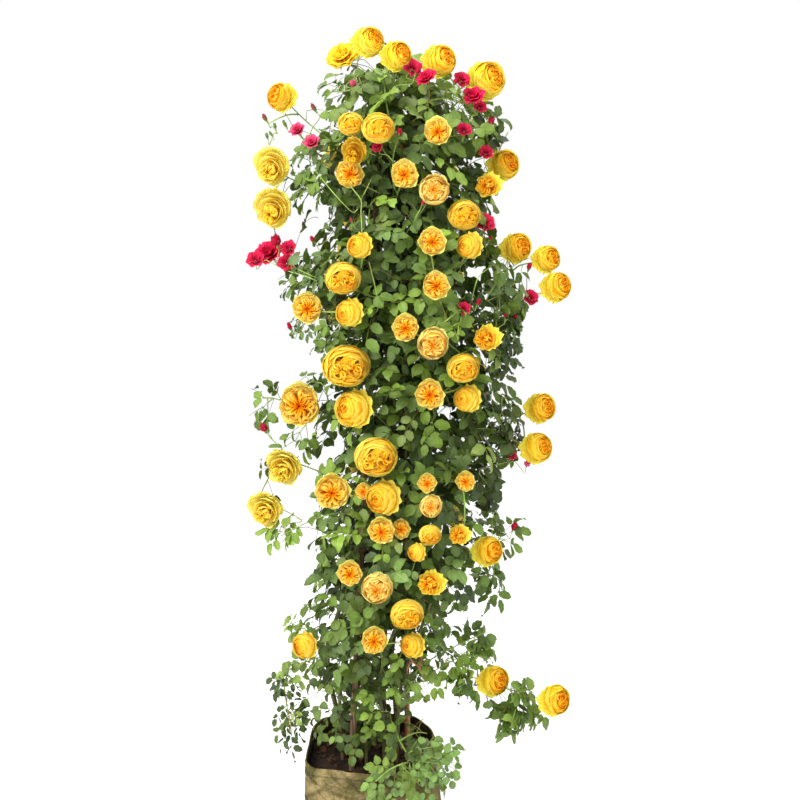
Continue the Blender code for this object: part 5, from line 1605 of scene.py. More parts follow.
def add_thorns(soup, pts, radius, rnd, spacing, colour, size=0.0055):
    """Curved prickles that point a little downwards along a stem."""
    pts = np.asarray(pts, float)
    gaps = np.linalg.norm(np.diff(pts, axis=0), axis=1)
    reach = np.concatenate(((0,), np.cumsum(gaps)))
    total = reach[-1]
    where = spacing * rnd.uniform(0.3, 1.0)
    blocks = []
    turn = rnd.uniform(0, 6.28)
    while where < total - spacing * 0.3:
        p = np.array([np.interp(where, reach, pts[:, k]) for k in range(3)])
        i = min(len(pts) - 2, int(np.searchsorted(reach, where, "right")) - 1)
        way = unit(pts[i + 1] - pts[i])
        turn += 2.4 + rnd.uniform(-0.5, 0.5)
        side = unit(np.cross(way, (0.3, 0.2, 0.9)))
        out = side * math.cos(turn) + np.cross(way, side) * math.sin(turn)
        cross = np.cross(way, out)
        long = size * rnd.uniform(0.7, 1.2)
        rows = []
        for share, along, wide in ((0.0, 0.0, 1.0), (0.5, -0.06, 0.45), (1.0, -0.35, 0.03)):
            middle = p + out * (radius * 0.75 + long * share) + way * long * along
            for k in range(5):
                a = k * math.tau / 5
                rows.append(middle + way * math.cos(a) * long * 0.48 * wide + cross * math.sin(a) * long * 0.20 * wide)
        blocks.append(rows)
        where += spacing * rnd.uniform(0.7, 1.3)
    if blocks:
        verts = np.array(blocks)
        tint = np.broadcast_to(colour, verts.shape)
        soup.add(verts, THORN_FACES, THORN_LOCAL, tint)


SEPAL_FACES, SEPAL_LOCAL = grid_faces(5, 3)


def add_sepals(soup, at, face, size, spread, colour, rnd, count=5, reach=1.0):
    """Narrow pointed sepals round the base of a bloom or bud."""
    x, y, z = facing_frame(face)
    blocks = []
    start = rnd.uniform(0, 6.28)
    for k in range(count):
        a = start + k * math.tau / count
        out = x * math.cos(a) + y * math.sin(a)
        cross = np.cross(z, out)
        rows = []
        p = at + out * size * 0.10
        lean = math.radians(spread * rnd.uniform(0.85, 1.15))
        for j, wide in enumerate((0.16, 0.20, 0.15, 0.08, 0.01)):
            angle = lean * (0.4 + 0.25 * j)
            if j:
                p = p + (out * math.sin(angle) + z * math.cos(angle)) * size * 0.26 * reach
            for u in (-1, 0, 1):
                rows.append(p + cross * u * wide * size + (out * math.cos(angle) - z * math.sin(angle)) * (-0.04 * size * abs(u)))
        blocks.append(rows)
    verts = np.array(blocks)
    soup.add(verts, SEPAL_FACES, SEPAL_LOCAL, np.broadcast_to(colour, verts.shape))


def add_bud(petal_soup, stem_soup, at, face, long, wide, shades, rnd, opened=0.2):
    """A bud: overlapping petals wrapped round each other, in its sepals."""
    face = unit(face)
    axes = facing_frame(face)
    size = long
    ratio_w = wide / long
    rows = []
    for i in range(6):
        q = i / 5
        rows.append(
            petal(
                137.5 * i, 0.03, -0.42 + 0.05 * q, (1.02 - 0.10 * q), (0.95 - 0.35 * q) * ratio_w * 1.5,
                (46 + 20 * opened) * ratio_w * 1.2, (-38 + 46 * opened) * (1 - 0.4 * q), (0.34 - 0.16 * q) * ratio_w * 1.3,
                14 * opened, 0.02 + 0.04 * opened, i, 0.08, 0, 0, 0.8 - 0.2 * q, 0.15 + 0.3 * q,
            )
        )
    if opened > 0.8:
        # already open: a small ruffled bloom
        axes = facing_frame(unit(face + np.array((0, -1.1, -0.2))))
        size, ratio_w = 0.56 * max(long, wide), 1.0
        rows = whorl(rnd, 6, 80, 0.10, -0.42, 1.10, 1.10, 72, 54, 0.60, 30, 0.12, d0=0.6, d1=0.0)
        rows += whorl(rnd, 5, 40, 0.08, -0.34, 0.88, 0.86, 58, 16, 0.44, 16, 0.10, d0=0.75, d1=0.12)
        rows += spiral(rnd, 5, (0.04, -0.24, 0.66, 0.50, 34, -12, 0.22), (0.02, -0.20, 0.48, 0.28, 18, -16, 0.10), (0, 0), (0.9, 0.35), (1.0, 0.6))
    v, d = petals(rows, SMALL)
    verts = at + (v * size) @ axes
    outer, deep = (np.array(c) for c in shades)
    tint = mixed(outer, deep, np.clip(d, 0, 1))
    petal_soup.add(verts, *PETAL_GRIDS[SMALL][1], tint)
    green = linear("#6E8F45")
    foot = at - face * size * 0.46
    add_sepals(stem_soup, foot, face, size * (0.80 if opened > 0.8 else 0.62), 24 + 60 * opened, green * rnd.uniform(0.85, 1.1), rnd)
    add_tube(stem_soup, [foot - face * size * 0.20, foot - face * size * 0.10, foot + face * size * 0.05], (size * 0.05, size * 0.12, size * 0.11), green, 6)
    return foot - face * size * 0.18


# Buds seen between the blooms: across, down, width, height, kind, shoot. Kinds:
# c crimson, p pink, g still green, y yellow, b brownish, o half open crimson
BUDS = (
    (353, 84, 7, 8, "p", 1), (417, 72, 6, 8, "c", 2), (455, 82, 5, 8, "c", 36), (466, 92, 7, 8, "c", 36),
    (480, 106, 9, 12, "o", 36), (399, 133, 6, 9, "c", 5), (377, 147, 10, 9, "o", 5), (464, 129, 10, 13, "o", 36),
    (491, 122, 8, 10, "c", 10), (486, 152, 13, 12, "o", 10), (485, 222, 10, 17, "o", 11), (423, 203, 5, 7, "c", 9),
    (313, 240, 5, 8, "c", 13), (290, 327, 5, 9, "c", 13), (531, 297, 11, 14, "o", 14), (464, 308, 12, 11, "o", 16),
    (478, 303, 5, 8, "c", 16), (529, 267, 6, 8, "c", 14), (490, 239, 3, 6, "c", 11), (505, 316, 4, 5, "c", 16),
    (515, 317, 5, 5, "c", 16), (264, 428, 8, 9, "c", 19), (514, 527, 7, 9, "c", 28), (314, 108, 5, 9, "b", 35),
    (265, 118, 5, 8, "b", 4), (285, 124, 4, 8, "g", 4), (275, 126, 4, 6, "g", 4), (267, 136, 4, 6, "g", 4),
    (356, 155, 7, 8, "y", 5), (255, 259, 13, 15, "o", 34), (286, 262, 15, 14, "o", 34), (288, 248, 14, 14, "o", 34),
    (276, 241, 12, 12, "c", 34), (413, 67, 12, 17, "o", 36), (462, 79, 11, 15, "o", 36),
    (512, 455, 8, 8, "o", 20), (527, 464, 7, 6, "p", 20), (352, 221, 4, 8, "b", 8), (271, 134, 3, 6, "g", 4),
)
BUD_SHADES = {
    "c": ("#D8234A", "#8C0A28"), "o": ("#E8305E", "#A01236"), "p": ("#F2648E", "#C42A58"),
    "g": ("#86A85A", "#557A38"), "y": ("#FBD84E", "#D8A82C"), "b": ("#A85A4A", "#6E3630"),
}
# Stems seen in front of the leaves: points across and down, from the root out
FRONT_STEMS = (
    (8, ((361, 268), (362, 250), (362, 231), (361, 212), (361, 200), (352, 188), (349, 182)), 1.0),
    (8, ((361, 201), (365, 192), (371, 180)), 0.8),
    (8, ((352, 212), (338, 198), (326, 184), (317, 172)), 0.8),
    (16, ((435, 328), (446, 321), (453, 315), (460, 310)), 1.0),
    (16, ((446, 331), (453, 326), (460, 322)), 0.7),
    (34, ((325, 284), (305, 276), (288, 271), (270, 262)), 0.9),
    (34, ((325, 282), (308, 274), (296, 268), (290, 260)), 0.8),
    (19, ((268, 434), (276, 443), (283, 450)), 0.8),
    (19, ((262, 406), (258, 418), (260, 424)), 0.6),
    (11, ((458, 268), (466, 256), (476, 240), (484, 228)), 0.9),
    (16, ((471, 302), (477, 280), (486, 270), (505, 258)), 0.8),
    (14, ((500, 276), (508, 270), (520, 262), (529, 258)), 0.7),
    (9, ((412, 224), (418, 214), (422, 206)), 0.7),
    (13, ((376, 312), (378, 302), (374, 282), (369, 262)), 0.9),
    (33, ((430, 660), (448, 650), (468, 640), (486, 632)), 1.2),
    (33, ((430, 673), (446, 664), (462, 657), (478, 656), (492, 659)), 0.9),
    (5, ((395, 190), (394, 174), (393, 160), (396, 142)), 0.7),
    (4, ((320, 150), (305, 142), (294, 128), (287, 116)), 0.9),
)


def shoot_name(key):
    if isinstance(key, str):
        return key
    if key == TRAILING:
        return "trailing_shoot"
    if key >= 37:
        return f"rear_shoot_{key - 36}"
    if key >= 34:
        return f"crimson_shoot_{key - 33}"
    return f"flowering_shoot_{key:02d}"


def nearest_on(stems, point):
    """The nearest place on any of these paths."""
    best = None
    for path in stems:
        for a, b in zip(path[:-1], path[1:]):
            d = b - a
            t = max(0.0, min(1.0, float((point - a) @ d) / max(1e-12, float(d @ d))))
            q = a + d * t
            gap = float(np.linalg.norm(point - q))
            if best is None or gap < best[0]:
                best = (gap, q, d)
    return best


def tuck_behind(bloom):
    """A bloom of the far side, moved along the column to where the leaves in
    front of it cover it."""
    x, y, far = seen(bloom["at"])
    half = bloom["r"] * FOCAL / far
    left, right = np.interp(y, EDGE[:, 0], EDGE[:, 1]) + 26, np.interp(y, EDGE[:, 0], EDGE[:, 2]) - 34
    move = max(0.0, left - (x - half)) - max(0.0, (x + half) - right)
    inwards = 1.0 if x < (left + right) / 2 else -1.0
    for _ in range(12):
        spots = x + move + half * np.array((-0.7, 0.0, 0.7))
        if max(thin_share(spots, y + half * k).max() for k in (np.full(3, -0.6), np.zeros(3), np.full(3, 0.6))) < 0.3:
            break
        move += 4.0 * inwards
    move *= far / FOCAL
    if move:
        middle, wide, deep = column(bloom["at"][2])
        # two lie behind wide gaps and go further than the others
        most = 0.12 if min(abs(bloom["at"][2] - 1.699), abs(bloom["at"][2] - 1.867)) < 0.01 else 0.08
        px = bloom["at"][0] + max(-most, min(most, move))
        share = max(-0.97, min(0.97, (px - middle) / (0.98 * wide)))
        bloom["at"] = np.array((px, (deep + 0.015) * math.sqrt(1 - share * share), bloom["at"][2]))


def grow_visible():
    """Everything green and in flower, gathered by piece."""
    plant, _ = grow()
    rnd = random.Random(7)
    soups, leafage, threads = {}, Leafage(), []
    bark = linear("#6C8A3C")
    old = linear("#5E5A36")

    # ---- blooms first: the leaves keep clear of them
    for bloom in plant["blooms"]:
        if not bloom["front"]:
            tuck_behind(bloom)
        key = shoot_name(bloom["shoot"])
        add_bloom(soups.setdefault((key, "blooms"), Soup()), bloom, rnd)
        stem_soup = soups.setdefault((key, "stems"), Soup())
        face, size, middle = bloom_face(bloom), bloom["size"], bloom["middle"]
        green = linear("#6F9440") * rnd.uniform(0.85, 1.1)
        foot = middle - face * size * 0.50
        add_sepals(stem_soup, foot, face, size * 0.62, 104, green, rnd)
        add_tube(stem_soup, [foot - face * size * 0.26, foot - face * size * 0.12, foot + face * size * 0.02], (size * 0.05, size * 0.13, size * 0.12), green, 7)
        bloom["foot"] = foot - face * size * 0.24

    # ---- stems of the shoots
    paths = {}
    for key, shoot in plant["shoots"].items():
        name = shoot_name(key)
        soup = soups.setdefault((name, "stems"), Soup())
        reddish = rnd.random() < 0.3
        paths[key] = []
        for s, stem in enumerate(shoot["stems"]):
            pts = [np.array(p, float) for p in stem["pts"]]
            if stem["root"] is not None:
                pts = [np.array(stem["root"], float)] + pts
                if key == LOW_SHOOT:
                    # it leaves its cane higher up and arches over
                    cane = next(c for c in plant["canes"] if c["name"] == stem["cane"])
                    pts = [p + np.array((0, 0, LOW_LIFT * (1 - k / (len(pts) - 1)))) for k, p in enumerate(pts)]
                    pts[0] = cane_at(cane, pts[0][2])[0]
            if s < len(shoot["blooms"]):
                bloom = shoot["blooms"][s]
                pts = pts[:-1] + [bloom["foot"]] if np.linalg.norm(pts[-2] - bloom["foot"]) > 0.012 else pts[:-2] + [bloom["foot"]]
            path = smooth_path(pts, 3)
            r = stem["r"] * 0.92
            young = linear("#7FA246") * rnd.uniform(0.9, 1.1)
            tone = linear("#8E5A3C") * 0.6 + young * 0.4 if reddish else young
            add_tube(soup, path, (r * 1.15, r, r * 0.8, r * 0.62), np.array((bark, young, tone, tone)), 6)
            add_thorns(soup, path[: int(len(path) * 0.8)], r, rnd, 0.048, linear("#A8604A"))
            paths[key].append([np.array(p) for p in path])
    for cane in plant["canes"]:
        soup = soups.setdefault((cane["name"], "stems"), Soup())
        path = smooth_path(cane["pts"], 4)
        r = np.array(cane["radii"])
        fine = np.interp(np.linspace(0, 1, len(path)), np.linspace(0, 1, len(r)), r)
        fine = fine * (1 + 0.05 * np.sin(np.arange(len(path)) * 1.9) + 0.08 * (np.arange(len(path)) % 9 == 0))
        add_tube(soup, path, fine, np.array((old, old * 0.6 + bark * 0.4, bark, bark * 1.1)), 10)
        add_thorns(soup, path[4:], float(r[0]) * 0.8, rnd, 0.034, linear("#8A6A4A"), 0.0075)
        paths[cane["name"]] = [[np.array(p) for p in path]]

    # ---- stems seen in front of the leaves, and the buds
    for key, spots, thick in FRONT_STEMS:
        pts = []
        for k, (px, py) in enumerate(spots):
            # the first point lies deeper, where the stem comes out of the leaves
            y = front_depth(px, py)
            pts.append(sight(px, py, (-0.05 if y is None else y + (0.05 if k == 0 else 0.0)) - 0.004))
        root = nearest_on(paths[key], pts[0])
        pts = [root[1], (root[1] + pts[0]) / 2 + np.array((0, 0, -0.006))] + pts
        path = smooth_path(pts, 3)
        soup = soups[(shoot_name(key), "stems")]
        green = linear("#93B050" if key in (8, 34, 16) else "#76924A") * rnd.uniform(0.9, 1.08)
        add_tube(soup, path, np.array((1.9, 1.7, 1.5, 1.3)) * 0.001 * thick, green, 6)
        paths[key].append([np.array(p) for p in path])
    for px, py, wide, high, kind, key in BUDS:
        y = front_depth(px, py)
        y = -0.05 if y is None else y - 0.006
        at = sight(px, py, y)
        scale = float(seen(at)[2]) / FOCAL
        name = shoot_name(key)
        side = -1.0 if px < 395 else 1.0
        face = unit((0.35 * side + rnd.uniform(-0.3, 0.3), -0.25, 1.0))
        shades = [linear(c) for c in BUD_SHADES[kind]]
        opened = {"o": 0.85, "p": 0.55, "c": 0.25, "g": 0.0, "y": 0.4, "b": 0.1}[kind]
        petal_soup = soups.setdefault((name, "blooms"), Soup())
        foot = add_bud(petal_soup, soups[(name, "stems")], at, face, high * scale, wide * scale, shades, rnd, opened)
        root = nearest_on(paths[key], foot + np.array((0, 0.02, -0.03)))
        reach = max(0.02, root[0])
        pts = [root[1], root[1] + (foot - root[1]) * 0.4 + np.array((0, 0, 0.12 * reach)), foot - face * min(0.25 * reach, 0.02 if root[1][2] > foot[2] - 0.02 else 0.05), foot]
        add_tube(soups[(name, "stems")], smooth_path(pts, 3), (0.0014, 0.0011, 0.0010), linear("#86A04A"), 5)
        paths[key].append([np.array(p) for p in smooth_path(pts, 2)])

    # ---- compound leaves: the frame's own, then a finer fill, then an inside painted dark as shade
    for leaf in plant["leaves"]:
        owner = shoot_name(leaf["owner"])
        length = max(0.080, min(0.125, leaf["length"]))
        if leaf["owner"] == TRAILING:
            length *= 0.84
        elif leaf["owner"] == LOW_SHOOT:
            near = nearest_on(paths[LOW_SHOOT], leaf["a"])
            if near[0] > 0.006:
                leaf["a"] = near[1]
        free = leaf["owner"] == TRAILING or (ratio(leaf["a"]) > 1.25 and leaf["owner"] != 4)
        leafage.compound(threads, owner, leaf["a"], leaf["way"], leaf["normal"], length, rnd, free=free)
    anchors, ways, owners = [], [], []
    for key, runs in paths.items():
        for run in runs:
            for a, b in zip(run[:-1], run[1:]):
                if ratio(a) < 0.10 or a[2] < 0.36:
                    continue
                anchors.append((a + b) / 2)
                ways.append(unit(b - a))
                owners.append(key)
    anchors = np.array(anchors)
    tips = np.array([x["a"] + x["way"] * x["length"] * 0.7 for x in plant["leaves"]])
    low, high = COLUMN[0][0], COLUMN[-1][0] + 0.01
    made = 0
    for wanted, inmost, outmost, close, deep, trials in (
        (OUTER_LEAVES, 0.66, 1.02, 0.052, False, 16000), (INNER_LEAVES, 0.12, 0.72, 0.056, True, 12000),
    ):
        done = 0
        for trial in range(trials):
            if done >= wanted:
                break
            z = rnd.uniform(low - 0.02, high)
            if z < 0.62 and rnd.random() < (0.45 if deep else 0.05):
                continue
            middle, half, depth = column(z)
            turn = rnd.uniform(0, math.tau)
            out = math.sqrt(rnd.uniform(inmost**2, outmost**2))
            tip = np.array((middle + half * out * math.cos(turn), depth * out * math.sin(turn), z))
            if np.linalg.norm(tips - tip, axis=1).min() < close * (1 - trial / (2.4 * trials)):
                continue
            x, y, _ = seen(tip)
            if rnd.random() < thin_share(np.array([x]), np.array([y]))[0]:
                continue
            gaps = np.linalg.norm(anchors - tip, axis=1)
            order = np.argsort(gaps + 0.02 * (anchors[:, 2] > tip[2]))[:12]
            j = order[rnd.randrange(min(5, len(order)))]
            if not 0.015 < gaps[j] < 0.17:
                continue
            outward = unit((tip[0] - middle, tip[1], 0.0))
            way = unit((tip - anchors[j]) / gaps[j] + outward * 0.5 + jitter(rnd, 0.55) + np.array((0, 0, -0.10)))
            length = rnd.uniform(0.084, 0.124)
            base = tip - way * length * 0.60
            look = unit(outward * 0.7 + np.array((0, 0, 0.55)) + jitter(rnd, 0.45))
            name = shoot_name(owners[j])
            colour = leaf_colour(tip, rnd, rnd.random())
            gap = float(np.linalg.norm(base - anchors[j]))
            bow = anchors[j] + (base - anchors[j]) * 0.5 + np.array((0, 0, 0.10 * gap))
            pts = [anchors[j], bow, base] if deep else smooth_path([anchors[j], bow, base], 2)
            number = leafage.compound(threads, name, base, way, look, length, rnd, colour=colour, deep=deep)
            threads.append((name, pts, (0.0013, 0.0011, 0.0010), colour * np.array((1.25, 1.1, 0.8)), 3, number))
            tips = np.vstack((tips, tip))
            done += 1
        made += done
        print("leaves", "inside" if deep else "outside", done)
    extra_sprigs(plant, leafage, threads, paths, rnd)
    count = build_leaves(leafage, plant["blooms"], soups)
    for owner, pts, radii, colour, sides, number in threads:
        if min(p[2] for p in pts) < 0.30 or (number and number not in leafage.kept):
            continue
        add_tube(soups.setdefault((owner, "stems"), Soup()), pts, radii, colour, sides)
    print("compound leaves", len(plant["leaves"]) + made, "leaflets", count)
    return plant, soups


LOW_SHOOT = 33
LOW_LIFT = 0.13
OUTER_LEAVES = 600
INNER_LEAVES = 680

# Sprigs that break the outline: shoot, points across and down from the stem
# out, tone, and their depth where they hang in front of the bag
SPRIGS = (
    (1, ((340, 92), (338, 88), (337, 84)), "plain", None),
    (1, ((346, 86), (352, 80), (358, 76)), "plain", None),
    (3, ((476, 108), (484, 116), (489, 124)), "dark", None),
    (10, ((484, 128), (491, 134), (494, 138)), "dark", None),
    (7, ((322, 186), (310, 190), (303, 193)), "plain", None),
    (7, ((330, 168), (316, 164), (308, 160)), "plain", None),
    (34, ((318, 286), (302, 284), (292, 284)), "plain", None),
    (20, ((502, 398), (510, 404), (514, 412)), "dark", None),
    (20, ((500, 414), (508, 420), (513, 430)), "dark", None),
    (28, ((484, 566), (489, 574), (492, 580)), "plain", None),
    (30, ((442, 578), (449, 586), (455, 592)), "dark", None),
    (33, ((416, 672), (422, 680), (426, 690)), "fresh", None),
    (12, ((452, 330), (450, 322), (446, 316)), "fresh", None),
    (34, ((330, 264), (318, 264), (308, 264)), "blue", None),
    (19, ((324, 386), (316, 383), (310, 382)), "plain", None),
    (19, ((274, 398), (268, 402), (264, 407)), "plain", None),
    (19, ((306, 424), (300, 432), (296, 440)), "plain", None),
    (14, ((486, 300), (498, 296), (506, 292)), "blue", None),
    (14, ((500, 312), (508, 306), (514, 303)), "dark", None),
    (14, ((496, 330), (504, 330), (509, 332)), "dark", None),
    (16, ((486, 352), (496, 354), (500, 357)), "dark", None),
    (20, ((498, 430), (506, 434), (510, 440)), "dark", None),
    (20, ((480, 470), (486, 482), (491, 491)), "dark", None),
    (28, ((482, 560), (488, 570), (489, 577)), "plain", None),
    (28, ((492, 546), (499, 539), (502, 535)), "plain", None),
    (22, ((302, 520), (291, 523), (285, 528)), "fresh", None),
    (31, ((306, 630), (300, 627), (296, 625)), "fresh", None),
    (13, ((314, 317), (306, 320), (300, 323)), "blue", None),
    (13, ((340, 324), (334, 331), (330, 338)), "plain", None),
    (31, ((302, 664), (295, 668), (291, 671)), "fresh", None),
    (33, ((446, 660), (457, 655), (466, 652)), "fresh", None),
    (33, ((446, 660), (457, 664), (461, 672)), "fresh", None),
    (33, ((458, 644), (466, 641), (473, 638)), "plain", None),
    (31, ((290, 676), (287, 679), (284, 681)), "dark", None),
    (31, ((288, 696), (291, 706), (294, 714)), "dark", None),
    (31, ((287, 704), (288, 716), (290, 728)), "dark", None),
    (33, ((466, 664), (470, 672), (472, 679)), "plain", None),
    (33, ((504, 684), (512, 694), (515, 702)), "plain", None),
    (33, ((514, 690), (526, 696), (532, 702)), "plain", None),
    (33, ((498, 692), (503, 704), (506, 712)), "plain", None),
    (TRAILING, ((410, 752), (426, 748), (440, 746)), "over", -0.222),
    (TRAILING, ((410, 760), (426, 762), (440, 764)), "over", -0.232),
    (TRAILING, ((412, 756), (434, 757), (450, 760)), "over", -0.228),
    (TRAILING, ((404, 768), (414, 778), (420, 786)), "over", -0.238),
    (TRAILING, ((396, 766), (388, 776), (384, 786)), "over", -0.236),
)
# Withered wood left on the cane by the foot: points, thickness in millimetres
WITHERED = (
    (33, ((410, 655), (413, 662), (420, 668), (424, 677)), 2.6),
    (33, ((420, 668), (422, 660), (419, 654)), 2.0),
    (33, ((413, 662), (408, 668), (407, 674)), 1.6),
)


def extra_sprigs(plant, leafage, threads, paths, rnd):
    """Leafy sprigs that stand out of the column, and bits of withered wood."""
    for key, spots, tone, depth in SPRIGS:
        pts = []
        for px, py in spots:
            y = front_depth(px, py)
            pts.append(sight(px, py, depth if depth else (-0.03 if y is None else max(-0.20, y + 0.02))))
        root = nearest_on(paths[key], pts[0])
        path = smooth_path([root[1]] + pts, 3)
        name = shoot_name(key)
        threads.append((name, path, (0.0016, 0.0012, 0.0010), linear("#7E9448"), 5, 0))
        for k, p in enumerate(pts):
            way = unit(pts[min(k + 1, len(pts) - 1)] - pts[max(0, k - 1)])
            for sign in (-1, 1):
                if k == len(pts) - 1 and sign < 0:
                    out = way
                else:
                    out = unit(way * 0.8 + np.cross(way, (0, -1, 0)) * sign * 0.7 + jitter(rnd, 0.2))
                look = unit(np.array((0, -0.75, 0.5)) + jitter(rnd, 0.35))
                leafage.compound(
                    threads, name, p, out, look, rnd.uniform(0.058, 0.078), rnd, count=rnd.choice((3, 3, 5)),
                    colour=(GREENS[tone] * 0.75 + GREENS[rnd.choice(("blue", "fresh", tone))] * 0.25) * rnd.uniform(0.7, 1.1),
                    free=True, scale=rnd.uniform(0.70, 0.98) if key in (TRAILING, 31, 13) else rnd.uniform(1.0, 1.26) * (1.22 if spots[0][1] > 675 else 1.0),
                )
    for key, spots, thick in WITHERED:
        pts = [sight(px, py, (front_depth(px, py) or -0.05) - 0.006) for px, py in spots]
        root = nearest_on(paths[key], pts[0])
        threads.append((shoot_name(key), smooth_path([root[1]] + pts, 3), np.array((0.7, 1.0, 1.0, 0.8)) * 0.001 * thick, linear("#8A5638"), 6, 0))


# ------------------------------------------------------------- bag, soil, wood
def make_waves(seed, low, high, count):
    """Smooth noise as a sum of waves: directions, steps and starts."""
    pick = np.random.RandomState(seed)
    way = pick.normal(size=(count, 3))
    way /= np.linalg.norm(way, axis=1)[:, None]
    pitch = np.exp(np.linspace(math.log(low), math.log(high), count))
    return way * (math.tau * pitch)[:, None], pick.uniform(0, math.tau, count), (low / pitch) ** 0.7


def ripple(points, waves):
    """The noise at points, about -1 to 1."""
    step, start, height = waves
    return (np.sin(points @ step.T + start) * height).sum(-1) / math.sqrt((height**2).sum())


def crease_field(seed, count, around, tall):
    """Creases of the cloth: place, heading, length, width and depth."""
    rnd = random.Random(seed)
    out = []
    for _ in range(count):
        out.append(
            (
                rnd.uniform(0, around), rnd.uniform(0.02, tall), math.radians(rnd.uniform(-50, 50)),
                rnd.uniform(0.05, 0.14), rnd.uniform(0.006, 0.014), rnd.uniform(0.0020, 0.0046),
            )
        )
    return out


def bag_outline(angle, t, inset=0.0):
    """Plan of the bag as it is drawn: the far right corner of the rim sags in too."""
    x, y = bag_section(angle, t, inset)
    fold = max(0.0, (t - 0.55) / 0.45) ** 1.4
    near = math.exp(-(((x - 0.180) / 0.070) ** 2) - ((y - 0.165) / 0.100) ** 2)
    return x - 0.046 * fold * near, y - 0.010 * fold * near


def bag_mesh():
    """The cloth bag: one sheet from the floor over the rim and down inside."""
    count, around = 168, 1.42
    turn = np.arange(count) * math.tau / count
    rim = np.array([rim_height(a) for a in turn]) + 0.0016 * np.sin(9 * turn + 1.0) + 0.0010 * np.sin(17 * turn)
    rows, tints, outside = [], [], []
    plan = {}

    def ring(t, inset):
        key = (round(t, 5), round(inset, 6))
        if key not in plan:
            plan[key] = np.array([bag_outline(a, t, inset) for a in turn])
        return plan[key]

    def row(t, inset, z, tint, out, share=1.0):
        flat = ring(t, inset) * share
        rows.append(np.column_stack((flat, np.broadcast_to(z, (count,)))))
        tints.append(tint)
        outside.append(out)

    for share in (0.0005, 0.4, 0.75, 0.96):
        row(0.0, 0.010, 0.0, (0.8, 0.75, 0.7), 0.0, share)
    row(0.0, 0.010, 0.0002, (0.8, 0.75, 0.7), 0.0)
    row(0.008, 0.0045, 0.0016, (0.85, 0.8, 0.75), 0.2)
    row(0.018, 0.0015, 0.005, (0.9, 0.86, 0.8), 0.6)
    steps = 72
    for k in range(steps + 1):
        t = 0.03 + 0.965 * k / steps
        z = t * (BAG_HEIGHT * (1 - t**3) + rim * t**3)
        low = 0.80 + 0.20 * min(1.0, t / 0.12)
        # the hem is turned over and sewn down along its lower edge
        hem, seam = t > 0.944, abs(t - 0.938) < 0.007
        low *= 0.66 if seam else 1.10 if hem else 1.0
        row(t, 0.0010 if seam else -0.0006 if hem else 0.0, z, (low, low, low), 1.0)
    top = rim
    # the top of the rim is painted paler: a pale bound edge, with painted highlight where the light falls on it
    for inset, drop, tint in ((0.0003, 0.0008, 1.45), (0.0012, 0.0001, 1.7), (0.0022, 0.0000, 1.75), (0.0032, 0.0004, 1.5), (0.0039, 0.0014, 1.0)):
        row(1.0, inset, top - drop, (tint, tint, tint * 0.96), 1.0)
    steps = 22
    for k in range(steps + 1):
        t = 0.99 - 0.96 * k / steps
        z = t * (BAG_HEIGHT * (1 - t**3) + rim * t**3)
        # painted shade: the inner wall is darker than the outside, and darker still further down
        dark = 0.62 - 0.30 * min(1.0, (1 - t) / 0.14)
        row(t, BAG_WALL, z, (dark, dark * 0.90, dark * 0.78), 1.0 if t > 0.84 else 0.4)
    # painted shade: the floor inside the bag is painted dark as well
    for share in (0.96, 0.6, 0.0005):
        row(0.0, 0.014, 0.0075, (0.3, 0.25, 0.2), 0.0, share)
    place = np.array(rows)
    outside = np.array(outside)
    # soft slump: broad hollows and bulges, then creases
    centre = np.array((0.0, 0.0, 0.17))
    push = ripple(place, make_waves(5, 1.4, 5.0, 9)) * 0.0028
    push += ripple(place, make_waves(6, 7.0, 18.0, 9)) * 0.0007
    crease = 0.0 * push
    z = place[..., 2]
    s = np.broadcast_to(turn[None] / math.tau * around, z.shape)
    for where, height, heading, long, wide, deep in crease_field(11, 34, around, 0.33) + [
        (1.42 * (232 / 360), 0.300, math.radians(-24), 0.10, 0.010, 0.0050),
        (1.42 * (228 / 360), 0.275, math.radians(38), 0.07, 0.008, 0.0050),
        (1.42 * (262 / 360), 0.262, math.radians(8), 0.16, 0.012, 0.0035),
        (1.42 * (300 / 360), 0.290, math.radians(-35), 0.12, 0.012, 0.0035),
        (1.42 * (318 / 360), 0.250, math.radians(62), 0.12, 0.012, 0.0040),
    ]:
        ds = (s - where + around / 2) % around - around / 2
        dz = z - height
        c, n = math.cos(heading), math.sin(heading)
        along, off = ds * c + dz * n, -ds * n + dz * c
        fade = np.exp(-((along / long) ** 4))
        crease += fade * deep * (np.exp(-(((off - 0.7 * wide) / wide) ** 2)) * 0.8 - np.exp(-((off / (0.6 * wide)) ** 2)))
    out = place - centre
    out[..., 2] = 0
    out /= np.maximum(np.linalg.norm(out, axis=-1), 1e-6)[..., None]
    hold = (outside[:, None] * np.clip(z / 0.03, 0, 1))[..., None]
    place = place + out * (push + crease)[..., None] * hold
    faces, local = grid_faces(len(rows), count, ring=True)
    soup = Soup()
    tint = np.repeat(np.array(tints)[:, None], count, axis=1)
    # painted shade darkens the creases, and painted highlight makes their ridges pale
    tint = tint * (1 + np.clip(crease / 0.003, -0.34, 0.20) * hold[..., 0])[..., None]
    soup.add(place.reshape(1, -1, 3), faces, local, tint.reshape(1, -1, 3))
    return make_mesh("grow_bag_cloth", soup)


def soil_height(x, y):
    p = np.stack((x, y, 0 * x), -1)
    lumps = ripple(p, make_waves(21, 9.0, 40.0, 12)) * 0.0026 + ripple(p, make_waves(22, 60.0, 190.0, 14)) * 0.0013
    return SOIL_TOP + 0.004 + 0.004 * np.exp(-((np.hypot(x, y) / 0.10) ** 2)) + lumps


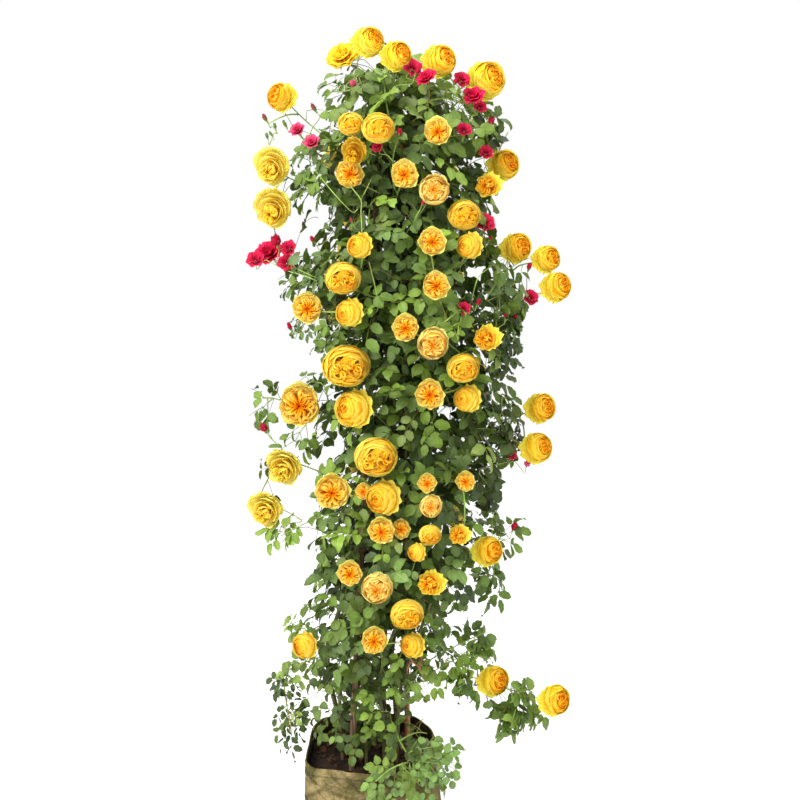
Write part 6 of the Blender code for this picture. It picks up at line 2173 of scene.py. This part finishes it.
def soil_mesh():
    """The potting mix: crumbs and lumps, bark chips and a few dry leaves."""
    count = 120
    turn = np.arange(count) * math.tau / count
    inset = BAG_WALL + SOIL_GAP + 0.001
    rows = []
    for z, extra in ((0.006, 0.012), (0.016, 0.0), (0.10, 0.0), (0.20, 0.0), (0.26, 0.0), (SOIL_TOP - 0.006, 0.0)):
        flat = np.array([bag_outline(a, z / BAG_HEIGHT, inset + extra) for a in turn])
        if z == 0.006:
            for share in (0.0005, 0.5, 0.97):
                rows.append(np.column_stack((flat * share, np.full(count, z))))
        rows.append(np.column_stack((flat, np.full(count, z))))
    edge = np.array([bag_outline(a, SOIL_TOP / BAG_HEIGHT, inset) for a in turn])
    for share in np.concatenate((np.linspace(0.995, 0.10, 42), (0.05, 0.0005))):
        flat = edge * share
        rows.append(np.column_stack((flat, soil_height(flat[:, 0], flat[:, 1]))))
    soup = Soup()
    faces, local = grid_faces(len(rows), count, ring=True)
    place = np.array(rows)
    shade = 1 + 0.35 * ripple(place, make_waves(23, 20.0, 120.0, 12))
    soup.add(place.reshape(1, -1, 3), faces, local, (shade[..., None] * np.array((0.95, 0.93, 0.9))).reshape(1, -1, 3))
    rnd = random.Random(31)
    chip_faces, chip_local = grid_faces(5, 6, ring=True)
    blocks, tints = [], []
    while len(blocks) < 300:
        a, share = rnd.uniform(0, math.tau), math.sqrt(rnd.random()) * 0.95
        x, y = bag_outline(a, SOIL_TOP / BAG_HEIGHT, inset + 0.008)
        x, y = x * share, y * share
        at = np.array((x, y, float(soil_height(np.array(x), np.array(y))) + 0.0004))
        long, wide, thick = rnd.uniform(0.004, 0.013), rnd.uniform(0.002, 0.006), rnd.uniform(0.0008, 0.0022)
        way = unit((math.cos(a * 7 + share), math.sin(a * 7 + share), rnd.uniform(-0.25, 0.25)))
        side = unit(np.cross((0, 0, 1), way))
        side = unit(side + np.array((0, 0, rnd.uniform(-0.3, 0.3))))
        up = np.cross(way, side)
        block = []
        for along, size in ((-1.0, 0.05), (-0.9, 0.85), (0.1, 1.0), (0.85, 0.75), (1.0, 0.05)):
            for k in range(6):
                b = k * math.tau / 6
                f = size * rnd.uniform(0.75, 1.15)
                block.append(at + way * along * long + side * math.cos(b) * wide * f + up * math.sin(b) * thick * f)
        blocks.append(block)
        base = rnd.choice(((1.8, 1.7, 1.5), (2.4, 2.0, 1.6), (1.3, 1.2, 1.1), (3.2, 2.8, 2.2)))
        tints.append([np.array(base) * rnd.uniform(0.7, 1.2)] * 30)
    soup.add(np.array(blocks), chip_faces, chip_local, np.array(tints))
    base, way, look, size = [], [], [], []
    for k in range(26):
        a, share = rnd.uniform(0, math.tau), 0.2 + 0.7 * rnd.random()
        x, y = bag_outline(a, SOIL_TOP / BAG_HEIGHT, inset + 0.02)
        x, y = x * share, y * share
        base.append((x, y, float(soil_height(np.array(x), np.array(y))) + 0.004))
        way.append((math.cos(5 * a), math.sin(5 * a), 0.05))
        look.append((rnd.uniform(-0.3, 0.3), rnd.uniform(-0.3, 0.3), 1.0))
        size.append(rnd.uniform(0.018, 0.034))
    size = np.array(size)
    verts = leaflet_grid(
        np.array(base), np.array([unit(w) for w in way]), np.array([unit(w) for w in look]), size, size * 0.7,
        np.full(26, 0.5), np.full(26, -0.15), np.full(26, 0.5), np.arange(26.0),
    )
    dry = np.array([(3.2, 2.6, 1.8), (2.4, 1.9, 1.3), (5.4, 4.6, 2.3)])[np.arange(26) % 3]
    soup.add(verts, LEAF_FACES, LEAF_LOCAL, np.repeat(dry[:, None], verts.shape[1], axis=1))
    return make_mesh("potting_mix_surface", soup)


def stake_mesh(name, stake, kind, seed):
    """A rough wooden post or a jointed bamboo cane."""
    a, b, r = stake["a"], stake["b"], stake["r"]
    long = float(np.linalg.norm(b - a))
    way = unit(b - a)
    side = unit(np.cross(way, (0.3, 0.9, 0.1)))
    other = np.cross(way, side)
    rnd = random.Random(seed)
    sides, spots, shade = 20, [], []
    if kind == "bamboo":
        knots, s = [], 0.06
        while s < long:
            knots.append(s)
            s += rnd.uniform(0.17, 0.23)
        spots = sorted(set([0.0, long] + [k * long / 70 for k in range(71)] + [s + d for s in knots for d in (-0.006, -0.003, -0.0012, 0.0, 0.0012, 0.003, 0.007) if 0 < s + d < long]))
        radii = []
        for s in spots:
            near = min((abs(s - k), s - k) for k in knots)
            f = 1 - 0.14 * s / long
            f += 0.13 * math.exp(-((near[0] / 0.0032) ** 2)) - 0.10 * math.exp(-(((near[1] + 0.0006) / 0.0008) ** 2))
            radii.append(r * f * 0.98)
            shade.append(1 - 0.45 * math.exp(-(((near[1]) / 0.0022) ** 2)) + 0.22 * math.exp(-(((near[1] - 0.006) / 0.004) ** 2)))
        rough = 0.0
    else:
        spots = [k * long / 240 for k in range(241)]
        radii = [r * (1 - 0.18 * s / long) * 0.97 for s in spots]
        shade = [1.0 + 0.12 * math.sin(s * 21 + seed) for s in spots]
        rough = 0.0011
    rows, tints = [], []
    turn = np.arange(sides) * math.tau / sides
    ringed = side * np.cos(turn)[:, None] + other * np.sin(turn)[:, None]
    grain = make_waves(seed, 1.5, 9.0, 10)
    for s, radius, tone in zip(spots, radii, shade):
        p = a + way * s
        if rough:
            stretched = ringed * 0.8 + np.array((0, 0, s * 1.3))
            bark = ripple(stretched, grain)
            radius = radius + rough * bark
            tint = np.clip(tone * (1 + 0.28 * bark), 0.35, 1.6)[:, None] * np.array((1, 1, 1))
        else:
            tint = np.repeat(np.array([[tone, tone, tone]]), sides, axis=0)
            radius = np.full(sides, radius)
        rows.append(p + ringed * np.reshape(radius, (-1, 1)))
        tints.append(tint)
    # the sawn top, and for bamboo its hollow, whose inside is painted dark as shade
    end = a + way * long
    tip = float(np.mean(np.linalg.norm(rows[-1] - end, axis=1)))
    closing = ((0.96, 0.0006, 1.5), (0.60, 0.0006, 1.6), (0.55, -0.02, 0.4), (0.01, -0.02, 0.3)) if kind == "bamboo" else ((0.95, 0.0008, 1.4), (0.5, 0.0012, 1.5), (0.01, 0.0014, 1.2))
    for share, lift, tone in closing:
        rows.append(end + way * lift + ringed * tip * share)
        tints.append(np.full((sides, 3), tone))
    rows = [a - way * 0.0002 + ringed * tip * 0.01] + rows
    tints = [tints[0]] + tints
    faces, local = grid_faces(len(rows), sides, ring=True)
    soup = Soup()
    soup.add(np.array(rows).reshape(1, -1, 3), faces, local, np.array(tints).reshape(1, -1, 3))
    if kind != "bamboo":
        for k in range(5):
            s = long * (0.14 + 0.17 * k) + rnd.uniform(-0.04, 0.04)
            spin = rnd.uniform(0, math.tau)
            out = side * math.cos(spin) + other * math.sin(spin)
            p = a + way * s + out * r * 0.55
            add_tube(soup, [p, p + out * 0.004 + way * 0.001, p + out * 0.0075 + way * 0.003], (0.0050, 0.0042, 0.0030), np.array((0.7, 0.7, 0.7)), 8)
    return make_mesh(name, soup)


def tie_mesh(name, tie):
    """Twisted two-ply twine round a stake and a cane, with a small knot."""
    soup = Soup()
    loop = np.array(tie["pts"])
    middle = loop.mean(0)
    count = 110
    for lap, lift in ((0, -0.0017), (1, 0.0017)):
        t = np.arange(count + 1) / count * len(loop)
        j = np.floor(t).astype(int) % len(loop)
        f = (t - np.floor(t))[:, None]
        p0, p1, p2, p3 = (loop[(j + k) % len(loop)] for k in (-1, 0, 1, 2))
        path = 0.5 * (2 * p1 + (p2 - p0) * f + (2 * p0 - 5 * p1 + 4 * p2 - p3) * f**2 + (3 * p1 - p0 - 3 * p2 + p3) * f**3)
        path = middle + (path - middle) * (1.0, 1.0, 1.0)
        path[:, 2] += lift + 0.0012 * np.sin(t / len(loop) * math.tau + lap)
        twist_tube(soup, path, 0.0015, 0.0045)
    knot = loop[np.argmin(loop[:, 1])]
    out = unit((knot[0] - middle[0], knot[1] - middle[1], 0.0))
    cross = np.array((-out[1], out[0], 0.0))
    ring = [knot + out * 0.0016 + (cross * math.cos(a) + np.array((0, 0, 1)) * math.sin(a)) * 0.0034 for a in np.linspace(0, math.tau * 1.2, 16)]
    twist_tube(soup, np.array(ring), 0.0015, 0.0045)
    for sign, drop in ((1, 0.020), (-1, 0.026)):
        end = [knot + out * 0.002 + cross * sign * 0.002, knot + out * 0.0045 + cross * sign * 0.006 + np.array((0, 0, -0.004)), knot + out * 0.004 + cross * sign * 0.009 + np.array((0, 0, -drop))]
        twist_tube(soup, smooth_path(end, 8), 0.0014, 0.0045)
    return make_mesh(name, soup)


def twist_tube(soup, path, radius, pitch):
    """Two plies laid round each other along a path."""
    along = np.gradient(path, axis=0)
    along /= np.maximum(np.linalg.norm(along, axis=1), 1e-12)[:, None]
    side = np.cross(along, (0.02, 0.05, 1.0))
    side /= np.maximum(np.linalg.norm(side, axis=1), 1e-12)[:, None]
    other = np.cross(along, side)
    reach = np.concatenate(((0.0,), np.cumsum(np.linalg.norm(np.diff(path, axis=0), axis=1))))
    for ply in (0.0, math.pi):
        spin = (reach / pitch * math.tau + ply)[:, None]
        line = path + (side * np.cos(spin) + other * np.sin(spin)) * radius * 0.46
        add_tube(soup, line, (radius * 0.56,) * 2, np.array((1.0, 1.0, 1.0)), 5)


# ------------------------------------------------------------------ materials
class Look:
    """A material and the nodes that make it up."""

    def __init__(self, name):
        self.mat = bpy.data.materials.new(name)
        self.mat.use_nodes = True
        self.tree = self.mat.node_tree
        self.shader = self.tree.nodes["Principled BSDF"]
        self.out = self.tree.nodes["Material Output"]

    def node(self, kind, **settings):
        node = self.tree.nodes.new("ShaderNode" + kind)
        for key, value in settings.items():
            setattr(node, key, value)
        return node

    def link(self, a, b):
        if hasattr(a, "links"):
            self.tree.links.new(a, b)
        else:
            b.default_value = a

    def math(self, operation, a, b=0.0, clamp=False):
        node = self.node("Math", operation=operation, use_clamp=clamp)
        self.link(a, node.inputs[0])
        self.link(b, node.inputs[1])
        return node.outputs[0]

    def span(self, value, low, high, to_low=0.0, to_high=1.0):
        node = self.node("MapRange", interpolation_type="SMOOTHSTEP")
        for k, v in enumerate((value, low, high, to_low, to_high)):
            self.link(v, node.inputs[k])
        return node.outputs[0]

    def blend(self, share, a, b, kind="MIX"):
        node = self.node("Mix", data_type="RGBA", blend_type=kind)
        self.link(share, node.inputs[0])
        for value, socket in ((a, node.inputs[6]), (b, node.inputs[7])):
            self.link((*value, 1.0) if isinstance(value, (tuple, list, np.ndarray)) else value, socket)
        return node.outputs[2]

    def place(self, scale=(1.0, 1.0, 1.0), uv=None):
        source = self.node("UVMap", uv_map=uv).outputs[0] if uv else self.node("TexCoord").outputs["Object"]
        node = self.node("Mapping")
        self.link(source, node.inputs["Vector"])
        node.inputs["Scale"].default_value = scale
        return node.outputs[0]

    def noise(self, vector, scale, detail=3.0, rough=0.55, distortion=0.0):
        node = self.node("TexNoise")
        self.link(vector, node.inputs["Vector"])
        for key, value in (("Scale", scale), ("Detail", detail), ("Roughness", rough), ("Distortion", distortion)):
            node.inputs[key].default_value = value
        return node.outputs[0]

    def tint(self):
        return self.node("Attribute", attribute_name="tint").outputs["Color"]

    def vary(self, colour, value, low, high):
        """colour made darker or lighter as value goes from 0 to 1."""
        node = self.node("HueSaturation")
        self.link(colour, node.inputs["Color"])
        self.link(self.span(value, 0.25, 0.75, low, high), node.inputs["Value"])
        return node.outputs[0]

    def bump(self, height, strength, distance, under=None):
        node = self.node("Bump")
        node.inputs["Strength"].default_value = strength
        node.inputs["Distance"].default_value = distance
        self.link(height, node.inputs["Height"])
        if under is not None:
            self.link(under, node.inputs["Normal"])
        return node.outputs[0]

    def finish(self, colour, rough, normal=None, specular=0.5, through=0.0, glow=None):
        self.link(colour, self.shader.inputs["Base Color"])
        self.link(rough, self.shader.inputs["Roughness"])
        self.shader.inputs["Specular IOR Level"].default_value = specular
        if normal is not None:
            self.link(normal, self.shader.inputs["Normal"])
        if through:
            thin = self.node("BsdfTranslucent")
            self.link(glow if glow is not None else colour, thin.inputs["Color"])
            if normal is not None:
                self.link(normal, thin.inputs["Normal"])
            both = self.node("MixShader")
            both.inputs[0].default_value = through
            self.link(self.shader.outputs[0], both.inputs[1])
            self.link(thin.outputs[0], both.inputs[2])
            self.link(both.outputs[0], self.out.inputs["Surface"])
        return self.mat


def petal_look(name, vein):
    look = Look(name)
    spread = look.node("CombineXYZ")
    local = look.node("SeparateXYZ")
    look.link(look.place(uv="local"), local.inputs[0])
    drift = look.noise(look.place(), 9.0, 1.0)
    look.link(look.math("MULTIPLY", local.outputs[0], 15.0), spread.inputs[0])
    look.link(look.math("MULTIPLY", local.outputs[1], 1.6), spread.inputs[1])
    look.link(look.math("MULTIPLY", drift, 14.0), spread.inputs[2])
    streak = look.noise(spread.outputs[0], 1.0, 2.0, 0.5, 0.25)
    colour = look.vary(look.tint(), streak, 0.93, 1.05)
    # the rim of each petal a little paler, and now and then bruised
    rim = look.span(local.outputs[1], 0.86, 1.0)
    colour = look.blend(look.math("MULTIPLY", rim, 0.30), colour, vein)
    spots = look.span(look.noise(look.place(), 160.0, 2.0), 0.70, 0.80)
    colour = look.blend(look.math("MULTIPLY", look.math("MULTIPLY", spots, rim), 0.16), colour, (0.50, 0.22, 0.05))
    fine = look.bump(streak, 0.35, 0.0006)
    rough = look.span(streak, 0.3, 0.7, 0.52, 0.64)
    return look.finish(colour, rough, fine, 0.08, 0.34)


def leaf_look():
    look = Look("rose_leaf")
    local = look.node("SeparateXYZ")
    look.link(look.place(uv="local"), local.inputs[0])
    off = look.math("ABSOLUTE", look.math("SUBTRACT", local.outputs[0], 0.5))
    rib = look.span(off, 0.010, 0.045, 1.0, 0.0)
    run = look.math("SUBTRACT", look.math("MULTIPLY", local.outputs[1], 8.0), look.math("MULTIPLY", off, 3.4))
    saw = look.math("ABSOLUTE", look.math("SUBTRACT", look.math("FRACT", run), 0.5))
    vein = look.span(saw, 0.36, 0.49)
    coarse = look.noise(look.place(), 55.0, 3.0)
    fine = look.noise(look.place(), 420.0, 2.0)
    colour = look.vary(look.tint(), coarse, 0.84, 1.14)
    colour = look.vary(colour, vein, 1.0, 1.12)
    colour = look.vary(colour, rib, 1.0, 1.42)
    edge = look.span(off, 0.44, 0.50)
    colour = look.vary(colour, edge, 1.0, 1.08)
    height = look.math("ADD", look.math("MULTIPLY", vein, -0.5), look.math("ADD", look.math("MULTIPLY", rib, -0.9), look.math("MULTIPLY", fine, 0.35)))
    normal = look.bump(height, 0.55, 0.0009)
    rough = look.span(coarse, 0.25, 0.75, 0.40, 0.54)
    glow = look.blend(1.0, colour, (1.25, 1.20, 0.45), "MULTIPLY")
    return look.finish(colour, rough, normal, 0.36, 0.15, glow)


def stem_look(name, blush, share):
    look = Look(name)
    along = look.noise(look.place((1.0, 1.0, 0.25)), 130.0, 3.0)
    patch = look.noise(look.place(), 18.0, 2.0)
    colour = look.vary(look.tint(), along, 0.78, 1.18)
    colour = look.blend(look.math("MULTIPLY", look.span(patch, 0.48, 0.70), share), colour, blush)
    dots = look.span(look.noise(look.place(), 700.0, 1.0), 0.66, 0.74)
    colour = look.blend(look.math("MULTIPLY", dots, 0.35), colour, (0.42, 0.36, 0.20))
    normal = look.bump(along, 0.4, 0.0008)
    return look.finish(colour, look.span(along, 0.3, 0.7, 0.42, 0.58), normal, 0.4)


def cloth_look():
    look = Look("coarse_bag_cloth")
    local = look.node("SeparateXYZ")
    look.link(look.place(uv="local"), local.inputs[0])
    wobble = look.noise(look.place(), 60.0, 2.0)
    warp = look.math("SINE", look.math("ADD", look.math("MULTIPLY", local.outputs[0], math.tau * 460), look.math("MULTIPLY", wobble, 5.0)))
    weft = look.math("SINE", look.math("ADD", look.math("MULTIPLY", local.outputs[1], math.tau * 330), look.math("MULTIPLY", wobble, 5.0)))
    weave = look.math("MULTIPLY", warp, weft)
    slub = look.noise(look.place((1.0, 1.0, 9.0)), 90.0, 3.0)
    yarn = look.noise(look.place((7.0, 7.0, 1.0)), 60.0, 3.0)
    fuzz = look.noise(look.place(), 1300.0, 2.0)
    broad = look.noise(look.place((1.0, 1.0, 1.6)), 7.5, 4.0, 0.6, 0.6)
    blotch = look.noise(look.place((1.0, 1.0, 1.2)), 19.0, 4.0, 0.65, 0.4)
    streak = look.noise(look.place((0.6, 0.6, 1.0)), 34.0, 5.0, 0.7, 1.4)
    colour = look.blend(look.span(broad, 0.36, 0.64), linear("#95855A"), linear("#6E5C38"))
    colour = look.blend(look.math("MULTIPLY", look.span(blotch, 0.52, 0.66), 0.62), colour, linear("#4E4A2A"))
    colour = look.blend(look.math("MULTIPLY", look.span(streak, 0.56, 0.68), 0.50), colour, linear("#372F1E"))
    colour = look.blend(look.math("MULTIPLY", look.span(streak, 0.44, 0.28), 0.40), colour, linear("#A4986C"))
    where = look.node("SeparateXYZ")
    look.link(look.place(), where.inputs[0])
    # moss at the right, laid where the overhanging leaves shade the wall, so it is partly painted shade
    right = look.math("MULTIPLY", look.span(where.outputs[0], 0.06, 0.19), look.span(blotch, 0.36, 0.60))
    colour = look.blend(look.math("MULTIPLY", right, 0.55), colour, linear("#6A6626"))
    # painted shade: a dark band under the rim, where the leaves hanging over it shade the cloth
    rim_shade_band = look.math("MULTIPLY", look.span(where.outputs[2], 0.18, 0.29), look.span(broad, 0.40, 0.62))
    colour = look.blend(look.math("MULTIPLY", rim_shade_band, 0.70), colour, linear("#3E421E"))
    # darker towards the bottom
    bottom_darkening = look.span(where.outputs[2], 0.05, 0.0)
    colour = look.blend(look.math("MULTIPLY", bottom_darkening, 0.45), colour, linear("#4A3F28"))
    # fine wrinkles: thin lines painted dark as their shade, with a soft ridge along them
    wrinkle = look.math("ABSOLUTE", look.math("SUBTRACT", look.noise(look.place((1.0, 1.0, 0.7)), 11.0, 2.0, 0.5, 1.1), 0.5))
    crinkle = look.math("ABSOLUTE", look.math("SUBTRACT", look.noise(look.place((0.8, 0.8, 1.2)), 27.0, 2.0, 0.5, 0.8), 0.5))
    line = look.span(wrinkle, 0.0, 0.030)
    thread = look.span(crinkle, 0.0, 0.034)
    colour = look.vary(colour, look.math("ADD", look.math("MULTIPLY", line, 0.5), 0.25), 0.70, 1.04)
    colour = look.vary(colour, look.math("ADD", look.math("MULTIPLY", thread, 0.5), 0.25), 0.84, 1.03)
    colour = look.vary(colour, slub, 0.80, 1.17)
    colour = look.vary(colour, yarn, 0.86, 1.12)
    colour = look.vary(colour, look.math("ADD", look.math("MULTIPLY", weave, 0.25), 0.5), 0.90, 1.07)
    colour = look.blend(1.0, colour, look.tint(), "MULTIPLY")
    height = look.math("ADD", look.math("MULTIPLY", weave, 0.55), look.math("ADD", look.math("MULTIPLY", slub, 0.8), look.math("MULTIPLY", fuzz, 0.4)))
    folded = look.math("ADD", look.span(wrinkle, 0.0, 0.09), look.math("MULTIPLY", look.span(crinkle, 0.0, 0.08), 0.4))
    normal = look.bump(height, 0.8, 0.0012, look.bump(folded, 0.7, 0.0035, look.bump(streak, 0.5, 0.003)))
    return look.finish(colour, look.span(slub, 0.2, 0.8, 0.86, 0.97), normal, 0.2)


def soil_look():
    look = Look("bark_and_peat")
    grit = look.noise(look.place(), 260.0, 5.0, 0.7)
    crumb = look.noise(look.place(), 70.0, 4.0, 0.65)
    colour = look.blend(look.span(crumb, 0.35, 0.65), linear("#22170F"), linear("#35251A"))
    colour = look.vary(colour, grit, 0.6, 1.5)
    colour = look.blend(1.0, colour, look.tint(), "MULTIPLY")
    normal = look.bump(grit, 1.0, 0.002, look.bump(crumb, 0.8, 0.004))
    return look.finish(colour, look.span(grit, 0.3, 0.7, 0.80, 0.98), normal, 0.25)


def wood_look(name, pale, dark, crack, stretch, strength):
    look = Look(name)
    grain = look.noise(look.place((1.0, 1.0, stretch)), 190.0, 4.0, 0.65, 0.5)
    patch = look.noise(look.place((1.0, 1.0, 0.5)), 22.0, 3.0)
    colour = look.blend(look.span(grain, 0.35, 0.65), pale, dark)
    colour = look.blend(look.math("MULTIPLY", look.span(grain, 0.60, 0.70), 0.8), colour, crack)
    colour = look.vary(colour, patch, 0.78, 1.22)
    colour = look.blend(1.0, colour, look.tint(), "MULTIPLY")
    normal = look.bump(grain, strength, 0.0012)
    return look.finish(colour, look.span(grain, 0.3, 0.7, 0.55, 0.85), normal, 0.3)


def twine_look():
    look = Look("jute_twine")
    fibre = look.noise(look.place((1.0, 1.0, 1.0)), 1100.0, 3.0, 0.7)
    colour = look.blend(look.span(fibre, 0.35, 0.65), linear("#A98C5A"), linear("#7A6038"))
    colour = look.blend(1.0, colour, look.tint(), "MULTIPLY")
    return look.finish(colour, look.span(fibre, 0.3, 0.7, 0.85, 0.95), look.bump(fibre, 0.8, 0.0008), 0.2)


# --------------------------------------------------------------------- pieces
def show(name, mesh, mat, node):
    mesh.materials.append(mat)
    piece = bpy.data.objects.new(name, mesh)
    bpy.context.scene.collection.objects.link(piece)
    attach(piece, "root")
    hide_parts(node)
    return piece


def main():
    looks = {
        "petal_yellow": petal_look("yellow_petal", (1.0, 0.79, 0.22)),
        "petal_crimson": petal_look("crimson_petal", (0.90, 0.16, 0.26)),
        "leaf": leaf_look(),
        "green_shoot": stem_look("young_shoot", (0.30, 0.11, 0.05), 0.35),
        "crimson_shoot": stem_look("crimson_rose_shoot", (0.34, 0.06, 0.04), 0.55),
        "cane_bark": stem_look("old_cane", (0.22, 0.13, 0.07), 0.70),
    }
    plant, soups = grow_visible()
    slots = {c["name"]: "cane_bark" for c in plant["canes"]}
    for (node, kind), soup in sorted(soups.items()):
        if not soup.cells:
            continue
        if kind == "leaves":
            slot = "leaf"
        elif kind == "blooms":
            slot = "petal_crimson" if node.startswith("crimson") else "petal_yellow"
        else:
            slot = slots.get(node, "crimson_shoot" if node.startswith("crimson") else "green_shoot")
        show(f"{node}_{kind}", make_mesh(f"{node}_{kind}", soup), looks[slot], node)
    show("grow_bag_cloth", bag_mesh(), cloth_look(), "grow_bag")
    show("potting_mix_surface", soil_mesh(), soil_look(), "potting_soil")
    wood = wood_look("weathered_post", linear("#8A6C54"), linear("#5E4534"), linear("#2C1E16"), 0.06, 0.9)
    bamboo = wood_look("bamboo_cane", linear("#B98458"), linear("#A06B42"), linear("#7A4C2C"), 0.03, 0.25)
    for i, stake in enumerate(plant["stakes"]):
        kind = "bamboo" if i == 1 else "wood"
        show(f"{stake['name']}_{kind}", stake_mesh(f"{stake['name']}_{kind}", stake, kind, 40 + i), bamboo if i == 1 else wood, stake["name"])
    twine = twine_look()
    for tie in plant["ties"]:
        show(f"{tie['name']}_twist", tie_mesh(f"{tie['name']}_twist", tie), twine, tie["name"])

    look = Look("studio_floor")
    grain = look.noise(look.place(), 3.0, 2.0)
    ground = look.finish(look.blend(grain, (0.955, 0.955, 0.95), (0.975, 0.975, 0.97)), 0.85, None, 0.1)
    mesh = bpy.data.meshes.new("floor")
    mesh.from_pydata([(-8, -8, -0.001), (8, -8, -0.001), (8, 8, -0.001), (-8, 8, -0.001)], [], [(0, 1, 2, 3)])
    mesh.materials.append(ground)
    floor = bpy.data.objects.new("floor", mesh)
    bpy.context.scene.collection.objects.link(floor)


main()
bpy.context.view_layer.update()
total = sum(len(p.vertices) - 2 for o in bpy.context.scene.objects if o.type == "MESH" and not o.hide_render for p in o.data.polygons)
print("triangles", total)
